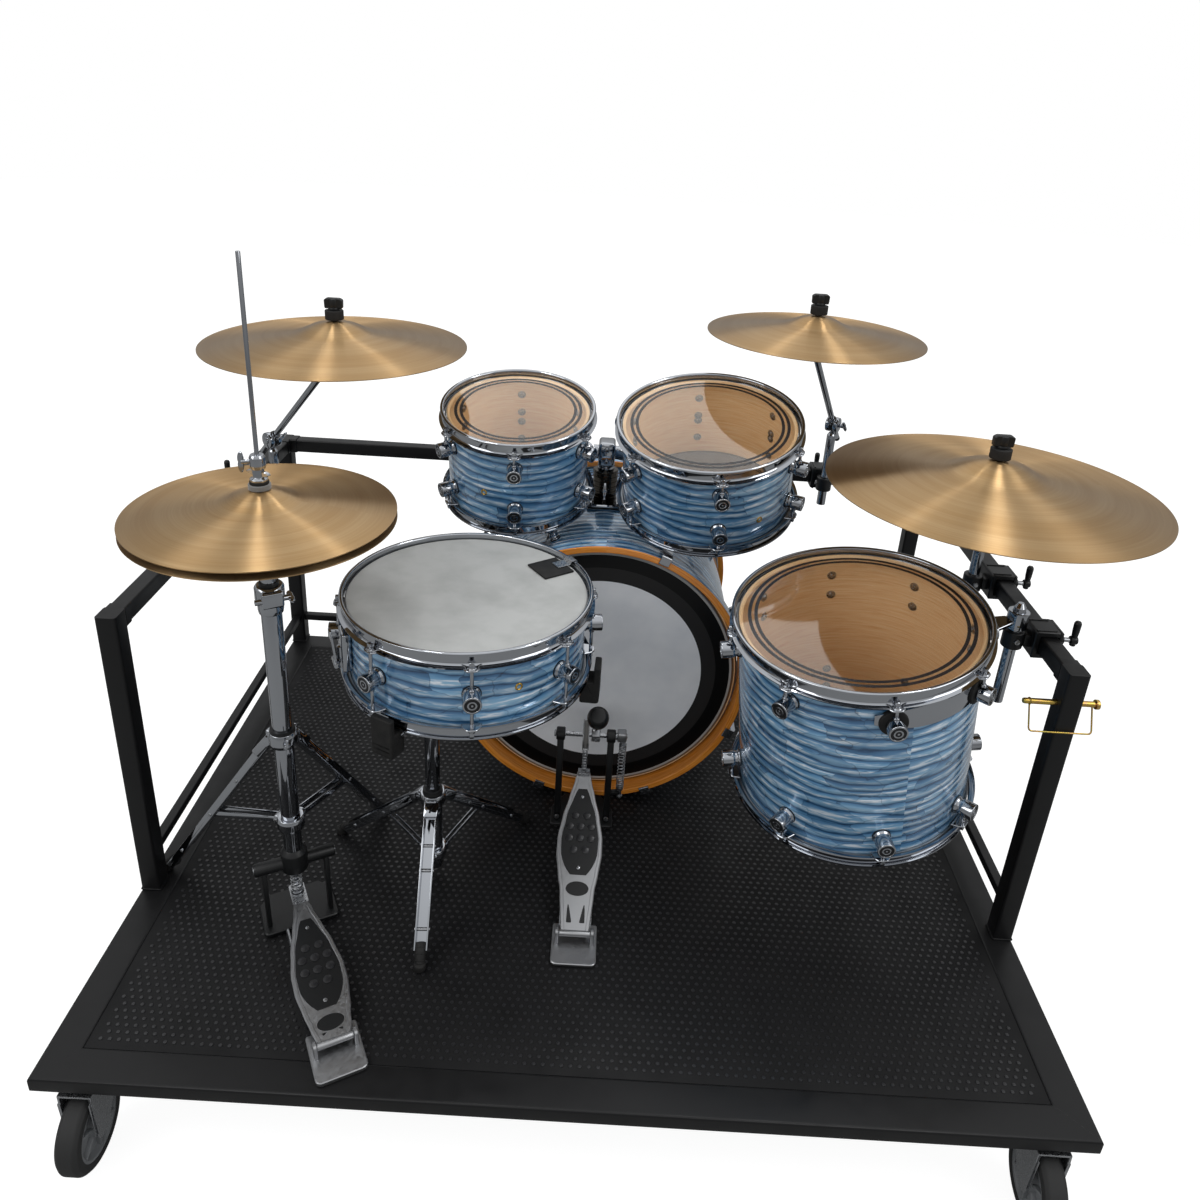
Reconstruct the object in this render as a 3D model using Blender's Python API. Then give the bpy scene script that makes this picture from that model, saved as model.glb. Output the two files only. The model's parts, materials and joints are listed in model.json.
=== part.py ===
"""Drum set cart: a square-tube rack on casters that carries a five-drum set.

Metres, +Z up. The origin is on the floor under the middle of the deck. The drummer sits on
the -Y side and looks along +Y, so +X is at the drummer's right hand. Heights in this file
are above the deck's top face, and every piece is raised onto its casters when it is finished.
"""
import math

import bmesh
import bpy
from mathutils import Matrix, Vector

INCH = 0.0254
GAP = 0.0003                 # left between pieces that touch
BITE = 0.001                 # shapes of one piece run this far into each other

# Cart frame
FRAME_WIDTH = 1.453
DECK_DEPTH = 1.148
RACK_DEPTH = 0.816           # front face of the front posts to the deck's back edge
RACK_HEIGHT = 0.521          # deck top to post top
POST_TUBE = 1.25 * INCH
TUBE_ROUND = 0.0028
STUB_INSET = 0.0002          # stub's faces in from the post's
STUB_LENGTH = 0.013          # a post's corner reaches this far along each rail
TOP_RAIL_TUBE = 0.0286
LOWER_RAIL_TUBE = 0.625 * INCH
LOWER_RAIL_TOP = 0.072
DECK_BORDER = 2.0 * INCH
BORDER_HEIGHT = 1.0 * INCH
PANEL_THICKNESS = 0.5 * INCH
PANEL_CLEARANCE = 0.0008
CROSSMEMBER_COUNT = 3
CROSSMEMBER_WIDTH = 1.0 * INCH
CROSSMEMBER_HEIGHT = 1.5 * INCH

# Casters
CASTER_HEIGHT = 0.155
WHEEL_RADIUS = 0.0625
WHEEL_WIDTH = 0.032
HUB_WIDTH = 0.038
WHEEL_SIDES = 18
AXLE_RADIUS = 0.006
CASTER_PLATE = (0.100, 0.085)
CASTER_PLATE_THICKNESS = 0.004
CASTER_INSET = 0.054         # plate centre in from the deck's edges
CASTER_TRAIL = 0.032
FORK_WALL = 0.004
FORK_LEG = 0.034
SWIVEL_RADIUS = 0.029
SWIVEL_HEIGHT = 0.009
RUNNING_GAP = 0.0005

# Hitch pin through the front right post
PIN_RADIUS = 0.0045
PIN_HOLE_CLEARANCE = 0.0004
PIN_LEFT_REACH = 0.050       # past the post's inner face
PIN_RIGHT_REACH = 0.026
PIN_DROP = 0.058             # below the post's top
PIN_HEAD_RADIUS = 0.0075
PIN_HEAD_LENGTH = 0.006
BAIL_WIRE = 0.0013
BAIL_DROP = 0.040
BAIL_LEAN = 0.0195           # the bail's bar lies on the post's front face

# Drums in general
HOOP_HEIGHT = 0.024
HOOP_WALL = 0.0024
HOOP_CLEAR = 0.0042          # hoop's inside past the shell
HOOP_CURL = 0.0110
HOOP_FLANGE = 0.0145
RIM_RISE = 0.0085            # hoop's top edge above the head
FILM = 0.0006
FLESH_HOOP = 0.0036
FLESH_HOOP_DROP = 0.0095
SHELL_WALL = 0.006
WALL_BITE = 0.004            # fittings run this far into a shell's wall
LUG_RADIUS = 0.011
LUG_SIDES = 6
ROD_SIDES = 5
TUBE_SIDES = 8
SMALL_SIDES = 6
LUG_REACH = 0.0265
LUG_INSET = 0.053            # lug's axis from the hoop's outer edge
ROD_RADIUS = 0.0029
ROD_OUT = 0.0135             # tension rod's axis past the shell
ROD_HEAD_DROP = 0.010
TOM_SIDES = 18
FLOOR_SIDES = 20
BRACKET_DEPTH = 0.020
BRACKET_WIDTH = 0.040
BRACKET_HEIGHT = 0.036

# Bass drum
BASS_X = 0.0144
BASS_SHELL_RADIUS = 10.0 * INCH
BASS_SHELL_LENGTH = 16.0 * INCH
BASS_HOOP_CLEAR = 0.0038     # hoop's inside past the shell
BASS_HOOP_WALL = 0.0122
BASS_HOOP_INNER = BASS_SHELL_RADIUS + BASS_HOOP_CLEAR
BASS_HOOP_RADIUS = BASS_HOOP_INNER + BASS_HOOP_WALL
BASS_FLESH_HOOP = 0.0032
BASS_HOOP_DEPTH = 0.039
BASS_HOOP_PROUD = 0.025      # hoop's face past the head
BASS_FACE_Y = 0.0527
BASS_WALL = 0.007
BASS_LUGS = 8
BASS_LUG_INSET = 0.095
BASS_LUG_REACH = 0.030
CLAW_WIDTH = 0.020
CLAW_WALL = 0.003
CLAW_RISE = 0.012
CLAW_LENGTH = 0.030
SPUR_RADIUS = 0.008
SPUR_SPREAD = 0.120          # foot outside the shell
SPUR_ANGLE = -12.0
SPUR_Y = 0.400
BASS_SIDES = 24

# Toms, floor tom and snare: rim centres, tilts and sizes
BASS_Z = BASS_HOOP_RADIUS + GAP
BASS_TOP = BASS_Z + BASS_SHELL_RADIUS
TOM_LEFT_ABOVE = 0.2217       # rims' heights over the bass drum's top
TOM_RIGHT_ABOVE = 0.2267
TOM_LEFT_RIM = (-0.156, 0.184, BASS_TOP + TOM_LEFT_ABOVE)
TOM_LEFT_TILT = (12.0, 0.0)
TOM_LEFT_RADIUS = 5.0 * INCH
TOM_LEFT_LENGTH = 0.170
TOM_RIGHT_RIM = (0.181, 0.153, BASS_TOP + TOM_RIGHT_ABOVE)
TOM_RIGHT_TILT = (14.0, 4.0)
TOM_RIGHT_RADIUS = 6.0 * INCH
TOM_RIGHT_LENGTH = 0.160
FLOOR_TOM_FROM_RAIL = 0.318625   # its centre from the right rail's axis
FLOOR_TOM_TILT = (5.0, 7.0)
FLOOR_TOM_RADIUS = 7.0 * INCH
FLOOR_TOM_LENGTH = 12.0 * INCH
SNARE_RIM = (-0.1915, -0.171, 0.571)
SNARE_RADIUS = 7.0 * INCH
SNARE_LENGTH = 0.122
TOM_LUGS = 6
SNARE_THROW_AZIMUTH = 205.0
WIRE_COUNT = 8
WIRE_PITCH = 0.0052
WIRE_HALF = 0.146
WIRE_PLATE = (0.012, 0.044)  # the plates that gather the wires
FLOOR_TOM_LUGS = 8
SNARE_LUGS = 8
TOM_LUG_AZIMUTH = -87.0
FLOOR_TOM_LUG_AZIMUTH = -88.0
SNARE_LUG_AZIMUTH = -80.0

# Double tom mount on the bass drum
MOUNT_Y = 0.300
MOUNT_X = 0.006
MOUNT_POST_RADIUS = 0.016
MOUNT_BASE = (0.070, 0.100, 0.008)
MOUNT_BLOCK = (0.032, 0.044, 0.048)
MOUNT_ABOVE = 0.1237
MOUNT_BLOCK_TOP = BASS_TOP + MOUNT_ABOVE
TOM_ARM_RADIUS = 0.0095
TOM_LEFT_BRACKET_AZIMUTH = 63.0
TOM_LEFT_BRACKET_Z = -0.141
TOM_RIGHT_BRACKET_AZIMUTH = 123.0
TOM_RIGHT_BRACKET_Z = -0.133

# Rail clamps, their posts, booms and cymbals
CLAMP_WIDTH = 0.046
CLAMP_WALL = 0.009
CLAMP_BOLT_RADIUS = 0.004
CLAMP_BOLT_LENGTH = 0.030
T_HANDLE_RADIUS = 0.0055
T_HANDLE_LENGTH = 0.044
CLAMP_POST_RADIUS = 0.0095
BOOM_POST_BOTTOM = 0.455
CLAMP_EYE_WALL = 0.007
EYE_SIDES = 12
CLAMP_POST_OFFSET = 0.047    # post's axis from the rail's axis
FLOOR_CLAMP_SETBACK = 0.114125    # behind the front post's axis
FLOOR_POST_BOTTOM = 0.385
FLOOR_POST_TOP = 0.566
FLOOR_EYE_BOTTOM = 0.524
FLOOR_EYE_TOP = 0.552
RIDE_CLAMP_Y = 0.078
CRASH_RIGHT_CLAMP_X = 0.485
CRASH_LEFT_CLAMP_Y = 0.352
BOOM_RADIUS = 0.0064
BOOM_TAIL = 0.045            # boom's length behind its joint
JOINT_RADIUS = 0.0165
POST_NECK = (0.0045, 0.007)    # a boom post's top: its radius and height
JOINT_WIDTH = 0.026
TILTER_RADIUS = 0.0095
TILTER_DROP = 0.059
CYMBAL_ROCK = 8.0            # degrees each way
STEM_RADIUS = 0.004
SLEEVE_RADIUS = 0.0058
CYMBAL_THICKNESS = 0.0014
CYMBAL_HOLE = 0.0066
CYMBAL_SIDES = 20
FELT_RADIUS = 0.015
FELT_HEIGHT = 0.007
TOP_FELT_HEIGHT = 0.0185
WING_NUT = (0.032, 0.013, 0.0215)    # its span, thickness and height on the top felt
CRASH_LEFT_ABOVE = 0.083     # crashes' rims over the rim of the tom next to each
CRASH_RIGHT_ABOVE = 0.113
CRASH_LEFT = {"rim": (-0.482, 0.207, TOM_LEFT_RIM[2] + CRASH_LEFT_ABOVE), "radius": 9 * INCH,
              "joint_z": 0.590}
CRASH_RIGHT = {"rim": (0.385, 0.349, TOM_RIGHT_RIM[2] + CRASH_RIGHT_ABOVE), "radius": 8 * INCH,
               "joint_z": 0.640}
RIDE = {"rim": (0.603, -0.054, 0.732), "radius": 10 * INCH, "joint_z": 0.610}
HIHAT_RADIUS = 7 * INCH

# Hi-hat
HIHAT_AT = (-0.454, -0.270)
HIHAT_RIM_Z = 0.720          # upper cymbal's rim
HIHAT_OPENING = 0.012        # between the two rims
HIHAT_ROD_RADIUS = 0.003
HIHAT_ROD_TOP = 1.062
HIHAT_TUBE_RADIUS = 0.0145
HIHAT_TUBE_WALL = 0.002
HIHAT_TUBE_BOTTOM = 0.115
HIHAT_COLLAR_Z = 0.352
HIHAT_UPPER_RADIUS = 0.0110
HIHAT_UPPER_TOP = 0.655
HIHAT_CLAMP_Z = 0.596
HIHAT_BRACE_Z = 0.192
HIHAT_LEG_AZIMUTHS = (163.0, 72.0)
HIHAT_LEG_REACH = 0.262
HIHAT_LEG_WIDTH = 0.020
HIHAT_LEG_THICKNESS = 0.006
HIHAT_PEDAL_AZIMUTH = -62.0
HIHAT_PEDAL_LENGTH = 0.270
HIHAT_TOE_Z = 0.049
HIHAT_BRACE_SHARE = 0.56
STRAP_Z = 0.0495
ROD_CLEARANCE = 0.002
HEEL_PIN_Z = 0.022
HEEL_PIN_HALF = 0.0255
COIL_POINTS = 8
HIHAT_YOKE_SPREAD = 0.048
HIHAT_YOKE_TOP = 0.112
HIHAT_SPRING_RADIUS = 0.0085
HIHAT_SPRING_WIRE = 0.0011
HIHAT_SPRING_TURNS = 7
HIHAT_SPRING_BOTTOM = 0.056
HIHAT_SPRING_TOP = 0.107

# Footboards of both pedals: distance from the toe and width there
FOOTBOARD_TOE = (0.0, 0.026)
FOOTBOARD_NECK = (0.05, 0.046)
FOOTBOARD_BALL = (0.11, 0.074)
FOOTBOARD_WIDEST = (0.16, 0.078)
FOOTBOARD_WAIST = (0.21, 0.062)
FOOTBOARD_HEEL_WIDTH = 0.046
FOOTBOARD_THICKNESS = 0.006
CHAIN_THICKNESS = 0.006
CHAIN_LINK_WIDTHS = (0.0076, 0.011)

# Snare stand
SNARE_STAND_AT = (-0.252, -0.165)
SNARE_STAND_COLLAR_Z = 0.165
SNARE_STAND_BRACE_Z = 0.050
SNARE_STAND_UPPER_RADIUS = 0.0125
SNARE_STAND_LOWER_RADIUS = 0.0155
SNARE_STAND_LEGS = (44.0, 156.0, -86.0)
SNARE_STAND_REACH = 0.200
SNARE_STAND_TOP = 0.392
SNARE_ARM_AZIMUTHS = (-117.0, -3.0, 122.0)
SNARE_ARM_RADIUS = 0.005
SNARE_LEG_WIDTH = 0.018
SNARE_LEG_THICKNESS = 0.010
SNARE_GRIP_WIDTH = 0.036

# Bass drum pedal
PEDAL_X = -0.002
PEDAL_SHAFT_Y = 0.000
PEDAL_SHAFT_Z = 0.184
PEDAL_SHAFT_RADIUS = 0.0048
PEDAL_POST_SPREAD = 0.046
PEDAL_POST_WIDTH = 0.016
PEDAL_POST_FOOT_Y = -0.014
PEDAL_BASE_THICKNESS = 0.006
PEDAL_HEEL_Y = -0.300
CHAIN_LINKS = 5
PEDAL_SPRING_Y = -0.006
PEDAL_SPRING_BOTTOM = 0.078
PEDAL_TOE_Y = -0.036
PEDAL_TOE_Z = 0.128
BEATER_LENGTH = 0.195
BEATER_LEAN = 45.0           # degrees back from upright at rest
BEATER_RADIUS = 0.019
BEATER_HEIGHT = 0.046
CAM_RADIUS = 0.028
CHAIN_OUT = 0.036
PEDAL_SPRING_RADIUS = 0.0062
PEDAL_SPRING_WIRE = 0.0010
PEDAL_SPRING_TURNS = 8
PEDAL_SPRING_OUT = 0.022     # spring's axis past the right post's centre

# Colours: base colour, roughness, metallic
BLACK_COAT = ("black_powder_coat", (0.015, 0.015, 0.016), 0.55, 0.0)
DECK_BLACK = ("deck_black", (0.02, 0.02, 0.021), 0.7, 0.0)
CHROME = ("chrome", (0.78, 0.79, 0.81), 0.12, 1.0)
ZINC_YELLOW = ("yellow_zinc", (0.72, 0.62, 0.22), 0.3, 1.0)
BRONZE = ("cymbal_bronze", (0.72, 0.52, 0.27), 0.28, 1.0)
BLUE_PEARL = ("blue_pearl_wrap", (0.22, 0.38, 0.50), 0.2, 0.0)
AMBER_WOOD = ("amber_wood", (0.62, 0.27, 0.05), 0.3, 0.0)
FROSTED_FILM = ("frosted_film", (0.72, 0.72, 0.73), 0.5, 0.0)
COATED_FILM = ("coated_film", (0.78, 0.77, 0.74), 0.6, 0.0)
CLEAR_FILM = ("clear_film", (0.70, 0.52, 0.36), 0.1, 0.0)
BLACK_PLASTIC = ("black_plastic", (0.02, 0.02, 0.02), 0.4, 0.0)
STEEL = ("steel", (0.55, 0.55, 0.56), 0.3, 1.0)
TYRE = ("tyre_rubber", (0.03, 0.03, 0.03), 0.8, 0.0)

# Places worked out from the sizes above
HALF_WIDTH = FRAME_WIDTH / 2
HALF_DEPTH = DECK_DEPTH / 2
POST_FRONT_Y = HALF_DEPTH - RACK_DEPTH
POST_INSET = POST_TUBE / 2
RAIL_Z = RACK_HEIGHT - POST_TUBE / 2
RAIL_X = HALF_WIDTH - POST_INSET
BACK_RAIL_Y = HALF_DEPTH - POST_INSET
FRONT_POST_Y = POST_FRONT_Y + POST_INSET
FLOOR_CLAMP_Y = FRONT_POST_Y + FLOOR_CLAMP_SETBACK
FLOOR_TOM_RIM = (RAIL_X - FLOOR_TOM_FROM_RAIL, -0.190, 0.577)
PLATE_TOP_Z = -BORDER_HEIGHT - GAP
GROUND_Z = PLATE_TOP_Z - CASTER_HEIGHT
ON_CASTERS = Matrix.Translation((0, 0, -GROUND_Z))
WHEEL_Z = GROUND_Z + WHEEL_RADIUS
PLATE_BOTTOM_Z = PLATE_TOP_Z - CASTER_PLATE_THICKNESS
CASTER_X = HALF_WIDTH - CASTER_INSET
CASTER_Y = HALF_DEPTH - CASTER_INSET
PEDAL_SPRING_TOP = PEDAL_SHAFT_Z - 0.016
CLAMPS = (
    # name, rail point, inward direction, along the rail, post bottom, post top
    ("floor_tom_clamp", (RAIL_X, FLOOR_CLAMP_Y, RAIL_Z), (-1, 0, 0), (0, 1, 0),
     FLOOR_POST_BOTTOM, FLOOR_POST_TOP),
    ("ride_clamp", (RAIL_X, RIDE_CLAMP_Y, RAIL_Z), (-1, 0, 0), (0, 1, 0),
     BOOM_POST_BOTTOM, RIDE["joint_z"] - JOINT_RADIUS - GAP),
    ("crash_right_clamp", (CRASH_RIGHT_CLAMP_X, BACK_RAIL_Y, RAIL_Z), (0, -1, 0), (1, 0, 0),
     BOOM_POST_BOTTOM, CRASH_RIGHT["joint_z"] - JOINT_RADIUS - GAP),
    ("crash_left_clamp", (-RAIL_X, CRASH_LEFT_CLAMP_Y, RAIL_Z), (1, 0, 0), (0, 1, 0),
     BOOM_POST_BOTTOM, CRASH_LEFT["joint_z"] - JOINT_RADIUS - GAP),
)


def material(finish):
    """The Blender material of one finish, made once."""
    name, colour, roughness, metallic = finish
    made = bpy.data.materials.get(name)
    if made is None:
        made = bpy.data.materials.new(name)
        made.use_nodes = True
        shader = made.node_tree.nodes["Principled BSDF"]
        shader.inputs["Base Color"].default_value = (*colour, 1.0)
        shader.inputs["Roughness"].default_value = roughness
        shader.inputs["Metallic"].default_value = metallic
        made.diffuse_color = (*colour, 1.0)
    return made


def join(target, piece, frame):
    """Add one finished shape to a piece's list of shapes, placed by a matrix."""
    piece.transform(frame)
    bmesh.ops.recalc_face_normals(piece, faces=piece.faces)
    target.append(piece)


def add_box(target, low, high, frame=Matrix(), bevel=0.0, along=None):
    """A box between two corners, its edges rounded all over or only along one axis."""
    piece = bmesh.new()
    size = Vector(high) - Vector(low)
    centre = (Vector(high) + Vector(low)) / 2
    bmesh.ops.create_cube(piece, size=1.0)
    piece.transform(Matrix.Translation(centre) @ Matrix.Diagonal((*size, 1.0)))
    if bevel:
        edges = list(piece.edges)
        if along is not None:
            edges = [e for e in edges if abs((e.verts[0].co - e.verts[1].co)[along]) > 1e-7]
        bmesh.ops.bevel(piece, geom=edges, offset=bevel, segments=1, affect="EDGES")
    join(target, piece, frame)


def add_turned(target, outline, sides, frame=Matrix(), start=0.0):
    """Spin a (radius, height) outline about Z: a ring, or closed where it meets the axis."""
    piece = bmesh.new()
    rings = []
    for radius, height in outline:
        if radius < 1e-7:
            rings.append([piece.verts.new((0, 0, height))])
            continue
        angles = [start + 2 * math.pi * i / sides for i in range(sides)]
        rings.append([piece.verts.new((radius * math.cos(a), radius * math.sin(a), height))
                      for a in angles])
    pairs = list(zip(rings, rings[1:]))
    if outline[0][0] > 1e-7:
        pairs.append((rings[-1], rings[0]))
    for lower, upper in pairs:
        for i in range(sides):
            j = (i + 1) % sides
            corners = [lower[i % len(lower)], lower[j % len(lower)],
                       upper[j % len(upper)], upper[i % len(upper)]]
            piece.faces.new(list(dict.fromkeys(corners)))
    join(target, piece, frame)


def add_prism(target, outline, low, high, frame=Matrix()):
    """A flat outline in XY, extruded along Z."""
    piece = bmesh.new()
    face = piece.faces.new([piece.verts.new((x, y, low)) for x, y in outline])
    made = bmesh.ops.extrude_face_region(piece, geom=[face])
    lifted = [v for v in made["geom"] if isinstance(v, bmesh.types.BMVert)]
    bmesh.ops.translate(piece, verts=lifted, vec=(0, 0, high - low))
    join(target, piece, frame)


def aimed(origin, direction, roll_towards=(0, 0, 1)):
    """A frame at origin whose Z points along direction, with its X towards roll_towards."""
    z = Vector(direction).normalized()
    x = Vector(roll_towards) - z * Vector(roll_towards).dot(z)
    if x.length < 1e-6:
        x = z.orthogonal()
    x.normalize()
    y = z.cross(x)
    return Matrix.Translation(origin) @ Matrix((x, y, z)).transposed().to_4x4()


def add_rod(target, start, end, radius, sides=8, end_radius=None, frame=Matrix()):
    """A round bar between two points."""
    start, end = Vector(start), Vector(end)
    piece = bmesh.new()
    length = (end - start).length
    bmesh.ops.create_cone(piece, cap_ends=True, segments=sides, radius1=radius,
                          radius2=radius if end_radius is None else end_radius, depth=length)
    join(target, piece, frame @ aimed(start, end - start) @ Matrix.Translation((0, 0, length / 2)))


def add_sleeve(target, start, end, inner, outer, sides=10, frame=Matrix()):
    """A round tube with an open bore between two points."""
    start, end = Vector(start), Vector(end)
    length = (end - start).length
    outline = [(inner, 0), (outer, 0), (outer, length), (inner, length)]
    add_turned(target, outline, sides, frame @ aimed(start, end - start))


def add_bar(target, start, end, width, thickness, side=(0, 0, 1), frame=Matrix()):
    """A flat bar between two points; its thickness lies towards side."""
    start, end = Vector(start), Vector(end)
    length = (end - start).length
    low = (-thickness / 2, -width / 2, 0)
    high = (thickness / 2, width / 2, length)
    add_box(target, low, high, frame @ aimed(start, end - start, side))


def add_wire(target, points, radius, frame=Matrix()):
    """A bent round wire: a curve with a bevel and filled caps, taken as a mesh."""
    curve = bpy.data.curves.new("wire", "CURVE")
    curve.dimensions = "3D"
    curve.bevel_depth = radius
    curve.bevel_resolution = 1
    curve.use_fill_caps = True
    spline = curve.splines.new("POLY")
    spline.points.add(len(points) - 1)
    for point, place in zip(spline.points, points):
        point.co = (*place, 1.0)
    holder = bpy.data.objects.new("wire", curve)
    bpy.context.scene.collection.objects.link(holder)
    evaluated = holder.evaluated_get(bpy.context.evaluated_depsgraph_get())
    mesh = bpy.data.meshes.new_from_object(evaluated)
    bpy.data.objects.remove(holder)
    piece = bmesh.new()
    piece.from_mesh(mesh)
    bpy.data.meshes.remove(mesh)
    bmesh.ops.remove_doubles(piece, verts=piece.verts, dist=1e-6)
    join(target, piece, frame)


def object_of(shape, name):
    """A new object that holds one shape."""
    mesh = bpy.data.meshes.new(name)
    shape.to_mesh(mesh)
    shape.free()
    return bpy.data.objects.new(name, mesh)


def combined(made, operation, shapes):
    """Unite an object with shapes that run into it, or cut them out of it, as one mesh."""
    group = bpy.data.collections.new("shapes")
    bpy.context.scene.collection.children.link(group)
    for shape in shapes:
        group.objects.link(object_of(shape, "shape"))
    boolean = made.modifiers.new("join", "BOOLEAN")
    boolean.operation = operation
    boolean.solver = "EXACT"
    boolean.operand_type = "COLLECTION"
    boolean.collection = group
    depsgraph = bpy.context.evaluated_depsgraph_get()
    mesh = bpy.data.meshes.new_from_object(made.evaluated_get(depsgraph))
    made.modifiers.clear()
    made.data = mesh
    for item in list(group.objects):
        bpy.data.objects.remove(item)
    bpy.data.collections.remove(group)


def finish(shapes, name, finish_values, frame=Matrix(), pivot=None, cutters=()):
    """Make the named object from shapes given in frame; its origin is pivot or the frame's own."""
    pivot = frame.translation if pivot is None else Vector(pivot)
    placed = Matrix.Translation(pivot) @ frame.to_3x3().to_4x4()
    for shape in (*shapes, *cutters):
        shape.transform(placed.inverted() @ frame)
    made = object_of(shapes[0], name)
    bpy.context.scene.collection.objects.link(made)
    if len(shapes) > 1:
        combined(made, "UNION", shapes[1:])
    if cutters:
        combined(made, "DIFFERENCE", cutters)
    made.data.name = name
    made.data.shade_smooth()
    made.data.set_sharp_from_angle(angle=math.radians(35))
    made.data.materials.clear()
    made.data.materials.append(material(finish_values))
    made.matrix_world = ON_CASTERS @ placed
    return made


def around(count, start_deg):
    """Azimuths of count copies, in degrees."""
    return [start_deg + 360.0 * i / count for i in range(count)]


def turned_to(azimuth_deg):
    """A frame turned about Z, so its X points along the azimuth."""
    return Matrix.Rotation(math.radians(azimuth_deg), 4, "Z")


def polar(radius, azimuth_deg, z=0.0):
    angle = math.radians(azimuth_deg)
    return Vector((radius * math.cos(angle), radius * math.sin(angle), z))


# The cart's frame and deck

def build_deck_frame():
    """Welded border and crossmembers, with the swivelling casters' plates and races."""
    shapes = []
    outer = [(-HALF_WIDTH, -HALF_DEPTH), (HALF_WIDTH, -HALF_DEPTH),
             (HALF_WIDTH, HALF_DEPTH), (-HALF_WIDTH, HALF_DEPTH)]
    inner = [(math.copysign(abs(x) - DECK_BORDER, x), math.copysign(abs(y) - DECK_BORDER, y))
             for x, y in outer]
    ring = bmesh.new()
    low_out, low_in, top_out, top_in = (
        [ring.verts.new((x, y, z)) for x, y in loop]
        for z in (-BORDER_HEIGHT, 0.0) for loop in (outer, inner))
    for i in range(4):
        j = (i + 1) % 4
        ring.faces.new((low_out[i], low_out[j], low_in[j], low_in[i]))
        ring.faces.new((top_out[i], top_out[j], top_in[j], top_in[i]))
        ring.faces.new((low_out[i], low_out[j], top_out[j], top_out[i]))
        ring.faces.new((low_in[i], low_in[j], top_in[j], top_in[i]))
    join(shapes, ring, Matrix())
    reach = HALF_DEPTH - DECK_BORDER + BITE
    top = -PANEL_THICKNESS - GAP
    pitch = (FRAME_WIDTH - 2 * DECK_BORDER) / (CROSSMEMBER_COUNT + 1)
    for i in range(CROSSMEMBER_COUNT):
        x = (i - (CROSSMEMBER_COUNT - 1) / 2) * pitch
        add_box(shapes, (x - CROSSMEMBER_WIDTH / 2, -reach, top - CROSSMEMBER_HEIGHT),
                (x + CROSSMEMBER_WIDTH / 2, reach, top), bevel=TUBE_ROUND, along=1)
    for x in (-CASTER_X, CASTER_X):
        add_caster_plate(shapes, x, -CASTER_Y, -BORDER_HEIGHT + BITE)
        add_rod(shapes, (x, -CASTER_Y, PLATE_BOTTOM_Z - SWIVEL_HEIGHT),
                (x, -CASTER_Y, PLATE_BOTTOM_Z + BITE), SWIVEL_RADIUS, 16)
    finish(shapes, "deck_frame", BLACK_COAT)


def add_caster_plate(shapes, x, y, top):
    half_x, half_y = CASTER_PLATE[0] / 2, CASTER_PLATE[1] / 2
    add_box(shapes, (x - half_x, y - half_y, PLATE_BOTTOM_Z), (x + half_x, y + half_y, top),
            bevel=0.006, along=2)


def build_deck_panel():
    shapes = []
    half_x = HALF_WIDTH - DECK_BORDER - PANEL_CLEARANCE
    half_y = HALF_DEPTH - DECK_BORDER - PANEL_CLEARANCE
    add_box(shapes, (-half_x, -half_y, -PANEL_THICKNESS), (half_x, half_y, 0.0))
    finish(shapes, "deck_panel", DECK_BLACK)


def build_rack_frame():
    """Four posts with short elbow stubs at their tops, and the three lower rails welded to them."""
    shapes = []
    half = POST_TUBE / 2
    stub = half - STUB_INSET
    reach = half + STUB_LENGTH
    for x, y, stubs in (
            (-RAIL_X, FRONT_POST_Y, ((0, 1),)),
            (RAIL_X, FRONT_POST_Y, ((0, 1),)),
            (-RAIL_X, BACK_RAIL_Y, ((0, -1), (1, 0))),
            (RAIL_X, BACK_RAIL_Y, ((0, -1), (-1, 0)))):
        add_box(shapes, (x - half, y - half, GAP), (x + half, y + half, RACK_HEIGHT),
                bevel=TUBE_ROUND, along=2)
        for way_x, way_y in stubs:
            near, far = half - BITE, reach
            xs = sorted((near * way_x, far * way_x)) if way_x else (-stub, stub)
            ys = sorted((near * way_y, far * way_y)) if way_y else (-stub, stub)
            add_box(shapes, (x + xs[0], y + ys[0], RAIL_Z - stub), (x + xs[1], y + ys[1], RAIL_Z + stub),
                    bevel=TUBE_ROUND, along=0 if way_x else 1)
    half = LOWER_RAIL_TUBE / 2
    low_z = LOWER_RAIL_TOP - LOWER_RAIL_TUBE
    y_low = POST_FRONT_Y + POST_TUBE - BITE
    y_high = HALF_DEPTH - POST_TUBE + BITE
    for x in (-RAIL_X, RAIL_X):
        add_box(shapes, (x - half, y_low, low_z), (x + half, y_high, LOWER_RAIL_TOP),
                bevel=TUBE_ROUND / 2, along=1)
    x_reach = HALF_WIDTH - POST_TUBE + BITE
    add_box(shapes, (-x_reach, BACK_RAIL_Y - half, low_z), (x_reach, BACK_RAIL_Y + half, LOWER_RAIL_TOP),
            bevel=TUBE_ROUND / 2, along=0)
    drill = []
    axis = pin_axis()
    across = Vector((POST_TUBE, 0, 0))
    add_rod(drill, axis - across, axis + across, PIN_RADIUS + PIN_HOLE_CLEARANCE, 12)
    finish(shapes, "rack_frame", BLACK_COAT, cutters=drill)


def pin_axis():
    return Vector((RAIL_X, FRONT_POST_Y, RACK_HEIGHT - PIN_DROP))


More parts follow.
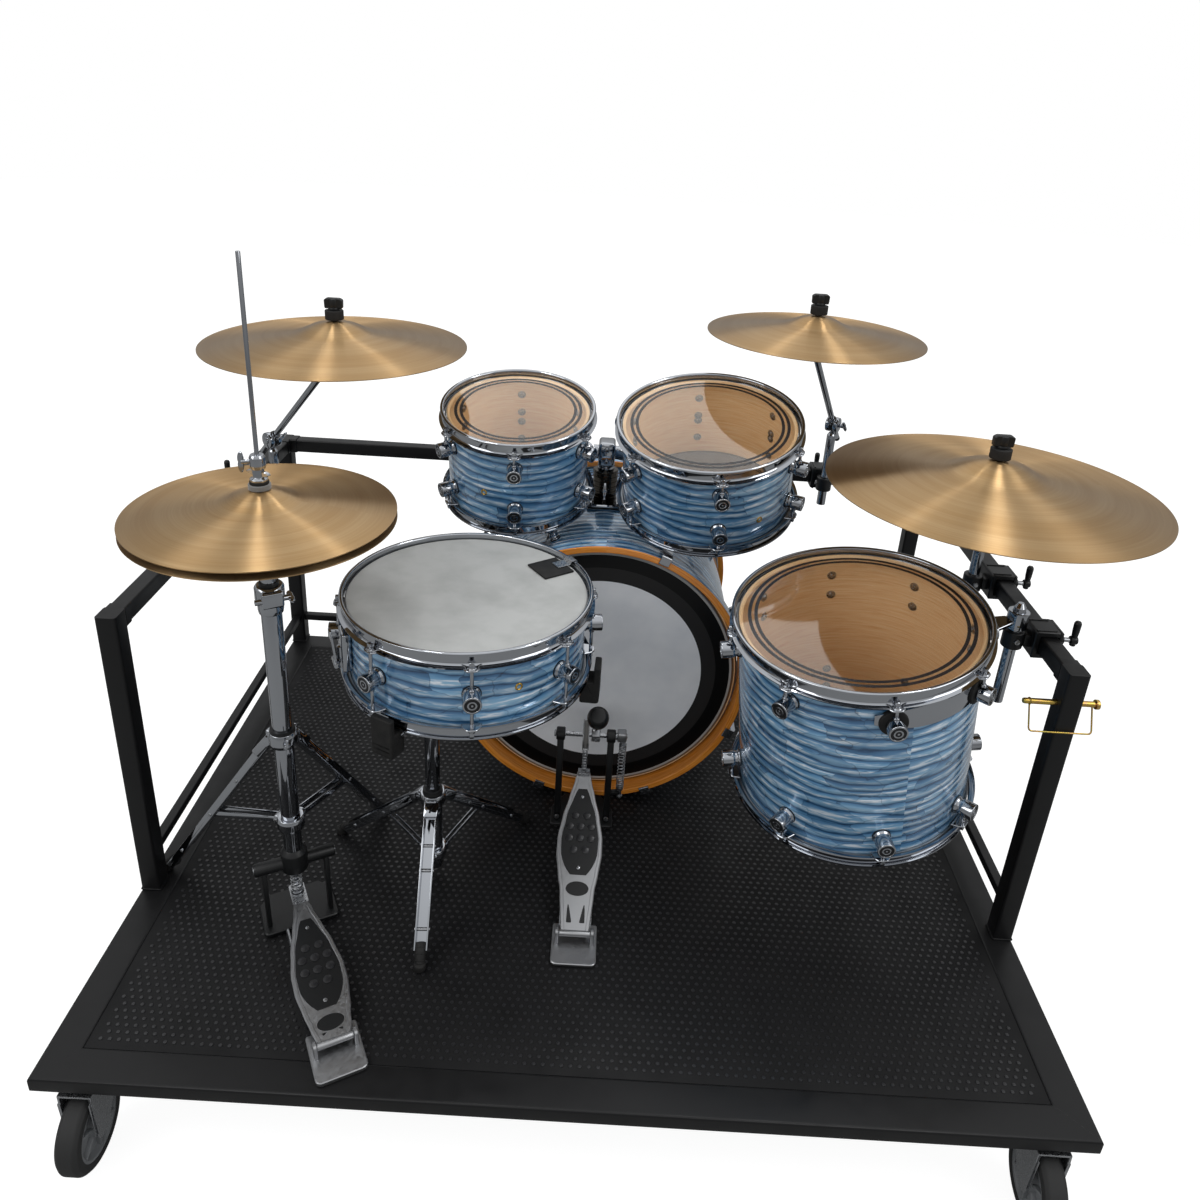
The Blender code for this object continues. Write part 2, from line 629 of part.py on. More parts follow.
def build_top_rails():
    half = TOP_RAIL_TUBE / 2
    y_low = POST_FRONT_Y + POST_TUBE + STUB_LENGTH + GAP
    y_high = HALF_DEPTH - POST_TUBE - STUB_LENGTH - GAP
    x_reach = HALF_WIDTH - POST_TUBE - STUB_LENGTH - GAP
    for name, low, high, along in (
            ("top_rail_left", (-RAIL_X - half, y_low, RAIL_Z - half),
             (-RAIL_X + half, y_high, RAIL_Z + half), 1),
            ("top_rail_right", (RAIL_X - half, y_low, RAIL_Z - half),
             (RAIL_X + half, y_high, RAIL_Z + half), 1),
            ("top_rail_back", (-x_reach, BACK_RAIL_Y - half, RAIL_Z - half),
             (x_reach, BACK_RAIL_Y + half, RAIL_Z + half), 0)):
        shapes = []
        add_box(shapes, low, high, bevel=TUBE_ROUND, along=along)
        finish(shapes, name, BLACK_COAT)


def build_hitch_pin():
    """A pin through the post, with a wire bail that swings over the post's front."""
    shapes = []
    axis = pin_axis()
    left = axis.x - POST_TUBE / 2 - PIN_LEFT_REACH
    right = axis.x + POST_TUBE / 2 + PIN_RIGHT_REACH
    length = right - left
    outline = [(0, 0), (PIN_RADIUS, 0.002), (PIN_RADIUS, length), (PIN_HEAD_RADIUS, length),
               (PIN_HEAD_RADIUS, length + PIN_HEAD_LENGTH), (0, length + PIN_HEAD_LENGTH)]
    add_turned(shapes, outline, 12, aimed((left, axis.y, axis.z), (1, 0, 0)))
    lean = Vector((0, -BAIL_LEAN, -BAIL_DROP))
    down = lean.normalized()
    leg_left = Vector((left + 0.010, axis.y, axis.z))
    leg_right = Vector((right - 0.004, axis.y, axis.z))
    bend = Vector((0.004, 0, 0))
    add_wire(shapes, [leg_left, leg_left + lean - down * 0.004, leg_left + lean + bend,
                      leg_right + lean - bend, leg_right + lean - down * 0.004, leg_right], BAIL_WIRE)
    finish(shapes, "hitch_pin", ZINC_YELLOW, pivot=axis)


# Casters

def add_caster_fork(shapes, axle, crown_top, pivot_y):
    """A crown plate, two legs and the axle of one caster; the wheel turns about X."""
    inner = HUB_WIDTH / 2 + RUNNING_GAP
    outer = inner + FORK_WALL
    foot = axle[2] - 0.012
    crown = crown_top - FORK_WALL
    back = SWIVEL_RADIUS + 0.004
    low_y = min(axle[1] - FORK_LEG / 2, pivot_y - back)
    high_y = max(axle[1] + FORK_LEG / 2, pivot_y + back)
    outline = [(-outer, foot), (-inner, foot), (-inner, crown), (inner, crown), (inner, foot), (outer, foot),
               (outer, crown_top), (-outer, crown_top)]
    fork = bmesh.new()
    face = fork.faces.new([fork.verts.new((axle[0] + x, low_y, z)) for x, z in outline])
    made = bmesh.ops.extrude_face_region(fork, geom=[face])
    moved = [v for v in made["geom"] if isinstance(v, bmesh.types.BMVert)]
    bmesh.ops.translate(fork, verts=moved, vec=(0, high_y - low_y, 0))
    for vert in fork.verts:
        if vert.co.z < axle[2]:
            side = -1 if vert.co.y < (low_y + high_y) / 2 else 1
            vert.co.y = axle[1] + side * FORK_LEG / 2
    join(shapes, fork, Matrix())
    bolt = inner + BITE
    add_rod(shapes, (axle[0] - bolt, axle[1], axle[2]), (axle[0] + bolt, axle[1], axle[2]), AXLE_RADIUS, 10)


def build_casters():
    crown_top = PLATE_BOTTOM_Z - SWIVEL_HEIGHT - RUNNING_GAP
    for side, x in (("left", -CASTER_X), ("right", CASTER_X)):
        swivel = []
        front = (x, -CASTER_Y - CASTER_TRAIL, WHEEL_Z)
        add_caster_fork(swivel, front, crown_top, -CASTER_Y)
        finish(swivel, "caster_fork_" + side, STEEL, pivot=(x, -CASTER_Y, crown_top))
        rigid = []
        back = (x, CASTER_Y, WHEEL_Z)
        add_caster_plate(rigid, x, CASTER_Y, PLATE_TOP_Z)
        add_caster_fork(rigid, back, PLATE_BOTTOM_Z + BITE, CASTER_Y)
        finish(rigid, "caster_back_" + side, STEEL)
        for end, centre in (("front", front), ("back", back)):
            build_wheel("wheel_%s_%s" % (end, side), centre)


def build_wheel(name, centre):
    shapes = []
    bore = AXLE_RADIUS + GAP
    half_hub, half_tread = HUB_WIDTH / 2, WHEEL_WIDTH / 2
    outline = [(bore, -half_hub), (0.014, -half_hub), (WHEEL_RADIUS - 0.005, -half_tread),
               (WHEEL_RADIUS, -half_tread + 0.007), (WHEEL_RADIUS, half_tread - 0.007),
               (WHEEL_RADIUS - 0.005, half_tread), (0.014, half_hub), (bore, half_hub)]
    add_turned(shapes, outline, WHEEL_SIDES, aimed(centre, (1, 0, 0)))
    finish(shapes, name, TYRE, pivot=centre)


# Drums

def drum_frame(rim, tilt):
    """A frame at the rim's centre, tipped towards the drummer and then to the left."""
    toward, left = (math.radians(a) for a in tilt)
    turn = Matrix.Rotation(-left, 4, "Y") @ Matrix.Rotation(toward, 4, "X")
    return Matrix.Translation(rim) @ turn


def drum_total(length):
    return length + 2 * (RIM_RISE + FILM + GAP)


def add_hoop(shapes, radius, sides):
    """A triple-flanged steel hoop with its outer edge at z 0."""
    inner = radius + HOOP_CLEAR
    wall = inner + HOOP_WALL
    outline = [(inner, -HOOP_HEIGHT), (inner, 0.0), (radius + HOOP_CURL, 0.0), (wall, -0.0045),
               (wall, 0.0030 - HOOP_HEIGHT), (radius + HOOP_FLANGE, 0.0022 - HOOP_HEIGHT),
               (radius + HOOP_FLANGE, -HOOP_HEIGHT)]
    add_turned(shapes, outline, sides)


def add_head(shapes, radius, sides, edge):
    """A drum head: film with its flesh hoop down round the shell's edge."""
    film_z = -RIM_RISE
    drop = film_z - FLESH_HOOP_DROP
    outline = [(0, film_z), (edge, film_z), (edge, drop), (radius + GAP, drop),
               (radius + GAP, film_z - FILM), (0, film_z - FILM)]
    add_turned(shapes, outline, sides)


def add_rods(shapes, radius, azimuths, lug_z):
    """Tension rods through the hoop's flange, ending just short of their lugs."""
    for azimuth in azimuths:
        out = polar(radius + ROD_OUT, azimuth)
        add_rod(shapes, out - Vector((0, 0, ROD_HEAD_DROP)),
                out + Vector((0, 0, lug_z + LUG_RADIUS + GAP)), ROD_RADIUS, ROD_SIDES)


def build_drum(name, frame, radius, length, sides, azimuths, films, pivot, lug_inset, extras):
    """Shell, hoops, heads and hardware of one drum, in its own frame with the rim at z 0."""
    total = drum_total(length)
    inset = RIM_RISE + FILM + GAP
    shell = []
    add_turned(shell, [(radius - SHELL_WALL, -inset), (radius, -inset),
                       (radius, inset - total), (radius - SHELL_WALL, inset - total)], sides)
    for azimuth in azimuths:
        out = polar(1.0, azimuth)
        for z in sorted({-lug_inset, lug_inset - total}):
            height = Vector((0, 0, z))
            add_rod(shell, out * (radius - WALL_BITE) + height, out * (radius + LUG_REACH) + height,
                    LUG_RADIUS, LUG_SIDES)
    extras(shell)
    finish(shell, name + "_shell", BLUE_PEARL, frame, pivot)
    top = []
    add_hoop(top, radius, sides)
    add_rods(top, radius, azimuths, -lug_inset)
    finish(top, name + "_hoop", CHROME, frame, pivot)
    head = []
    add_head(head, radius, sides, radius + FLESH_HOOP)
    finish(head, name + "_head", films, frame, pivot)
    bottom = []
    add_hoop(bottom, radius, sides)
    add_head(bottom, radius, sides, radius + HOOP_CLEAR + HOOP_WALL / 4)
    add_rods(bottom, radius, [-azimuth for azimuth in azimuths], -lug_inset)
    under = frame @ Matrix.Translation((0, 0, -total)) @ Matrix.Rotation(math.pi, 4, "X")
    finish(bottom, name + "_bottom", CHROME, under, pivot)


def tom_mount_axis():
    return Vector((MOUNT_X, MOUNT_Y, MOUNT_BLOCK_TOP - MOUNT_BLOCK[2] / 2))


def build_toms():
    axis = tom_mount_axis()
    for name, rim, tilt, radius, length, azimuth, bracket_z, side in (
            ("tom_left", TOM_LEFT_RIM, TOM_LEFT_TILT, TOM_LEFT_RADIUS, TOM_LEFT_LENGTH,
             TOM_LEFT_BRACKET_AZIMUTH, TOM_LEFT_BRACKET_Z, -1),
            ("tom_right", TOM_RIGHT_RIM, TOM_RIGHT_TILT, TOM_RIGHT_RADIUS, TOM_RIGHT_LENGTH,
             TOM_RIGHT_BRACKET_AZIMUTH, TOM_RIGHT_BRACKET_Z, 1)):
        frame = drum_frame(rim, tilt)

        def bracket_and_arm(shell):
            turn = turned_to(azimuth)
            add_box(shell, (radius - WALL_BITE, -BRACKET_WIDTH / 2, bracket_z - BRACKET_HEIGHT / 2),
                    (radius + BRACKET_DEPTH, BRACKET_WIDTH / 2, bracket_z + BRACKET_HEIGHT / 2), turn)
            inverse = frame.inverted()
            seat = turn @ Vector((radius + BRACKET_DEPTH - 0.008, 0, bracket_z))
            start = inverse @ (axis + Vector((side * (MOUNT_BLOCK[0] / 2 + GAP), 0, 0)))
            elbow = inverse @ (axis + Vector((side * (MOUNT_BLOCK[0] / 2 + 0.022), 0, 0)))
            bend = inverse @ (axis + Vector((side * (MOUNT_BLOCK[0] / 2 + 0.014), 0, 0)))
            add_rod(shell, start, elbow, TOM_ARM_RADIUS, 10)
            add_rod(shell, bend, seat, TOM_ARM_RADIUS * 0.93, 10)

        build_drum(name, frame, radius, length, TOM_SIDES, around(TOM_LUGS, TOM_LUG_AZIMUTH),
                   CLEAR_FILM, axis, LUG_INSET, bracket_and_arm)


def clamp_post_at(rail_point, inward):
    """Where a clamp's upright post stands, beside the rail."""
    return Vector(rail_point) + Vector(inward) * CLAMP_POST_OFFSET


def build_floor_tom():
    frame = drum_frame(FLOOR_TOM_RIM, FLOOR_TOM_TILT)
    post = clamp_post_at((RAIL_X, FLOOR_CLAMP_Y, 0), (-1, 0, 0))

    def suspension_plate(shell):
        inverse = frame.inverted()
        eye_low = Vector((post.x, post.y, FLOOR_EYE_BOTTOM))
        eye_high = Vector((post.x, post.y, FLOOR_EYE_TOP))
        bore = (CLAMP_POST_RADIUS + GAP) / math.cos(math.pi / EYE_SIDES)
        add_sleeve(shell, inverse @ eye_low, inverse @ eye_high, bore,
                   CLAMP_POST_RADIUS + CLAMP_EYE_WALL, EYE_SIDES)
        centre = inverse @ ((eye_low + eye_high) / 2)
        azimuth = math.degrees(math.atan2(centre.y, centre.x))
        reach = math.hypot(centre.x, centre.y) - CLAMP_POST_RADIUS - CLAMP_EYE_WALL / 2
        start = FLOOR_TOM_RADIUS - WALL_BITE
        outline = [(start, -0.030), (start, 0.030), (reach, 0.010), (reach, -0.010)]
        add_prism(shell, outline, centre.z - 0.003, centre.z + 0.003, turned_to(azimuth))

    build_drum("floor_tom", frame, FLOOR_TOM_RADIUS, FLOOR_TOM_LENGTH, FLOOR_SIDES,
               around(FLOOR_TOM_LUGS, FLOOR_TOM_LUG_AZIMUTH), CLEAR_FILM, post, LUG_INSET, suspension_plate)


def build_snare():
    frame = drum_frame(SNARE_RIM, (0.0, 0.0))
    total = drum_total(SNARE_LENGTH)

    def throw_off_and_butt(shell):
        for azimuth in (SNARE_THROW_AZIMUTH, SNARE_THROW_AZIMUTH - 180):
            add_box(shell, (SNARE_RADIUS - WALL_BITE, -0.015, -total / 2 - 0.034),
                    (SNARE_RADIUS + 0.016, 0.015, -total / 2 + 0.020), turned_to(azimuth), bevel=0.003)

    build_drum("snare", frame, SNARE_RADIUS, SNARE_LENGTH, FLOOR_SIDES, around(SNARE_LUGS, SNARE_LUG_AZIMUTH),
               COATED_FILM, frame.translation, total / 2, throw_off_and_butt)
    turn = frame @ Matrix.Translation((0, 0, -total / 2)) @ turned_to(SNARE_THROW_AZIMUTH)
    lever = []
    hinge = Vector((SNARE_RADIUS + 0.0215, 0, -0.022))
    add_rod(lever, hinge - Vector((0, 0.013, 0)), hinge + Vector((0, 0.013, 0)), 0.0045, 10, frame=turn)
    add_bar(lever, hinge, hinge + Vector((0.006, 0, 0.056)), 0.020, 0.004, side=(1, 0, 0), frame=turn)
    finish(lever, "snare_lever", CHROME, pivot=turn @ hinge)
    wires = []
    top = RIM_RISE - total - GAP
    turn = frame @ turned_to(SNARE_THROW_AZIMUTH)
    for i in range(WIRE_COUNT):
        y = (i - (WIRE_COUNT - 1) / 2) * WIRE_PITCH
        add_box(wires, (-WIRE_HALF, y - 0.0009, top - 0.0018), (WIRE_HALF, y + 0.0009, top - 0.0002), turn)
    for side in (-1, 1):
        x = side * (WIRE_HALF + WIRE_PLATE[0] / 2 - BITE)
        add_box(wires, (x - WIRE_PLATE[0] / 2, -WIRE_PLATE[1] / 2, top - 0.0020),
                (x + WIRE_PLATE[0] / 2, WIRE_PLATE[1] / 2, top), turn)
    finish(wires, "snare_wires", STEEL)


# Bass drum

def bass_frame():
    """Z runs along the drum away from the drummer, from the batter hoop's face; X is up."""
    return aimed((BASS_X, BASS_FACE_Y, BASS_Z), (0, 1, 0), (0, 0, 1))


def build_bass_drum():
    frame = bass_frame()
    inset = BASS_HOOP_PROUD + FILM + GAP
    total = BASS_SHELL_LENGTH + 2 * inset
    far = frame @ Matrix.Translation((0, 0, total)) @ Matrix.Rotation(math.pi, 4, "X")
    shell = []
    add_turned(shell, [(BASS_SHELL_RADIUS - BASS_WALL, inset), (BASS_SHELL_RADIUS, inset),
                       (BASS_SHELL_RADIUS, total - inset), (BASS_SHELL_RADIUS - BASS_WALL, total - inset)],
               BASS_SIDES)
    for z in (BASS_LUG_INSET, total - BASS_LUG_INSET):
        for azimuth in around(BASS_LUGS, 22.5):
            out = polar(1.0, azimuth)
            height = Vector((0, 0, z))
            add_rod(shell, out * (BASS_SHELL_RADIUS - WALL_BITE) + height,
                    out * (BASS_SHELL_RADIUS + BASS_LUG_REACH) + height, LUG_RADIUS, LUG_SIDES)
    add_bass_spurs(shell, frame)
    finish(shell, "bass_shell", BLUE_PEARL, frame)
    for name, end in (("batter", frame), ("front", far)):
        hoop = []
        add_turned(hoop, [(BASS_HOOP_INNER, 0), (BASS_HOOP_INNER, BASS_HOOP_DEPTH),
                          (BASS_HOOP_RADIUS, BASS_HOOP_DEPTH), (BASS_HOOP_RADIUS, 0)], BASS_SIDES)
        add_claws(hoop)
        finish(hoop, "bass_hoop_" + name, AMBER_WOOD, end)
        head = []
        edge = BASS_SHELL_RADIUS + BASS_FLESH_HOOP
        drop = BASS_HOOP_PROUD + 0.012
        add_turned(head, [(0, BASS_HOOP_PROUD), (edge, BASS_HOOP_PROUD), (edge, drop),
                          (BASS_SHELL_RADIUS + GAP, drop), (BASS_SHELL_RADIUS + GAP, BASS_HOOP_PROUD + FILM),
                          (0, BASS_HOOP_PROUD + FILM)], BASS_SIDES)
        finish(head, "bass_head_" + name, FROSTED_FILM, end)


def add_claws(shapes):
    """Claws hooked over the hoop's face, each with its tension rod back to a lug."""
    under = BASS_HOOP_RADIUS * math.cos(math.pi / BASS_SIDES) - BITE
    outer = BASS_HOOP_RADIUS + CLAW_RISE
    outline = [(under - 0.007, -CLAW_WALL), (under - 0.007, BITE), (under, BITE), (under, CLAW_LENGTH),
               (outer, CLAW_LENGTH), (outer, -CLAW_WALL)]
    stand = Matrix.Rotation(math.pi / 2, 4, "X")
    rod_out = BASS_HOOP_RADIUS + CLAW_RISE / 2
    for azimuth in around(BASS_LUGS, 22.5):
        turn = turned_to(azimuth)
        add_prism(shapes, outline, -CLAW_WIDTH / 2, CLAW_WIDTH / 2, turn @ stand)
        add_rod(shapes, (rod_out, 0, CLAW_LENGTH - BITE), (rod_out, 0, BASS_LUG_INSET - LUG_RADIUS - GAP),
                ROD_RADIUS, ROD_SIDES, frame=turn)


def add_bass_spurs(shell, frame):
    """A bracket and a leg with a rubber foot each side, near the drum's far end."""
    inverse = frame.inverted()
    for side in (-1, 1):
        angle = math.radians(SPUR_ANGLE)
        out = Vector((side * math.cos(angle), 0, math.sin(angle)))
        seat = Vector((BASS_X, SPUR_Y, BASS_Z)) + out * (BASS_SHELL_RADIUS - WALL_BITE)
        add_box(shell, (-0.022, -0.014, 0), (0.022, 0.014, 0.024), inverse @ aimed(seat, out, (0, 1, 0)))
        hub = seat + out * 0.020
        foot = Vector((BASS_X + side * (BASS_SHELL_RADIUS + SPUR_SPREAD), SPUR_Y + 0.055, 0.018))
        add_rod(shell, inverse @ hub, inverse @ foot, SPUR_RADIUS, 8)
        add_rod(shell, inverse @ (foot + Vector((0, 0, 0.004))), inverse @ Vector((foot.x, foot.y, GAP)),
                0.012, 8, end_radius=0.009)


def build_tom_mount():
    shapes = []
    base_z = BASS_Z + BASS_SHELL_RADIUS + GAP
    half_x, half_y, thick = MOUNT_BASE[0] / 2, MOUNT_BASE[1] / 2, MOUNT_BASE[2]
    add_box(shapes, (MOUNT_X - half_x, MOUNT_Y - half_y, base_z),
            (MOUNT_X + half_x, MOUNT_Y + half_y, base_z + thick), bevel=0.003)
    block_low = MOUNT_BLOCK_TOP - MOUNT_BLOCK[2]
    add_rod(shapes, (MOUNT_X, MOUNT_Y, base_z + thick - BITE), (MOUNT_X, MOUNT_Y, block_low + BITE),
            MOUNT_POST_RADIUS, 14)
    add_box(shapes, (MOUNT_X - MOUNT_BLOCK[0] / 2, MOUNT_Y - MOUNT_BLOCK[1] / 2, block_low),
            (MOUNT_X + MOUNT_BLOCK[0] / 2, MOUNT_Y + MOUNT_BLOCK[1] / 2, MOUNT_BLOCK_TOP), bevel=0.004)
    finish(shapes, "tom_mount", CHROME)


# Rail clamps, booms and cymbals

def build_rail_clamps():
    """Each clamp is a jaw round the rail with a closing plate, a T bolt, an eye and its post."""
    half = TOP_RAIL_TUBE / 2 + GAP
    wall = CLAMP_WALL
    up = Vector((0, 0, 1))
    for name, rail, inward, along, low_z, top_z in CLAMPS:
        shapes = []
        rail, inward = Vector(rail), Vector(inward)
        frame = aimed(rail, along, inward)
        jaw = [(half, -half), (half, half), (-half - BITE, half), (-half - BITE, half + wall),
               (half + wall, half + wall), (half + wall, -half - wall), (-half - BITE, -half - wall),
               (-half - BITE, -half)]
        add_prism(shapes, jaw, -CLAMP_WIDTH / 2, CLAMP_WIDTH / 2, frame)
        plate = wall * 0.7
        add_box(shapes, (-half - plate, -half - wall + 0.0005, 0.0005 - CLAMP_WIDTH / 2),
                (-half, half + wall - 0.0005, CLAMP_WIDTH / 2 - 0.0005), frame)
        start = rail - inward * (half + plate - BITE)
        end = start - inward * CLAMP_BOLT_LENGTH
        add_rod(shapes, start, end, CLAMP_BOLT_RADIUS, SMALL_SIDES)
        add_rod(shapes, end - up * 0.010, end + up * (T_HANDLE_LENGTH - 0.010), T_HANDLE_RADIUS, SMALL_SIDES)
        post = clamp_post_at(rail, inward)
        eye = CLAMP_POST_RADIUS + CLAMP_EYE_WALL
        add_rod(shapes, (post.x, post.y, rail.z - 0.016), (post.x, post.y, rail.z + 0.013), eye, 10)
        add_rod(shapes, rail + inward * (half + wall - BITE), rail + inward * (CLAMP_POST_OFFSET - 0.004),
                0.009, TUBE_SIDES)
        neck, rise = POST_NECK
        add_rod(shapes, (post.x, post.y, low_z), (post.x, post.y, top_z - rise), CLAMP_POST_RADIUS, 10)
        add_rod(shapes, (post.x, post.y, top_z - rise - BITE), (post.x, post.y, top_z), CLAMP_POST_RADIUS, 10,
                end_radius=neck)
        finish(shapes, name, BLACK_PLASTIC)


def cymbal_outline(radius):
    """Bow and bell of a cymbal from the rim at z 0 up to the bell's flat, and back below."""
    bell = 0.24 * radius
    bow_rise = 0.115 * radius
    bell_rise = 0.080 * radius
    bell_foot = bow_rise * (1 - (bell / radius) ** 1.7)
    tops = [(radius, 0.0), (radius * 0.60, bow_rise * (1 - 0.60 ** 1.7)), (bell, bell_foot),
            (bell * 0.62, bell_foot + bell_rise * 0.68), (FELT_RADIUS + BITE, bell_foot + bell_rise),
            (CYMBAL_HOLE, bell_foot + bell_rise)]
    return tops + [(r, z - CYMBAL_THICKNESS) for r, z in reversed(tops)]


def bell_height(radius):
    return max(z for r, z in cymbal_outline(radius))


def felt_outline(thick):
    """A felt that falls away from its inner edge, so the cymbal can rock on it."""
    slope = math.tan(math.radians(CYMBAL_ROCK + 1.0))
    return [(0, -thick), (FELT_RADIUS, -thick), (FELT_RADIUS, -FELT_RADIUS * slope),
            (SLEEVE_RADIUS, -SLEEVE_RADIUS * slope), (0, -SLEEVE_RADIUS * slope)]


def build_boom_cymbals():
    for name, clamp, cymbal in (("ride", CLAMPS[1], RIDE), ("crash_right", CLAMPS[2], CRASH_RIGHT),
                                ("crash_left", CLAMPS[3], CRASH_LEFT)):
        post = clamp_post_at(clamp[1], clamp[2])
        joint = Vector((post.x, post.y, cymbal["joint_z"]))
        rim = Vector(cymbal["rim"])
        top = rim + Vector((0, 0, bell_height(cymbal["radius"])))
        seat = top - Vector((0, 0, CYMBAL_THICKNESS))
        tilter = seat - Vector((0, 0, TILTER_DROP))
        way = (tilter - joint).normalized()
        hinge = Vector((0, 0, 1)).cross(way).normalized()
        boom = []
        half = hinge * JOINT_WIDTH / 2
        add_rod(boom, joint - half, joint + half, JOINT_RADIUS, TUBE_SIDES)
        add_rod(boom, joint - way * (JOINT_RADIUS + BOOM_TAIL), tilter, BOOM_RADIUS, SMALL_SIDES)
        wing = joint + hinge * (JOINT_WIDTH / 2 - BITE)
        add_rod(boom, wing, wing + hinge * 0.014, 0.0045, SMALL_SIDES)
        add_bar(boom, wing + hinge * 0.012 - way * 0.018, wing + hinge * 0.012 + way * 0.018,
                0.005, 0.010, side=(0, 0, 1))
        add_rod(boom, tilter - hinge * 0.011, tilter + hinge * 0.011, TILTER_RADIUS, TUBE_SIDES)
        up = Vector((0, 0, 1))
        add_rod(boom, tilter, seat - up * (FELT_HEIGHT + 0.003), STEM_RADIUS, SMALL_SIDES)
        add_rod(boom, seat - up * (FELT_HEIGHT + 0.004), seat - up * (FELT_HEIGHT - 0.0005), 0.011,
                TUBE_SIDES)
        add_turned(boom, felt_outline(FELT_HEIGHT), TUBE_SIDES, Matrix.Translation(seat))
        add_turned(boom, felt_outline(TOP_FELT_HEIGHT), TUBE_SIDES,
                   Matrix.Translation(top) @ Matrix.Rotation(math.pi, 4, "X"))
        add_rod(boom, seat - up * 0.005, top + up * 0.005, SLEEVE_RADIUS, TUBE_SIDES)
        span, thick, height = WING_NUT
        nut = top + up * TOP_FELT_HEIGHT
        add_box(boom, nut + Vector((-span / 2, -thick / 2, -BITE)), nut + Vector((span / 2, thick / 2, height)),
                bevel=0.002)
        finish(boom, name + "_boom", CHROME, pivot=joint)
        plate = []
        add_turned(plate, cymbal_outline(cymbal["radius"]), CYMBAL_SIDES, Matrix.Translation(rim))
        finish(plate, name, BRONZE, pivot=seat)


# Hi-hat

def add_leg(shapes, top, foot, width, thickness):
    """A pressed leg down to a rubber foot that stands on the deck."""
    top, foot = Vector(top), Vector(foot)
    level = Vector((foot.x - top.x, foot.y - top.y, 0)).normalized()
    heel = foot + Vector((0, 0, 0.020)) - level * 0.016
    add_bar(shapes, top, heel, width, thickness, Vector((0, 0, 1)) + level)
    along = (heel - top).normalized()
    add_rod(shapes, heel - along * 0.004, Vector((foot.x, foot.y, GAP + 0.0078)), 0.009, SMALL_SIDES,
            end_radius=0.007)
    add_rod(shapes, Vector((foot.x, foot.y, 0.012)), Vector((foot.x, foot.y, GAP)), 0.010, SMALL_SIDES)


def build_hihat_stand():
    shapes = []
    x, y = HIHAT_AT

    def tube(low, high, inner, outer, sides=TUBE_SIDES):
        add_sleeve(shapes, (x, y, low), (x, y, high), inner, outer, sides)

    bore = HIHAT_TUBE_RADIUS - HIHAT_TUBE_WALL
    pull = HIHAT_ROD_RADIUS + ROD_CLEARANCE
    tube(HIHAT_TUBE_BOTTOM, HIHAT_CLAMP_Z - 0.012, bore, HIHAT_TUBE_RADIUS)
    tube(HIHAT_CLAMP_Z - 0.015, HIHAT_CLAMP_Z + 0.014, HIHAT_UPPER_RADIUS - BITE, HIHAT_TUBE_RADIUS + 0.006)
    tube(HIHAT_CLAMP_Z - 0.006, HIHAT_UPPER_TOP, pull, HIHAT_UPPER_RADIUS)
    seat_z = lower_hihat_rim() - bell_height(HIHAT_RADIUS)
    tube(HIHAT_UPPER_TOP - BITE, seat_z - 0.011, pull, 0.0075)
    tube(seat_z - 0.012, seat_z - 0.005, pull, 0.020)
    tube(seat_z - 0.006, seat_z - GAP, pull, 0.013)
    for collar in (HIHAT_COLLAR_Z, HIHAT_BRACE_Z):
        tube(collar - 0.011, collar + 0.011, HIHAT_TUBE_RADIUS - BITE, HIHAT_TUBE_RADIUS + 0.007)
    centre = Vector((x, y, 0))
    for azimuth in HIHAT_LEG_AZIMUTHS:
        out = polar(1.0, azimuth)
        collar = HIHAT_TUBE_RADIUS + 0.004
        top = centre + out * collar + Vector((0, 0, HIHAT_COLLAR_Z - 0.004))
        foot = centre + out * HIHAT_LEG_REACH
        add_leg(shapes, top, foot, HIHAT_LEG_WIDTH, HIHAT_LEG_THICKNESS)
        near = centre + out * collar + Vector((0, 0, HIHAT_BRACE_Z))
        far = top.lerp(foot, HIHAT_BRACE_SHARE)
        add_bar(shapes, near, far, 0.005, 0.014, side=(0, 0, 1))
    build_hihat_base(shapes)
    finish(shapes, "hihat_stand", CHROME)
    height = HIHAT_SPRING_TOP - HIHAT_SPRING_BOTTOM
    spring = []
    points = coil(HIHAT_SPRING_RADIUS, HIHAT_SPRING_BOTTOM, height, HIHAT_SPRING_TURNS)
    print("hihat_spring least gap %.4f m" % (height / HIHAT_SPRING_TURNS - 2 * HIHAT_SPRING_WIRE))
    add_wire(spring, points, HIHAT_SPRING_WIRE, Matrix.Translation(centre))
    finish(spring, "hihat_spring", STEEL, pivot=centre + Vector((0, 0, HIHAT_SPRING_TOP)))


def hihat_pedal_frame():
    """Origin under the column on the deck, X towards the heel."""
    return Matrix.Translation((*HIHAT_AT, 0)) @ turned_to(HIHAT_PEDAL_AZIMUTH)


def build_hihat_base(shapes):
    """Base plate, yoke, side rods and heel plate, which tie the column to the pedal's heel."""
    frame = hihat_pedal_frame()
    spread = HIHAT_YOKE_SPREAD
    base = 0.008
    add_box(shapes, (-0.050, -spread - 0.010, GAP), (0.034, spread + 0.010, base), frame)
    heel = HIHAT_PEDAL_LENGTH
    add_heel_plate(shapes, heel, base, frame)
    for side in (-1, 1):
        y = side * spread
        add_bar(shapes, (0.012, y, base - BITE), (0.0, y, HIHAT_YOKE_TOP), 0.016, 0.007, side=(0, 1, 0),
                frame=frame)
        add_rod(shapes, (0, side * (HIHAT_TUBE_RADIUS - BITE), HIHAT_YOKE_TOP),
                (0, side * (spread + 0.014), HIHAT_YOKE_TOP), 0.0105, TUBE_SIDES, frame=frame)
        add_rod(shapes, (0.030, side * 0.024, 0.0045), (heel - 0.030, side * 0.024, 0.0045), 0.003, 6,
                frame=frame)


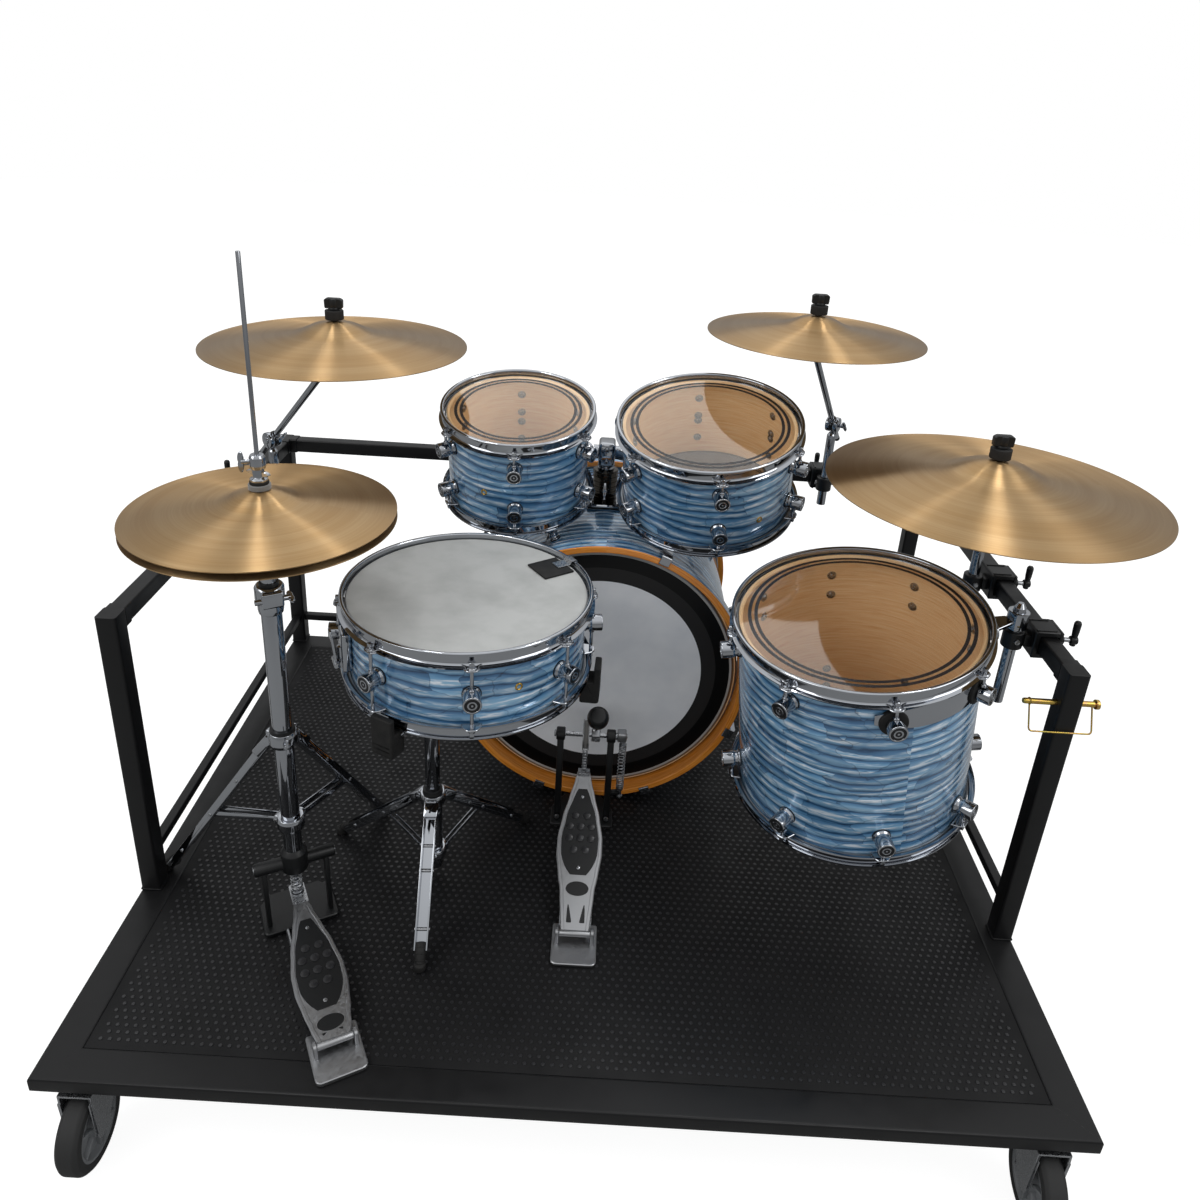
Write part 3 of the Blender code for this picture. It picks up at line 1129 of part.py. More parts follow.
def add_heel_plate(shapes, heel, base, frame):
    """A heel plate with two lugs that hold the footboard's hinge pin between them."""
    add_box(shapes, (heel - 0.034, -0.036, GAP), (heel + 0.045, 0.036, base), frame)
    for side in (-1, 1):
        ys = sorted((side * (HEEL_PIN_HALF + GAP), side * (HEEL_PIN_HALF + 0.0055)))
        add_box(shapes, (heel - 0.009, ys[0], base - BITE), (heel + 0.009, ys[1], 0.031), frame)


def coil(radius, bottom, height, turns):
    """Points up a coil about Z."""
    total = turns * COIL_POINTS
    return [(radius * math.cos(2 * math.pi * i / COIL_POINTS),
             radius * math.sin(2 * math.pi * i / COIL_POINTS),
             bottom + height * i / total) for i in range(total + 1)]


def lower_hihat_rim():
    return HIHAT_RIM_Z - HIHAT_OPENING


def build_hihat_cymbals():
    x, y = HIHAT_AT
    lower = []
    flip = Matrix.Translation((x, y, lower_hihat_rim())) @ Matrix.Rotation(math.pi, 4, "X")
    add_turned(lower, cymbal_outline(HIHAT_RADIUS), CYMBAL_SIDES, flip)
    finish(lower, "hihat_bottom_cymbal", BRONZE)
    upper = []
    add_turned(upper, cymbal_outline(HIHAT_RADIUS), CYMBAL_SIDES, Matrix.Translation((x, y, HIHAT_RIM_Z)))
    finish(upper, "hihat_top_cymbal", BRONZE)
    rod = []
    bell = HIHAT_RIM_Z + bell_height(HIHAT_RADIUS)

    def collar(low, high, radius):
        add_rod(rod, (x, y, low), (x, y, high), radius, TUBE_SIDES)

    collar(STRAP_Z - 0.012, HIHAT_ROD_TOP, HIHAT_ROD_RADIUS)
    collar(STRAP_Z - 0.0105, STRAP_Z - 0.0034, 0.008)
    collar(HIHAT_SPRING_BOTTOM - HIHAT_SPRING_WIRE - 0.004, HIHAT_SPRING_BOTTOM - HIHAT_SPRING_WIRE - GAP,
           0.0105)
    collar(bell + GAP, bell + FELT_HEIGHT, FELT_RADIUS)
    collar(bell + FELT_HEIGHT - BITE, bell + FELT_HEIGHT + 0.006, 0.012)
    collar(bell + FELT_HEIGHT, bell + 0.030, 0.0078)
    collar(bell + 0.029, bell + 0.049, 0.0105)
    under = bell - CYMBAL_THICKNESS - GAP
    collar(under - 0.005, bell + BITE, SLEEVE_RADIUS)
    collar(under - 0.006, under, 0.012)
    finish(rod, "hihat_rod", STEEL)


def build_hihat_footboard():
    toe = (0.030, HIHAT_TOE_Z)

    def strap(shapes):
        bridge = [(-0.014, -0.012), (-0.014, 0.012), (0.034, 0.012), (0.034, -0.012)]
        hole = []
        add_prism(shapes, bridge, STRAP_Z - 0.003, STRAP_Z)
        add_rod(hole, (0, 0, STRAP_Z - 0.02), (0, 0, STRAP_Z + 0.02), HIHAT_ROD_RADIUS + ROD_CLEARANCE, 10)
        return hole

    add_footboard("hihat_footboard", hihat_pedal_frame(), (HIHAT_PEDAL_LENGTH, HEEL_PIN_Z), toe, strap)


def add_footboard(name, frame, heel, toe, extras):
    """An egg-shaped footboard between its heel hinge and its toe, in a frame with X to the heel."""
    shapes = []
    run = Vector((heel[0] - toe[0], 0, heel[1] - toe[1]))
    length = run.length
    board = frame @ aimed((toe[0], 0, toe[1]), (-run.z, 0, run.x), run.normalized())
    widths = (FOOTBOARD_TOE, FOOTBOARD_NECK, FOOTBOARD_BALL, FOOTBOARD_WIDEST, FOOTBOARD_WAIST,
              (length, FOOTBOARD_HEEL_WIDTH))
    right = [(x, width / 2) for x, width in widths]
    left = [(x, -y) for x, y in reversed(right)]
    add_prism(shapes, right + left, -FOOTBOARD_THICKNESS / 2, FOOTBOARD_THICKNESS / 2, board)
    hinge = Vector((heel[0], 0, heel[1]))
    across = Vector((0, HEEL_PIN_HALF, 0))
    add_rod(shapes, hinge - across, hinge + across, 0.005, 10, frame=frame)
    local = []
    cutters = extras(local)
    for shape in (*local, *cutters):
        shape.transform(frame)
    finish(shapes + local, name, STEEL, pivot=frame @ hinge, cutters=cutters)


# Snare stand

def build_snare_stand():
    shapes = []
    x, y = SNARE_STAND_AT
    centre = Vector((x, y, 0))
    lower_top = SNARE_STAND_COLLAR_Z + 0.012
    add_rod(shapes, centre + Vector((0, 0, 0.020)), centre + Vector((0, 0, lower_top)),
            SNARE_STAND_LOWER_RADIUS, TUBE_SIDES)
    add_rod(shapes, centre + Vector((0, 0, lower_top - 0.004)), centre + Vector((0, 0, SNARE_STAND_TOP)),
            SNARE_STAND_UPPER_RADIUS, TUBE_SIDES)
    for z in (SNARE_STAND_COLLAR_Z, SNARE_STAND_BRACE_Z):
        add_rod(shapes, (x, y, z - 0.010), (x, y, z + 0.010), SNARE_STAND_LOWER_RADIUS + 0.006, TUBE_SIDES)
    for azimuth in SNARE_STAND_LEGS:
        out = polar(1.0, azimuth)
        collar = SNARE_STAND_LOWER_RADIUS + 0.002
        top = centre + out * collar + Vector((0, 0, SNARE_STAND_COLLAR_Z))
        foot = centre + out * SNARE_STAND_REACH
        add_leg(shapes, top, foot, SNARE_LEG_WIDTH, SNARE_LEG_THICKNESS)
        near = centre + out * collar + Vector((0, 0, SNARE_STAND_BRACE_Z))
        far = top.lerp(foot, 0.45) - Vector((0, 0, 0.004))
        across = polar(0.004, azimuth + 90)
        for side in (-1, 1):
            add_rod(shapes, near + across * side, far + across * side, 0.0022, 4)
    add_snare_basket(shapes, centre)
    finish(shapes, "snare_stand", CHROME)


def add_snare_basket(shapes, centre):
    """Three arms from the head block out to rubber grips that hold the snare's lower hoop."""
    hub = centre + Vector((0, 0, SNARE_STAND_TOP - BITE))
    add_box(shapes, hub + Vector((-0.020, -0.016, 0)), hub + Vector((0.030, 0.016, 0.030)), bevel=0.003)
    snare = Vector(SNARE_RIM)
    bottom = snare.z - drum_total(SNARE_LENGTH)
    arm_z = hub.z + 0.015
    core = Vector((snare.x, snare.y, arm_z))
    add_rod(shapes, Vector((hub.x + 0.029, hub.y, arm_z)), core, 0.008, TUBE_SIDES)
    add_rod(shapes, core - Vector((0, 0, 0.012)), core + Vector((0, 0, 0.012)), 0.016, TUBE_SIDES)
    reach = SNARE_RADIUS + HOOP_FLANGE + GAP
    low, high = arm_z - 0.014, bottom + 0.026
    wall = reach + 0.004
    outline = [(reach - 0.016, low), (wall + 0.010, low), (wall + 0.010, high), (wall, high),
               (wall, bottom - GAP), (reach - 0.010, bottom - GAP), (reach - 0.010, arm_z + 0.010),
               (reach - 0.016, arm_z + 0.010)]
    stand = Matrix.Rotation(math.pi / 2, 4, "X")
    for azimuth in SNARE_ARM_AZIMUTHS:
        out = polar(1.0, azimuth)
        add_rod(shapes, core, core + out * (reach - 0.013), SNARE_ARM_RADIUS, SMALL_SIDES)
        turn = Matrix.Translation((snare.x, snare.y, 0)) @ turned_to(azimuth)
        add_prism(shapes, outline, -SNARE_GRIP_WIDTH / 2, SNARE_GRIP_WIDTH / 2, turn @ stand)


# Bass drum pedal

def pedal_axes_frame():
    """X runs from under the shaft towards the heel, as a footboard's frame does."""
    return Matrix.Translation((PEDAL_X, 0, 0)) @ turned_to(-90)


def build_pedal():
    shapes = []
    base = PEDAL_BASE_THICKNESS
    spread = PEDAL_POST_SPREAD
    add_box(shapes, (PEDAL_X - spread - 0.012, PEDAL_POST_FOOT_Y - 0.022, GAP),
            (PEDAL_X + spread + 0.012, BASS_FACE_Y - CLAW_WALL - GAP, base))
    add_box(shapes, (PEDAL_X - 0.018, BASS_FACE_Y - 0.026, base - BITE),
            (PEDAL_X + 0.018, BASS_FACE_Y - GAP, base + 0.022))
    for side in (-1, 1):
        add_pedal_post(shapes, PEDAL_X + side * spread)
        x = PEDAL_X + side * 0.024
        add_rod(shapes, (x, PEDAL_POST_FOOT_Y - 0.018, 0.0045), (x, PEDAL_HEEL_Y + 0.030, 0.0045), 0.003, 6)
    add_heel_plate(shapes, -PEDAL_HEEL_Y, base, pedal_axes_frame())
    spring_x = PEDAL_X + spread + PEDAL_SPRING_OUT
    anchor = Vector((spring_x, PEDAL_SPRING_Y, PEDAL_SPRING_BOTTOM - GAP - PEDAL_SPRING_WIRE))
    add_rod(shapes, anchor, anchor - Vector((0, 0, 0.004)), PEDAL_SPRING_RADIUS + PEDAL_SPRING_WIRE, 8)
    add_rod(shapes, anchor, anchor - Vector((0, 0, 0.024)), 0.0042, 8)
    arm_z = anchor.z - 0.014
    post_y = PEDAL_POST_FOOT_Y * (1 - arm_z / PEDAL_SHAFT_Z)
    add_bar(shapes, (PEDAL_X + spread, post_y, arm_z), (spring_x, PEDAL_SPRING_Y, arm_z), 0.010, 0.008)
    finish(shapes, "pedal_frame", BLACK_PLASTIC)
    height = PEDAL_SPRING_TOP - PEDAL_SPRING_BOTTOM
    spring = []
    points = coil(PEDAL_SPRING_RADIUS, PEDAL_SPRING_BOTTOM, height, PEDAL_SPRING_TURNS)
    print("pedal_spring least gap %.4f m" % (height / PEDAL_SPRING_TURNS - 2 * PEDAL_SPRING_WIRE))
    add_wire(spring, points, PEDAL_SPRING_WIRE, Matrix.Translation((spring_x, PEDAL_SPRING_Y, 0)))
    finish(spring, "pedal_spring", STEEL, pivot=(spring_x, PEDAL_SPRING_Y, PEDAL_SPRING_BOTTOM))


def add_pedal_post(shapes, x):
    """An upright whose head is an eye round the shaft."""
    bore = PEDAL_SHAFT_RADIUS + GAP
    eye = 0.012
    half = PEDAL_POST_WIDTH / 2
    shaft = Vector((x, PEDAL_SHAFT_Y, PEDAL_SHAFT_Z))
    foot = Vector((x, PEDAL_POST_FOOT_Y, PEDAL_BASE_THICKNESS - BITE))
    way = (shaft - foot).normalized()
    add_bar(shapes, foot, shaft - way * (eye - 0.003), PEDAL_POST_WIDTH * 0.9, PEDAL_POST_WIDTH * 0.75,
            side=(1, 0, 0))
    add_turned(shapes, [(bore, -half), (eye, -half), (eye, half), (bore, half)], 12, aimed(shaft, (1, 0, 0)))


def build_pedal_footboard():
    toe = (-PEDAL_TOE_Y, PEDAL_TOE_Z)

    def chain(shapes):
        low = PEDAL_TOE_Z - 0.002
        high = PEDAL_SHAFT_Z - 0.004
        pitch = (high - low) / CHAIN_LINKS
        for i in range(CHAIN_LINKS):
            half = CHAIN_LINK_WIDTHS[i % 2] / 2
            add_box(shapes, (CHAIN_OUT - CHAIN_THICKNESS / 2, -half, low + i * pitch - BITE / 2),
                    (CHAIN_OUT + CHAIN_THICKNESS / 2, half, low + (i + 1) * pitch))
        add_box(shapes, (CHAIN_OUT - 0.008, -0.011, PEDAL_TOE_Z - 0.002),
                (CHAIN_OUT + 0.010, 0.011, PEDAL_TOE_Z + 0.006))
        return []

    add_footboard("pedal_footboard", pedal_axes_frame(), (-PEDAL_HEEL_Y, HEEL_PIN_Z), toe, chain)


def build_beater():
    """Shaft, cam, hub, beater and the spring's rocker arm, which all turn together."""
    shapes = []
    axis = Vector((PEDAL_X, PEDAL_SHAFT_Y, PEDAL_SHAFT_Z))
    reach = Vector((PEDAL_POST_SPREAD + PEDAL_POST_WIDTH / 2 + 0.004, 0, 0))
    add_rod(shapes, axis - reach, axis + reach, PEDAL_SHAFT_RADIUS, 8)
    side = Vector((0.006, 0, 0))
    add_rod(shapes, axis - side, axis + side, CAM_RADIUS, 16)
    hub = axis + Vector((0.018, 0, 0))
    add_rod(shapes, hub - side * 1.3, hub + side * 1.3, 0.012, 12)
    lean = math.radians(BEATER_LEAN)
    out = Vector((0, -math.sin(lean), math.cos(lean)))
    end = hub + out * (BEATER_LENGTH - BEATER_HEIGHT / 2)
    add_rod(shapes, hub, end + out * BITE, 0.0032, 8)
    h = BEATER_HEIGHT
    add_turned(shapes, [(0, 0), (BEATER_RADIUS * 0.72, 0.001), (BEATER_RADIUS, h * 0.35),
                        (BEATER_RADIUS, h * 0.65), (BEATER_RADIUS * 0.8, h - 0.003), (0, h)], 12,
               aimed(end, out, (0, 1, 0)))
    arm = Vector((PEDAL_POST_SPREAD + PEDAL_SPRING_OUT + 0.006, 0, 0))
    add_box(shapes, axis + reach + Vector((-BITE, -0.010, -0.007)), axis + arm + Vector((0, 0.010, 0.011)))
    hook = Vector((PEDAL_X + PEDAL_POST_SPREAD + PEDAL_SPRING_OUT, PEDAL_SPRING_Y, 0))
    seat = PEDAL_SPRING_TOP + PEDAL_SPRING_WIRE + GAP
    add_rod(shapes, hook + Vector((0, 0, PEDAL_SHAFT_Z - 0.005)), hook + Vector((0, 0, seat)), 0.003, 6)
    add_rod(shapes, hook + Vector((0, 0, seat + 0.003)), hook + Vector((0, 0, seat)),
            PEDAL_SPRING_RADIUS + PEDAL_SPRING_WIRE, 8)
    finish(shapes, "pedal_beater", STEEL, pivot=axis)


def main():
    for item in list(bpy.data.objects):
        bpy.data.objects.remove(item)
    build_deck_frame()
    build_deck_panel()
    build_rack_frame()
    build_top_rails()
    build_hitch_pin()
    build_casters()
    build_bass_drum()
    build_tom_mount()
    build_toms()
    build_floor_tom()
    build_snare()
    build_snare_stand()
    build_rail_clamps()
    build_boom_cymbals()
    build_hihat_stand()
    build_hihat_cymbals()
    build_hihat_footboard()
    build_pedal()
    build_pedal_footboard()
    build_beater()


main()
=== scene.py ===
"""Looks of the drum set cart: a square-tube rack on casters that carries a five-drum set.

Metres, +Z up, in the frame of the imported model: the origin is on the floor under the deck's
middle, the drummer sits on the -Y side, and +X is at the drummer's right hand.
"""
import json
import math

import bmesh
import bpy
from mathutils import Matrix, Vector

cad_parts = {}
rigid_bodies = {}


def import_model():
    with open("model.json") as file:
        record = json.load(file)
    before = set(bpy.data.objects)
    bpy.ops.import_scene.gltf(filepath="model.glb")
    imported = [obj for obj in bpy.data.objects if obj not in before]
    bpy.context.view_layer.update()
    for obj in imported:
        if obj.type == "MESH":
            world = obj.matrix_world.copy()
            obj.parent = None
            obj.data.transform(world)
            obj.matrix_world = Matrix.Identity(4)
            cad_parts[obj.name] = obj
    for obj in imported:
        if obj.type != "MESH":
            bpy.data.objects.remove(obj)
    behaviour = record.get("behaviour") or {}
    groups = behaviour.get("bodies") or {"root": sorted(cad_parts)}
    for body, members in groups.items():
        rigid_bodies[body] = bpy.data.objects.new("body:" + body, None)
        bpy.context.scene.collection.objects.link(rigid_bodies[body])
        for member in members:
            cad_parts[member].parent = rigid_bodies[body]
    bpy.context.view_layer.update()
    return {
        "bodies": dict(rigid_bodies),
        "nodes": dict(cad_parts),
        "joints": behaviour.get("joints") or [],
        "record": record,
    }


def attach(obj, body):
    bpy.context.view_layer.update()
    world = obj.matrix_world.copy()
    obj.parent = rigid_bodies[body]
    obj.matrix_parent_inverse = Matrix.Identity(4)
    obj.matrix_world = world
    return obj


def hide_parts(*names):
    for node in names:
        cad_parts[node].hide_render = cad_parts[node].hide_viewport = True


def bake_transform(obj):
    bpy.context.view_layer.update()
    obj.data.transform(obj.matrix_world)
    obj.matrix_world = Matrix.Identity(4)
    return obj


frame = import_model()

MM = 0.001
INCH = 0.0254
NODES = frame["nodes"]
LIFT = Matrix.Translation((0, 0, 0.1807))   # the deck's top face above the floor


# Helpers for materials

def linear(code, alpha=1.0):
    """An sRGB hex colour as linear values."""
    parts = [int(code[i:i + 2], 16) / 255 for i in (0, 2, 4)]
    return (*[p / 12.92 if p <= 0.04045 else ((p + 0.055) / 1.055) ** 2.4 for p in parts], alpha)


def add(tree, kind, links=None, **settings):
    """A shader node with its settings, and its inputs linked or set."""
    made = tree.nodes.new(kind)
    for name, value in settings.items():
        setattr(made, name, value)
    for key, value in (links or {}).items():
        socket = made.inputs[key]
        if isinstance(value, bpy.types.NodeSocket):
            tree.links.new(value, socket)
        else:
            socket.default_value = value
    return made


def sum_of(tree, a, b, c=0.0):
    """a times b plus c."""
    return add(tree, "ShaderNodeMath", {0: a, 1: b, 2: c}, operation="MULTIPLY_ADD").outputs[0]


def ramp(tree, factor, stops, interpolation="LINEAR"):
    """A colour ramp over (position, hex) stops."""
    made = add(tree, "ShaderNodeValToRGB", {"Fac": factor})
    made.color_ramp.interpolation = interpolation
    elements = made.color_ramp.elements
    while len(elements) < len(stops):
        elements.new(0.5)
    for element, (place, code) in zip(elements, stops):
        element.position = place
        element.color = linear(code)
    return made.outputs["Color"]


def finish_of(name, code, roughness, metallic=0.0, **more):
    """A material with one Principled shader; more sets its other constant sockets."""
    made = bpy.data.materials.new(name)
    made.use_nodes = True
    tree = made.node_tree
    shader = tree.nodes["Principled BSDF"]
    shader.inputs["Base Color"].default_value = linear(code)
    shader.inputs["Roughness"].default_value = roughness
    shader.inputs["Metallic"].default_value = metallic
    for key, value in more.items():
        shader.inputs[key.replace("_", " ")].default_value = value
    return made, tree, shader


def placed(tree, stretch=(1, 1, 1), wrap=False):
    """Object coordinates, or a piece's own wrap coordinates in metres, stretched."""
    if wrap:
        place = add(tree, "ShaderNodeUVMap", uv_map="wrap").outputs[0]
    else:
        place = add(tree, "ShaderNodeTexCoord").outputs["Object"]
    if stretch != (1, 1, 1):
        place = add(tree, "ShaderNodeMapping", {"Vector": place, "Scale": stretch}).outputs["Vector"]
    return place


def grain(tree, size_mm, detail=3.0, stretch=(1, 1, 1), rough=0.5, wrap=False, bent=0.0):
    """Noise whose lumps are about size_mm across."""
    return add(tree, "ShaderNodeTexNoise", {"Vector": placed(tree, stretch, wrap), "Detail": detail,
                                            "Scale": 1 / (size_mm * MM), "Roughness": rough,
                                            "Distortion": bent}).outputs["Fac"]


def spread(tree, factor, low, high):
    """A factor of about 0.3 to 0.7 mapped to the span low to high."""
    return add(tree, "ShaderNodeMapRange", {"Value": factor, "From Min": 0.3, "From Max": 0.7,
                                            "To Min": low, "To Max": high}).outputs["Result"]


def mixed(tree, factor, a, b, blend="MIX"):
    """Two colours mixed; each is a hex code or a socket."""
    made = add(tree, "ShaderNodeMix", {0: factor}, data_type="RGBA", blend_type=blend)
    for key, value in ((6, a), (7, b)):
        if isinstance(value, str):
            made.inputs[key].default_value = linear(value)
        else:
            tree.links.new(value, made.inputs[key])
    return made.outputs[2]


def relief(tree, shader, height, depth_mm, strength=1.0):
    """Bump of a real depth on a shader."""
    bump = add(tree, "ShaderNodeBump", {"Height": height, "Distance": depth_mm * MM, "Strength": strength})
    tree.links.new(bump.outputs["Normal"], shader.inputs["Normal"])


# Finishes

def powder_coat():
    """Satin black powder coat on steel tube: fine orange peel that breaks up its soft sheen."""
    made, tree, shader = finish_of("satin_black_powder_coat", "0e0e0f", 0.40, Specular_IOR_Level=0.3)
    tree.links.new(spread(tree, grain(tree, 40.0), 0.33, 0.47), shader.inputs["Roughness"])
    relief(tree, shader, grain(tree, 1.6, 2.0), 0.04)
    return made


def chrome_plate():
    """Chrome plate on steel and die castings: near mirror, with faint handling marks."""
    made, tree, shader = finish_of("chrome_plate", "a9acb1", 0.06, 1.0)
    tree.links.new(spread(tree, grain(tree, 12.0, 4.0), 0.02, 0.08), shader.inputs["Roughness"])
    return made


def bare_steel():
    """Drawn or turned bright steel: a little duller than chrome."""
    made, tree, shader = finish_of("bright_steel", "a9abae", 0.28, 1.0)
    tree.links.new(spread(tree, grain(tree, 3.0, 4.0), 0.22, 0.38), shader.inputs["Roughness"])
    return made


def cast_alloy():
    """Cast and tumbled aluminium of the footboards: satin silver with a soft grain."""
    made, tree, shader = finish_of("cast_aluminium", "a6a7a9", 0.36, 1.0)
    tree.links.new(spread(tree, grain(tree, 5.0, 4.0), 0.30, 0.45), shader.inputs["Roughness"])
    relief(tree, shader, grain(tree, 1.2, 3.0), 0.03)
    return made


def brass():
    """Polished brass of vent grommets and beater screws."""
    return finish_of("polished_brass", "c8a24e", 0.2, 1.0)[0]


def yellow_zinc():
    """Steel wire and pin in yellow chromate over zinc: gold with faint pink and green casts."""
    made, tree, shader = finish_of("yellow_chromate_zinc", "c9a94e", 0.25, 1.0)
    tint = ramp(tree, grain(tree, 9.0), [(0.35, "b8a95a"), (0.5, "cfae55"), (0.65, "c99f6a")])
    tree.links.new(tint, shader.inputs["Base Color"])
    return made


def moulded_black():
    """Black nylon and ABS fittings, moulded with a fine matt grain."""
    made, tree, shader = finish_of("moulded_black_nylon", "0f1011", 0.40, Specular_IOR_Level=0.4)
    relief(tree, shader, grain(tree, 1.0, 2.0), 0.03)
    return made


def black_rubber():
    """Black rubber feet, grips and gaskets: matt, with a dusty bloom."""
    made, tree, shader = finish_of("black_rubber", "161616", 0.7, Specular_IOR_Level=0.35)
    tint = ramp(tree, grain(tree, 15.0, 4.0), [(0.35, "111111"), (0.7, "1e1d1c")])
    tree.links.new(tint, shader.inputs["Base Color"])
    return made


def felt():
    """Pressed wool felt of the cymbal washers."""
    made, tree, shader = finish_of("grey_wool_felt", "6d6b68", 0.95, Sheen_Weight=0.4)
    relief(tree, shader, grain(tree, 0.8, 3.0), 0.2)
    return made


def stud_rubber():
    """Black rubber flooring between its studs: matt, with dust that lies in broad patches. It is darker than its studs,
    which are the same rubber made lighter as a painted highlight.
    """
    made, tree, shader = finish_of("rubber_flooring", "0c0c0d", 0.6, Specular_IOR_Level=0.2)
    tint = ramp(tree, grain(tree, 130.0, 4.0), [(0.35, "09090a"), (0.7, "111112")])
    tree.links.new(tint, shader.inputs["Base Color"])
    tree.links.new(spread(tree, grain(tree, 60.0, 4.0), 0.45, 0.65), shader.inputs["Roughness"])
    relief(tree, shader, grain(tree, 2.0, 2.0), 0.05)
    return made


def lathed_bronze():
    """Cast bronze turned on a lathe: fine tone grooves that smear highlights into wedges."""
    made, tree, shader = finish_of("lathed_bronze", "b3956d", 0.34, 1.0, Anisotropic=1.0,
                                   Anisotropic_Rotation=0.25)
    along = add(tree, "ShaderNodeTangent", direction_type="UV_MAP", uv_map="wrap").outputs[0]
    tree.links.new(along, shader.inputs["Tangent"])
    rings = grain(tree, 1.0, 4.0, (0.003, 0.30, 1), 0.7, wrap=True)
    bands = grain(tree, 1.0, 2.0, (0.002, 0.045, 1), 0.5, wrap=True)
    tint = ramp(tree, rings, [(0.30, "b09168"), (0.5, "b6986f"), (0.72, "bea17a")])
    wide = ramp(tree, bands, [(0.35, "f2ece2"), (0.65, "ffffff")])
    tree.links.new(mixed(tree, 1.0, tint, wide, "MULTIPLY"), shader.inputs["Base Color"])
    tree.links.new(spread(tree, rings, 0.31, 0.37), shader.inputs["Roughness"])
    fine = grain(tree, 1.0, 3.0, (0.003, 1.1, 1), 0.6, wrap=True)
    relief(tree, shader, fine, 0.02, 0.2)
    return made


def pearl_wrap():
    """Blue oyster pearl celluloid: wavy rows of nacre 14 mm high with a dark valley between them and silky crests,
    slipped against each other at slant cuts, under a gloss coat. The white of the crests, in broad patches, is partly
    the nacre's own colour and partly a painted highlight."""
    made, tree, shader = finish_of("blue_oyster_pearl", "6f95b3", 0.27, 0.25, Coat_Weight=1.0,
                                   Coat_Roughness=0.05)
    place = placed(tree, wrap=True)
    slant = add(tree, "ShaderNodeMapping", {"Vector": place, "Scale": (15.0, 30.0, 1), "Rotation": (0, 0, 0.75)})
    bent = add(tree, "ShaderNodeVectorMath", {0: slant.outputs[0], 1: grain(tree, 35.0, 2.0, wrap=True)},
               operation="ADD").outputs[0]
    cells = {key: add(tree, "ShaderNodeTexVoronoi", {"Vector": bent, "Scale": 1.0, "Randomness": 0.9},
                      voronoi_dimensions="2D", feature=key).outputs[out]
             for key, out in (("F1", "Color"), ("DISTANCE_TO_EDGE", "Distance"))}
    height = add(tree, "ShaderNodeSeparateXYZ", {0: place}).outputs["Y"]
    row = sum_of(tree, height, 1 / (16.0 * MM))
    for swing in (spread(tree, grain(tree, 90.0, 2.0, (0.4, 1.0, 1), wrap=True), -0.6, 0.6),
                  spread(tree, grain(tree, 10.0, 2.0, (0.22, 1.0, 1), wrap=True), -0.10, 0.10)):
        row = sum_of(tree, row, 1.0, swing)
    row = sum_of(tree, cells["F1"], 0.24, row)
    phase = add(tree, "ShaderNodeMath", {0: row}, operation="FRACT").outputs[0]
    body = ramp(tree, phase, [(0.0, "1a3f63"), (0.05, "3d709c"), (0.26, "6398c2"), (0.50, "84b4d6"),
                              (0.66, "a3cbe5"), (0.88, "669ac1"), (0.97, "244b6e")], "B_SPLINE")
    # Crest, silk and sheen together paint white streaks: partly the nacre's own pattern, partly a painted highlight
    # along each row's crest.
    crest_painted_highlight = ramp(tree, phase, [(0.26, "000000"), (0.44, "ffffff"), (0.72, "ffffff"), (0.86, "000000")])
    silk = ramp(tree, grain(tree, 4.6, 3.0, (0.10, 1.0, 1), 0.6, True, 0.5), [(0.46, "000000"), (0.58, "ffffff")])
    sheen = ramp(tree, grain(tree, 26.0, 2.0, (0.6, 1.0, 1), 0.5, True), [(0.36, "606060"), (0.54, "ffffff")])
    bright = mixed(tree, 1.0, mixed(tree, 1.0, crest_painted_highlight, silk, "MULTIPLY"), sheen, "MULTIPLY")
    body = mixed(tree, bright, body, "f1f8ff")
    shade = ramp(tree, cells["F1"], [(0.2, "bccad4"), (0.7, "ffffff")])
    body = mixed(tree, 1.0, body, shade, "MULTIPLY")
    cut = ramp(tree, cells["DISTANCE_TO_EDGE"], [(0.0, "55697a"), (0.022, "ffffff")])
    tree.links.new(mixed(tree, 0.7, body, cut, "MULTIPLY"), shader.inputs["Base Color"])
    hump = ramp(tree, phase, [(0.0, "000000"), (0.55, "ffffff"), (1.0, "000000")], "EASE")
    relief(tree, shader, hump, 0.7)
    return made


def bare_maple():
    """Clear-lacquered maple inside a shell, its grain running round."""
    made, tree, shader = finish_of("maple_inside_shell", "f6cf9c", 0.45)
    figure = grain(tree, 3.0, 4.0, (0.05, 1.0, 1), 0.6, True, 0.4)
    tint = ramp(tree, figure, [(0.30, "eab982"), (0.5, "f6cf9c"), (0.70, "fbdcb0")])
    tree.links.new(tint, shader.inputs["Base Color"])
    return made


def amber_lacquer():
    """Bass drum hoops in amber stain under gloss lacquer: fine long grain round the hoop."""
    made, tree, shader = finish_of("amber_lacquered_maple", "d98230", 0.22, Coat_Weight=0.6)
    figure = grain(tree, 2.2, 4.0, (0.03, 1.0, 1), 0.65, True, 0.5)
    tint = ramp(tree, figure, [(0.30, "c2701f"), (0.48, "db862c"), (0.72, "eda24c")])
    tree.links.new(tint, shader.inputs["Base Color"])
    return made


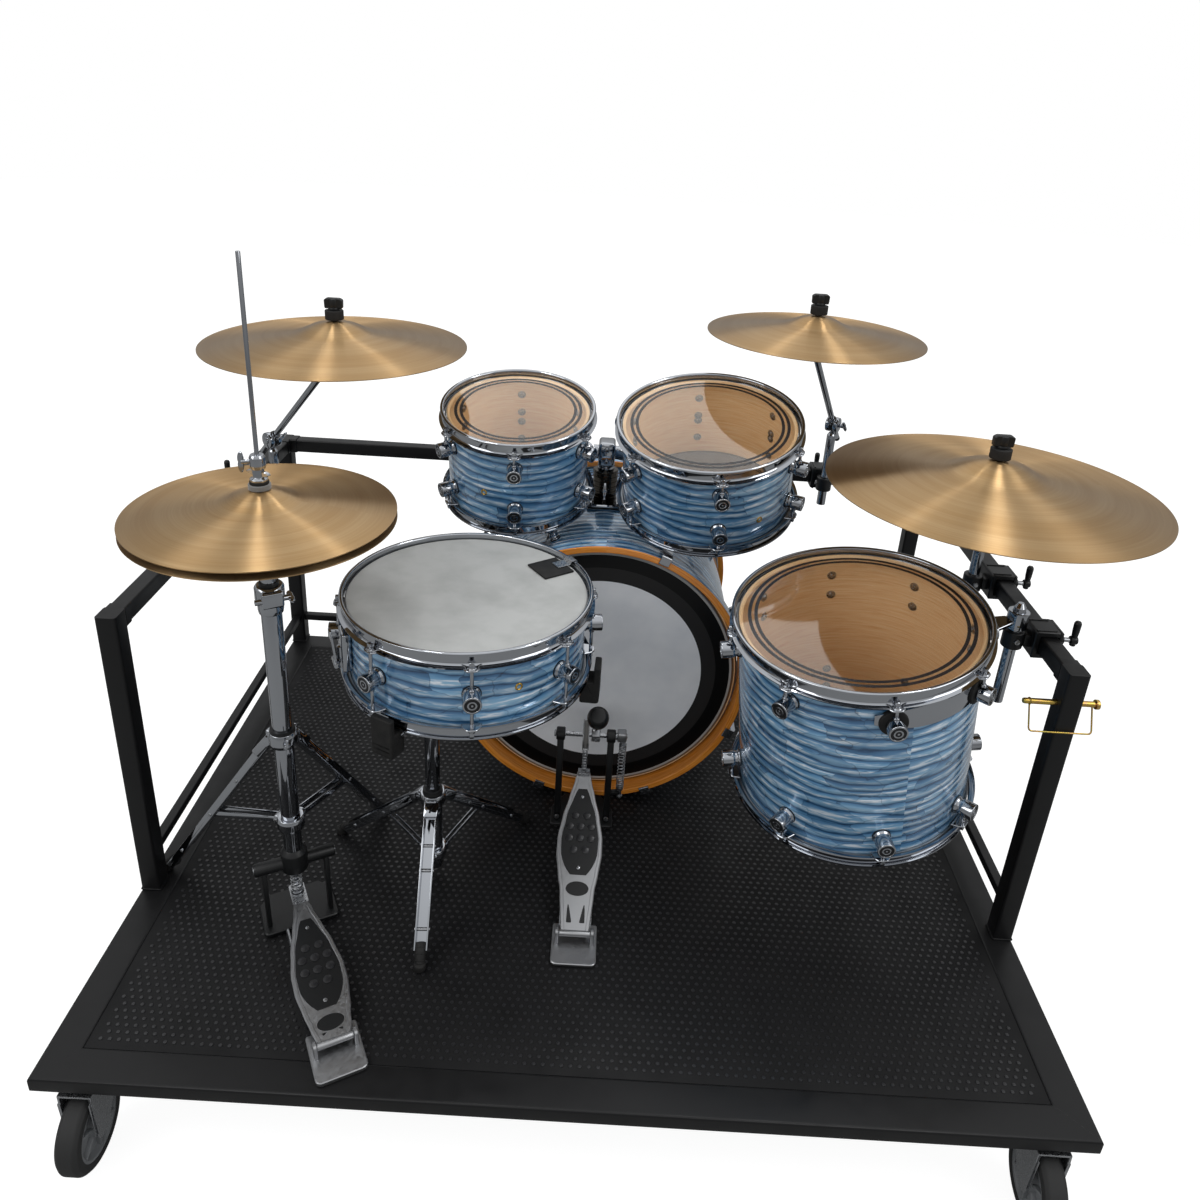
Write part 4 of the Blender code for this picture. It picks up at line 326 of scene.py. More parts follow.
def film_of(name, code, roughness, cover, metallic=0.0):
    """A plastic drum film: cover is the share that isn't seen through, and glancing views add gloss.
    A clear one is all gloss, so its share mirrors as a metal does."""
    made, tree, shader = finish_of(name, code, roughness, metallic)
    inside = add(tree, "ShaderNodeNewGeometry").outputs["Backfacing"]
    index = add(tree, "ShaderNodeMath", {0: inside, 1: 1 / 1.5 - 1.5, 2: 1.5}, operation="MULTIPLY_ADD").outputs[0]
    glint = add(tree, "ShaderNodeFresnel", {"IOR": index}).outputs[0]
    share = add(tree, "ShaderNodeMath", {0: glint, 1: cover}, operation="ADD", use_clamp=True).outputs[0]
    clear = add(tree, "ShaderNodeBsdfTransparent").outputs[0]
    both = add(tree, "ShaderNodeMixShader", {0: share, 1: clear, 2: shader.outputs[0]})
    tree.links.new(both.outputs[0], tree.nodes["Material Output"].inputs["Surface"])
    return made


def coated_film():
    """White texture coating on the snare's head, greyed a little by sticks in broad patches."""
    made, tree, shader = finish_of("coated_film", "a9aaa8", 0.6)
    worn = ramp(tree, grain(tree, 55.0, 4.0), [(0.3, "9fa09e"), (0.6, "afb0ae")])
    tree.links.new(worn, shader.inputs["Base Color"])
    relief(tree, shader, grain(tree, 0.7, 2.0), 0.04)
    return made


def frosted_film():
    """Frosted film of the bass drum's batter: milky, evenly matt."""
    made, tree, shader = finish_of("frosted_film", "a7a9ac", 0.45)
    tree.links.new(ramp(tree, grain(tree, 80.0), [(0.35, "e4e6ea"), (0.65, "f2f3f5")]),
                   shader.inputs["Base Color"])
    return made


def plain(name, code, roughness, metallic=0.0):
    return finish_of(name, code, roughness, metallic)[0]


def tyre():
    """Moulded black rubber tread of the casters."""
    made, tree, shader = finish_of("caster_tyre_rubber", "202020", 0.7)
    relief(tree, shader, grain(tree, 3.0, 3.0), 0.1)
    return made


FINISHES = {name: maker() for name, maker in {
    "powder": powder_coat, "chrome": chrome_plate, "steel": bare_steel, "alloy": cast_alloy,
    "brass": brass, "zinc": yellow_zinc, "nylon": moulded_black, "rubber": black_rubber, "felt": felt,
    "mat": stud_rubber, "bronze": lathed_bronze, "wrap": pearl_wrap, "maple": bare_maple,
    "amber": amber_lacquer, "coated": coated_film, "frosted": frosted_film, "tyre": tyre}.items()}
FINISHES.update({
    "clear": film_of("clear_film", "f0eee9", 0.05, 0.01, 1.0),
    # The resonant heads' film is dark brown and mostly opaque: painted shade for the dim inside seen through them.
    "hazy": film_of("hazy_film_darkened_as_painted_shade", "5a493c", 0.5, 0.8),
    "film_ring": film_of("printed_film_ring", "26282c", 0.2, 0.78),
    "film_edge": plain("aluminium_flesh_hoop", "8d8f92", 0.35, 1.0),
    "grey_ring": finish_of("smoked_film_ring", "262525", 0.45, Specular_IOR_Level=0.3)[0],
    "black_ring": finish_of("black_film_ring", "070708", 0.3, Specular_IOR_Level=0.25)[0],
    "smoked": plain("black_nickel_plate", "47433e", 0.12, 1.0),
    # The studs and grips are the mat's rubber made lighter: a painted highlight. Their gloss is real roughness.
    "stud": finish_of("rubber_stud_lightened_as_painted_highlight", "1d1d1f", 0.34)[0],
    "hub": plain("grey_nylon_wheel", "6f7173", 0.5),
    # A near-black matt disc inside the vent is painted shade for the open bore.
    "hole": plain("painted_shade_bore_plug", "050505", 0.9)})


# Shapes

def aimed(origin, direction, roll_towards=(0, 0, 1)):
    """A frame at origin whose Z points along direction, with its X towards roll_towards."""
    z = Vector(direction).normalized()
    x = Vector(roll_towards) - z * Vector(roll_towards).dot(z)
    if x.length < 1e-6:
        x = z.orthogonal()
    x.normalize()
    y = z.cross(x)
    return Matrix.Translation(origin) @ Matrix((x, y, z)).transposed().to_4x4()


def turned_to(azimuth_deg):
    """A frame turned about Z, so its X points along the azimuth."""
    return Matrix.Rotation(math.radians(azimuth_deg), 4, "Z")


def polar(radius, azimuth_deg, z=0.0):
    angle = math.radians(azimuth_deg)
    return Vector((radius * math.cos(angle), radius * math.sin(angle), z))


def rounded(outline, radius, steps=3, closed=True):
    """An outline or path with its corners rounded; radius is one number, or one per corner."""
    count = len(outline)
    radii = radius if hasattr(radius, "__len__") else [radius] * count
    made = []
    for i in range(count):
        here = Vector(outline[i])
        if radii[i] == 0 or (not closed and i in (0, count - 1)):
            made.append(here)
            continue
        back = Vector(outline[i - 1]) - here
        onward = Vector(outline[(i + 1) % count]) - here
        half = max(back.angle(onward) / 2, 0.05)
        reach = min(radii[i] / math.tan(half), 0.48 * back.length, 0.48 * onward.length)
        start = here + back.normalized() * reach
        end = here + onward.normalized() * reach
        for s in range(steps + 1):
            t = s / steps
            made.append(start * (1 - t) ** 2 + here * 2 * t * (1 - t) + end * t * t)
    return made


def strip(line, thickness):
    """The closed outline of a sheet of this thickness bent along an open line."""
    sides = ([], [])
    for i, point in enumerate(line):
        ahead = Vector(line[min(i + 1, len(line) - 1)]) - Vector(line[max(i - 1, 0)])
        normal = Vector((-ahead.y, ahead.x)).normalized() * thickness / 2
        sides[0].append(Vector(point) + normal)
        sides[1].append(Vector(point) - normal)
    return sides[0] + sides[1][::-1]


class Piece:
    """One visible piece while it is made: its mesh, its wrap UVs and its finishes."""

    def __init__(self, name):
        self.name = name
        self.mesh = bmesh.new()
        self.uv = self.mesh.loops.layers.uv.new("wrap")
        self.finishes = []

    def slot(self, finish):
        if finish not in self.finishes:
            self.finishes.append(finish)
        return self.finishes.index(finish)

    def skin(self, rows, finish, frame, caps=False, uvs=None, wrap=True, closed=False):
        """Faces between rows of points; rows of one point are poles."""
        verts = [[self.mesh.verts.new(frame @ Vector(p)) for p in row] for row in rows]
        count = max(len(row) for row in verts)
        pairs = [(k, k + 1) for k in range(len(verts) - 1)]
        if closed:
            pairs.append((len(verts) - 1, 0))
        faces = []
        for k, m in pairs:
            index = self.slot(finish if isinstance(finish, str) else finish[k])
            for i in range(count if wrap else count - 1):
                j = (i + 1) % count
                corners = []
                for row, col, edge in ((k, i, i), (k, j, i + 1), (m, j, i + 1), (m, i, i)):
                    vert = verts[row][col % len(verts[row])]
                    if vert not in [c[0] for c in corners]:
                        high = k + 1 if row == m else k
                        corners.append((vert, uvs(high, edge) if uvs else (0, 0)))
                face = self.mesh.faces.new([c[0] for c in corners])
                for loop, (_, place) in zip(face.loops, corners):
                    loop[self.uv].uv = place
                face.material_index = index
                faces.append(face)
        if caps:
            for k in (0, -1):
                face = self.mesh.faces.new(verts[k])
                face.material_index = self.slot(finish if isinstance(finish, str) else finish[k])
                faces.append(face)
        bmesh.ops.recalc_face_normals(self.mesh, faces=faces)
        return faces

    def turned(self, finish, outline, sides=48, frame=Matrix(), start=0.0):
        """Spin a (radius, height) outline about Z, closed on itself or on the axis."""
        rows, lengths = [], [0.0]
        girth = max(p[0] for p in outline)
        for i, (radius, height) in enumerate(outline):
            angles = [start + 2 * math.pi * n / sides for n in range(sides)]
            rows.append([(0, 0, height)] if radius < 1e-7 else
                        [(radius * math.cos(a), radius * math.sin(a), height) for a in angles])
            last = outline[(i + 1) % len(outline)]
            lengths.append(lengths[-1] + (Vector(last) - Vector((radius, height))).length)
        self.skin(rows, finish, frame, closed=outline[0][0] > 1e-7 or outline[-1][0] > 1e-7,
                  uvs=lambda k, i: (girth * 2 * math.pi * i / sides, lengths[k]))

    def rod(self, finish, start, end, radius, sides=20, frame=Matrix(), end_radius=None, soften=0.0005):
        """A round bar between two points, its ends slightly rounded."""
        start, end = Vector(start), Vector(end)
        length = (end - start).length
        tip = radius if end_radius is None else end_radius
        soften = min(soften, radius * 0.5, tip * 0.5, length * 0.3)
        outline = [(0, 0), (radius - soften, 0), (radius - soften * 0.3, soften * 0.3), (radius, soften),
                   (tip, length - soften), (tip - soften * 0.3, length - soften * 0.3),
                   (tip - soften, length), (0, length)]
        self.turned(finish, outline, sides, frame @ aimed(start, end - start))

    def sleeve(self, finish, start, end, inner, outer, sides=32, frame=Matrix(), soften=0.0006):
        """A round tube with an open bore between two points."""
        start, end = Vector(start), Vector(end)
        length = (end - start).length
        outline = rounded([(inner, 0), (outer, 0), (outer, length), (inner, length)],
                          min(soften, length * 0.3, (outer - inner) * 0.3), 2)
        self.turned(finish, outline, sides, frame @ aimed(start, end - start))

    def tube(self, finish, points, radius, sides=12, frame=Matrix(), caps=True, flat=1.0, loop=False):
        """A round or flattened bar swept along a path."""
        points = [Vector(p) for p in points]
        count = len(points)
        rows, normal = [], None
        for i, point in enumerate(points):
            back = points[i - 1] if loop or i else point
            ahead = points[(i + 1) % count] if loop or i < count - 1 else point
            tangent = (ahead - back).normalized()
            normal = tangent.orthogonal() if normal is None else normal
            normal = (normal - tangent * normal.dot(tangent)).normalized()
            side = tangent.cross(normal)
            size = radius[i] if hasattr(radius, "__len__") else radius
            angles = [2 * math.pi * n / sides for n in range(sides)]
            rows.append([point + normal * size * math.cos(a) + side * size * flat * math.sin(a)
                         for a in angles])
        self.skin(rows, finish, frame, caps=caps and not loop, closed=loop)

    def block(self, finish, low, high, frame=Matrix(), bevel=0.0008, steps=2):
        """A box between two corners with rounded edges."""
        size = Vector(high) - Vector(low)
        centre = (Vector(high) + Vector(low)) / 2
        unit = bmesh.new()
        unit.loops.layers.uv.new("wrap")
        bmesh.ops.create_cube(unit, size=1.0)
        unit.transform(Matrix.Translation(centre) @ Matrix.Diagonal((*size, 1.0)))
        bmesh.ops.bevel(unit, geom=list(unit.edges), offset=min(bevel, min(size) * 0.3), segments=steps,
                        affect="EDGES", profile=0.5)
        self.take(unit, finish, frame)

    def bar(self, finish, start, end, width, thickness, side=(0, 0, 1), frame=Matrix(), bevel=0.0008, steps=2):
        """A flat bar between two points; its thickness lies towards side."""
        start, end = Vector(start), Vector(end)
        low = (-thickness / 2, -width / 2, 0)
        high = (thickness / 2, width / 2, (end - start).length)
        self.block(finish, low, high, frame @ aimed(start, end - start, side), bevel, steps)

    def plate(self, finish, outline, low, high, frame=Matrix(), bevel=0.0005):
        """A flat outline in XY, extruded along Z, with softened edges."""
        outline = [Vector(p[:2]) for p in outline]
        area = sum(a.x * b.y - b.x * a.y for a, b in zip(outline, outline[1:] + outline[:1]))
        if area < 0:
            outline.reverse()
        inset = []
        for i, here in enumerate(outline):
            back = (here - outline[i - 1]).normalized()
            onward = (outline[(i + 1) % len(outline)] - here).normalized()
            normal = Vector((-back.y - onward.y, back.x + onward.x))
            normal = normal.normalized() if normal.length > 1e-6 else Vector((-back.y, back.x))
            inset.append(here + normal * bevel / max(0.5, math.sqrt(max(0.0, 1 + back.dot(onward)) / 2)))
        rows = [[(p.x, p.y, z) for p in ring] for ring, z in
                ((inset, low), (outline, low + bevel), (outline, high - bevel), (inset, high))]
        self.skin(rows, finish, frame, caps=True)

    def take(self, unit, finish=None, frame=Matrix()):
        """Add a bmesh, or a mesh whose first material is the finish, and free it."""
        unit.transform(frame)
        count = len(self.mesh.faces)
        if isinstance(unit, bmesh.types.BMesh):
            bmesh.ops.recalc_face_normals(unit, faces=unit.faces)
            mesh = bpy.data.meshes.new("unit")
            unit.to_mesh(mesh)
            unit.free()
            unit = mesh
        self.mesh.from_mesh(unit)
        bpy.data.meshes.remove(unit)
        self.mesh.faces.ensure_lookup_table()
        index = self.slot(finish)
        for face in self.mesh.faces[count:]:
            face.material_index = index

    def spaced(self, tree, unit, frame=Matrix(), **sizes):
        """Repeat a unit Piece by a Geometry Nodes tree, and take the result."""
        for index, finish in enumerate(unit.finishes):
            part = unit.mesh.copy()
            others = [f for f in part.faces if f.material_index != index]
            bmesh.ops.delete(part, geom=others, context="FACES")
            mesh = bpy.data.meshes.new("unit")
            part.to_mesh(mesh)
            part.free()
            holder = bpy.data.objects.new("unit", mesh)
            bpy.context.scene.collection.objects.link(holder)
            modifier = holder.modifiers.new("repeat", "NODES")
            modifier.node_group = tree
            values = {**sizes, "Finish": FINISHES[finish]}
            for item in tree.interface.items_tree:
                if item.in_out == "INPUT" and item.name in values:
                    modifier[item.identifier] = values[item.name]
            graph = bpy.context.evaluated_depsgraph_get()
            result = bpy.data.meshes.new_from_object(holder.evaluated_get(graph))
            bpy.data.objects.remove(holder)
            bpy.data.meshes.remove(mesh)
            self.take(result, finish, frame)
        unit.mesh.free()

    def done(self, body, *nodes, slot=None, sharp=38.0):
        """Make the object, ride it on its body, and let it stand for CAD nodes."""
        self.mesh.transform(LIFT)
        mesh = bpy.data.meshes.new(self.name)
        self.mesh.to_mesh(mesh)
        self.mesh.free()
        mesh.shade_smooth()
        mesh.set_sharp_from_angle(angle=math.radians(sharp))
        for finish in self.finishes:
            mesh.materials.append(FINISHES[finish])
        made = bpy.data.objects.new(self.name, mesh)
        bpy.context.scene.collection.objects.link(made)
        if body:
            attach(made, body)
        if nodes:
            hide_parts(*nodes)
        return made


def repeat_tree(name, inputs, placing):
    """A Geometry Nodes tree: a unit on points that placing lays out, realised and finished."""
    tree = bpy.data.node_groups.new(name, "GeometryNodeTree")
    face = tree.interface
    face.new_socket("Unit", in_out="INPUT", socket_type="NodeSocketGeometry")
    for key, kind in (*inputs.items(), ("Finish", "NodeSocketMaterial")):
        face.new_socket(key, in_out="INPUT", socket_type=kind)
    face.new_socket("Result", in_out="OUTPUT", socket_type="NodeSocketGeometry")
    source = add(tree, "NodeGroupInput").outputs
    index = add(tree, "GeometryNodeInputIndex").outputs[0]
    count, place, turn = placing(tree, source, index)
    points = add(tree, "GeometryNodePoints", {"Count": count, "Position": place}).outputs[0]
    copies = add(tree, "GeometryNodeInstanceOnPoints", {"Points": points, "Instance": source["Unit"],
                                                        "Rotation": turn}).outputs[0]
    real = add(tree, "GeometryNodeRealizeInstances", {"Geometry": copies}).outputs[0]
    faced = add(tree, "GeometryNodeSetMaterial", {"Geometry": real, "Material": source["Finish"]})
    add(tree, "NodeGroupOutput", {"Result": faced.outputs[0]})
    return tree


def ring_layout(tree, source, index):
    """Count points round a circle, each turned to face outwards; Start is in radians."""
    step = add(tree, "ShaderNodeMath", {0: 2 * math.pi, 1: source["Count"]}, operation="DIVIDE").outputs[0]
    angle = sum_of(tree, index, step, source["Start"])
    x = add(tree, "ShaderNodeMath", {0: angle}, operation="COSINE").outputs[0]
    y = add(tree, "ShaderNodeMath", {0: angle}, operation="SINE").outputs[0]
    place = add(tree, "ShaderNodeCombineXYZ", {"X": sum_of(tree, x, source["Radius"]),
                                               "Y": sum_of(tree, y, source["Radius"])}).outputs[0]
    turn = add(tree, "ShaderNodeCombineXYZ", {"Z": angle}).outputs[0]
    return source["Count"], place, turn


def row_layout(tree, source, index):
    """Count points along X at Pitch, each turned about X by Twist more than the last."""
    place = add(tree, "ShaderNodeCombineXYZ", {"X": sum_of(tree, index, source["Pitch"])}).outputs[0]
    turn = add(tree, "ShaderNodeCombineXYZ", {"X": sum_of(tree, index, source["Twist"])}).outputs[0]
    return source["Count"], place, turn


def grid_layout(tree, source, index):
    """Columns by Rows points at Pitch, every second row moved half a pitch along."""
    count = add(tree, "ShaderNodeMath", {0: source["Columns"], 1: source["Rows"]}, operation="MULTIPLY")
    row = add(tree, "ShaderNodeMath", {0: index, 1: source["Columns"]}, operation="DIVIDE").outputs[0]
    row = add(tree, "ShaderNodeMath", {0: row}, operation="FLOOR").outputs[0]
    column = add(tree, "ShaderNodeMath", {0: index, 1: source["Columns"]}, operation="FLOORED_MODULO")
    odd = add(tree, "ShaderNodeMath", {0: row, 1: 2.0}, operation="FLOORED_MODULO").outputs[0]
    shifted = sum_of(tree, odd, 0.5, column.outputs[0])
    place = add(tree, "ShaderNodeCombineXYZ", {"X": sum_of(tree, shifted, source["Pitch"]),
                                               "Y": sum_of(tree, row, source["Row Pitch"])}).outputs[0]
    return count.outputs[0], place, (0.0, 0.0, 0.0)


RING = repeat_tree("ring_of_fittings", {"Count": "NodeSocketInt", "Radius": "NodeSocketFloat",
                                        "Start": "NodeSocketFloat"}, ring_layout)
ROW = repeat_tree("row_of_fittings", {"Count": "NodeSocketInt", "Pitch": "NodeSocketFloat",
                                      "Twist": "NodeSocketFloat"}, row_layout)
GRID = repeat_tree("staggered_grid", {"Columns": "NodeSocketInt", "Rows": "NodeSocketInt",
                                      "Pitch": "NodeSocketFloat", "Row Pitch": "NodeSocketFloat"},
                   grid_layout)


# Sizes shared with the solids; heights are above the deck's top face

HOOP_WALL_AT = 0.0054        # hoop's wall past the shell
HOOP_HEIGHT = 0.024
HEAD_DROP = 0.0085           # film below the hoop's top edge
ROD_OUT = 0.0135
LUG_INSET = 0.053
SHELL_WALL = 0.006


def drum_frame(rim, tilt):
    toward, left = (math.radians(a) for a in tilt)
    turn = Matrix.Rotation(-left, 4, "Y") @ Matrix.Rotation(toward, 4, "X")
    return Matrix.Translation(rim) @ turn


def drum_total(length):
    return length + 2 * (HEAD_DROP + 0.0009)


# Drums

def hoop_outline(radius):
    """Section of a triple-flanged hoop: rolled top edge, upright wall and flat lower flange."""
    wall = radius + HOOP_WALL_AT
    line = [(radius + 0.0098, -0.0040), (radius + 0.0098, -0.0012), (wall, -0.0012),
            (wall, -0.0175), (radius + 0.0080, -0.0206), (radius + 0.0134, -0.0226)]
    return strip(rounded(line, [0, 0.002, 0.002, 0.004, 0.004, 0], 3, closed=False), 0.0021)


def ear_unit():
    """A hoop's ear, with the washer and square key head of its tension rod; X is outwards."""
    unit = Piece("ear")
    ear = rounded([(-0.0115, -0.0150), (0.0010, -0.0110), (0.0062, -0.0065), (0.0062, 0.0065),
                   (0.0010, 0.0110), (-0.0115, 0.0150)], [0, 0.008, 0.006, 0.006, 0.008, 0], 4)
    unit.plate("chrome", ear, -0.0240, -0.0216, bevel=0.0006)
    for side in (-1, 1):
        unit.tube("chrome", [(-0.0075, side * 0.0135, -0.0195), (-0.0045, side * 0.0085, -0.0205),
                             (0.0020, side * 0.0062, -0.0218)], 0.0016, 8)
    unit.turned("chrome", rounded([(0, -0.0216), (0.0062, -0.0216), (0.0062, -0.0202), (0.0048, -0.0194),
                                   (0.0048, -0.0172), (0, -0.0172)], [0, 0.0004, 0.0004, 0.0005, 0.0005, 0], 2),
                20)
    unit.block("chrome", (-0.0031, -0.0031, -0.0174), (0.0031, 0.0031, -0.0104), bevel=0.0007)
    return unit


def rod_unit(reach):
    """A tension rod from its ear down to its lug, with the lug's swivel nut."""
    unit = Piece("rod")
    unit.rod("chrome", (0, 0, -0.0235), (0, 0, -reach), 0.0027, 12)
    unit.turned("chrome", rounded([(0, -reach + 0.0045), (0.0042, -reach + 0.0045), (0.0046, -reach - 0.004),
                                   (0, -reach - 0.004)], [0, 0.0010, 0.0004, 0], 3), 16)
    return unit


def lug_unit():
    """A round turret lug: waisted chrome barrel on a thin gasket, its face ringed in black."""
    unit = Piece("lug")
    out = aimed((0, 0, 0), (1, 0, 0))
    unit.turned("rubber", [(0, -0.0005), (0.0138, -0.0005), (0.0138, 0.0012), (0, 0.0012)], 28, out)
    barrel = [(0, 0.0010), (0.0132, 0.0010), (0.0132, 0.0032), (0.0113, 0.0060), (0.0115, 0.0095),
              (0.0129, 0.0120), (0.0132, 0.0290), (0.0106, 0.0290), (0.0106, 0.0278), (0, 0.0278)]
    softened = [0, 0.0006, 0.0008, 0.002, 0.001, 0.001, 0.0016, 0.0005, 0.0004, 0]
    unit.turned("chrome", rounded(barrel, softened, 3), 32, out)
    unit.turned("nylon", [(0.0070, 0.0274), (0.0103, 0.0274), (0.0103, 0.0284), (0.0070, 0.0284)], 28, out)
    unit.turned("chrome", rounded([(0.0044, 0.0274), (0.0068, 0.0274), (0.0068, 0.0290), (0.0044, 0.0290)],
                                  0.0006, 2), 28, out)
    unit.turned("nylon", [(0, 0.0274), (0.0042, 0.0274), (0.0042, 0.0282), (0, 0.0282)], 20, out)
    unit.turned("chrome", rounded([(0, 0.0278), (0.0018, 0.0278), (0.0018, 0.0290), (0, 0.0290)],
                                  [0, 0, 0.0006, 0], 2), 12, out)
    return unit


def washer_unit():
    """A lug screw's head and washer inside the shell; X is outwards."""
    unit = Piece("washer")
    into = aimed((0, 0, 0), (-1, 0, 0))
    unit.turned("steel", rounded([(0, -0.0005), (0.0075, -0.0005), (0.0075, 0.0014), (0, 0.0016)],
                                 [0, 0, 0.0005, 0], 2), 20, into)
    unit.turned("steel", rounded([(0, 0.001), (0.0045, 0.001), (0.0040, 0.0042), (0.0014, 0.0044),
                                  (0.0014, 0.0030), (0, 0.0030)], [0, 0, 0.0012, 0.0003, 0, 0], 2), 16, into)
    return unit


def add_grommet(piece, frame, radius, azimuth, z):
    """A brass vent grommet through the wall, with a near-black disc in its bore as painted shade for the open hole."""
    out = frame @ aimed(polar(radius, azimuth, z), polar(1, azimuth))
    piece.turned("brass", rounded([(0.0032, -0.0065), (0.0032, 0.0006), (0.0040, 0.0016), (0.0056, 0.0010),
                                   (0.0062, -0.0004), (0.0040, -0.0010), (0.0038, -0.0065)], 0.0006, 2),
                 28, out)
    # Near-black disc: painted shade in the bore.
    piece.turned("hole", [(0, -0.0062), (0.0033, -0.0062), (0.0033, -0.0040), (0, -0.0040)], 20, out)


def add_curved_plate(piece, finish, frame, inner, thickness, low, high, start, end, taper=0.0):
    """A sheet bent round a drum between two azimuths; taper narrows its ends."""
    count = max(8, int(abs(end - start) / 3))
    rows = []
    for i in range(count + 1):
        share = i / count
        azimuth = start + (end - start) * share
        trim = taper * max(0.0, 1 - 6 * min(share, 1 - share)) ** 2
        section = rounded([(inner, low + trim), (inner + thickness, low + trim),
                           (inner + thickness, high - trim), (inner, high - trim)], 0.0006, 2)
        rows.append([polar(r, azimuth, z) for r, z in section])
    piece.skin(rows, finish, frame, caps=True)


def build_shell(name, body, drum, frame, azimuths, extras):
    """Shell with its wrap and maple inside, lugs, screws, vent and brackets."""
    radius, total = drum["radius"], drum_total(drum["length"])
    inset = HEAD_DROP + 0.0009
    shell = Piece(name + "_shell_and_lugs")
    top, bottom = -inset, inset - total
    inner = radius - SHELL_WALL
    outline = [(inner, bottom + 0.004), (inner, top - 0.004), (radius - 0.0022, top), (radius - 0.0004, top - 0.001),
               (radius, top - 0.003), (radius, bottom + 0.003), (radius - 0.0004, bottom + 0.001),
               (radius - 0.0022, bottom)]
    finishes = ["maple", "maple", "maple", "maple", "wrap", "maple", "maple", "maple"]
    shell.turned(finishes, outline, 160, frame, math.radians(drum["seam"]))
    rows = sorted({-drum.get("lug_z", LUG_INSET), drum.get("lug_z", LUG_INSET) - total})
    start = math.radians(azimuths[0])
    for z in rows:
        spot = frame @ Matrix.Translation((0, 0, z))
        shell.spaced(RING, lug_unit(), spot, Count=len(azimuths), Radius=radius - 0.0002, Start=start)
    for z in drum["screws"]:
        spot = frame @ Matrix.Translation((0, 0, z))
        shell.spaced(RING, washer_unit(), spot, Count=len(azimuths), Radius=inner, Start=start)
    if "vent" in drum:
        add_grommet(shell, frame, radius, *drum["vent"])
    extras(shell)
    shell.done(body, name + "_shell", slot="blue_pearl_wrap")


def build_hoop(name, body, node, frame, radius, azimuths, reach, side):
    hoop = Piece(name + "_" + side + "_hoop")
    hoop.turned("chrome", hoop_outline(radius), 144, frame)
    start = math.radians(azimuths[0])
    sizes = {"Count": len(azimuths), "Radius": radius + ROD_OUT, "Start": start}
    hoop.spaced(RING, ear_unit(), frame, **sizes)
    hoop.spaced(RING, rod_unit(reach), frame, **sizes)
    hoop.done(body, *node, slot="chrome")


def build_head(name, body, node, frame, radius, film, rings, slot, edge="film_edge"):
    """A head: flat film, its collar over the shell's edge, and the metal flesh hoop."""
    head = Piece(name)
    z = -HEAD_DROP
    line = [(0.0, z)] + [(r, z) for pair in rings for r in pair]
    line += rounded([(radius - 0.004, z), (radius + 0.0012, z), (radius + 0.0014, z - 0.0088)],
                    [0, 0.002, 0], 4, closed=False)
    finishes = [film]
    for _ in rings:
        finishes += ["film_ring", film]
    finishes += [film] * (len(line) - 1 - len(finishes))
    outline = strip(line, 0.0003)
    head.turned(finishes + [film] + finishes[::-1] + [film], outline, 128, frame)
    hoop = rounded([(radius + 0.0006, z - 0.0094), (radius + 0.0034, z - 0.0094),
                    (radius + 0.0034, z - 0.0048), (radius + 0.0006, z - 0.0048)], 0.0006, 2)
    head.turned(edge, hoop, 128, frame)
    head.done(body, *node, slot=slot)


def build_drum(name, body, drum, frame, extras):
    radius, total = drum["radius"], drum_total(drum["length"])
    azimuths = [drum["lug_start"] + 360 * i / drum["lugs"] for i in range(drum["lugs"])]
    build_shell(name, body, drum, frame, azimuths, extras)
    reach = drum.get("lug_z", LUG_INSET) - 0.0115
    build_hoop(name, body, [name + "_hoop"], frame, radius, azimuths, reach, "top")
    under = frame @ Matrix.Translation((0, 0, -total)) @ Matrix.Rotation(math.pi, 4, "X")
    build_hoop(name, body, [name + "_bottom"], under, radius, [-a for a in azimuths[::-1]], reach, "bottom")
    build_head(name + "_top_film", body, [name + "_head"], frame, radius, drum["film"], drum["rings"],
               drum["slot"])
    build_head(name + "_bottom_film", body, [], under, radius, "hazy", [], "chrome")


DRUMS = {
    "tom_left": {"rim": (-0.156, 0.184, 0.746), "tilt": (12.0, 0.0), "radius": 5 * INCH, "length": 0.170,
                 "lugs": 6, "lug_start": -87.0, "seam": 100.0, "vent": (-112.2, -0.111)},
    "tom_right": {"rim": (0.181, 0.153, 0.751), "tilt": (14.0, 4.0), "radius": 6 * INCH, "length": 0.160,
                  "lugs": 6, "lug_start": -87.0, "seam": 100.0, "vent": (-58.4, -0.122)},
    "floor_tom": {"rim": (0.392, -0.190, 0.577), "tilt": (5.0, 7.0), "radius": 7 * INCH,
                  "length": 12 * INCH, "lugs": 8, "lug_start": -88.0, "seam": -78.0},
}
for tom in DRUMS.values():
    edge = tom["radius"]
    depth = drum_total(tom["length"])
    tom["film"], tom["slot"] = "clear", "clear_film"
    tom["rings"] = [(edge - 0.0282, edge - 0.0230), (edge - 0.0188, edge - 0.0135)]
    tom["screws"] = (-0.046, -0.084, 0.084 - depth, 0.046 - depth)
SNARE = {"rim": (-0.1915, -0.171, 0.571), "tilt": (0.0, 0.0), "radius": 7 * INCH, "length": 0.122,
         "lugs": 8, "lug_start": -80.0, "seam": 120.0, "film": "coated", "rings": [], "slot": "coated_film",
         "screws": (-0.0614, -0.0794), "vent": (-58.5, -0.070)}
SNARE["lug_z"] = drum_total(SNARE["length"]) / 2


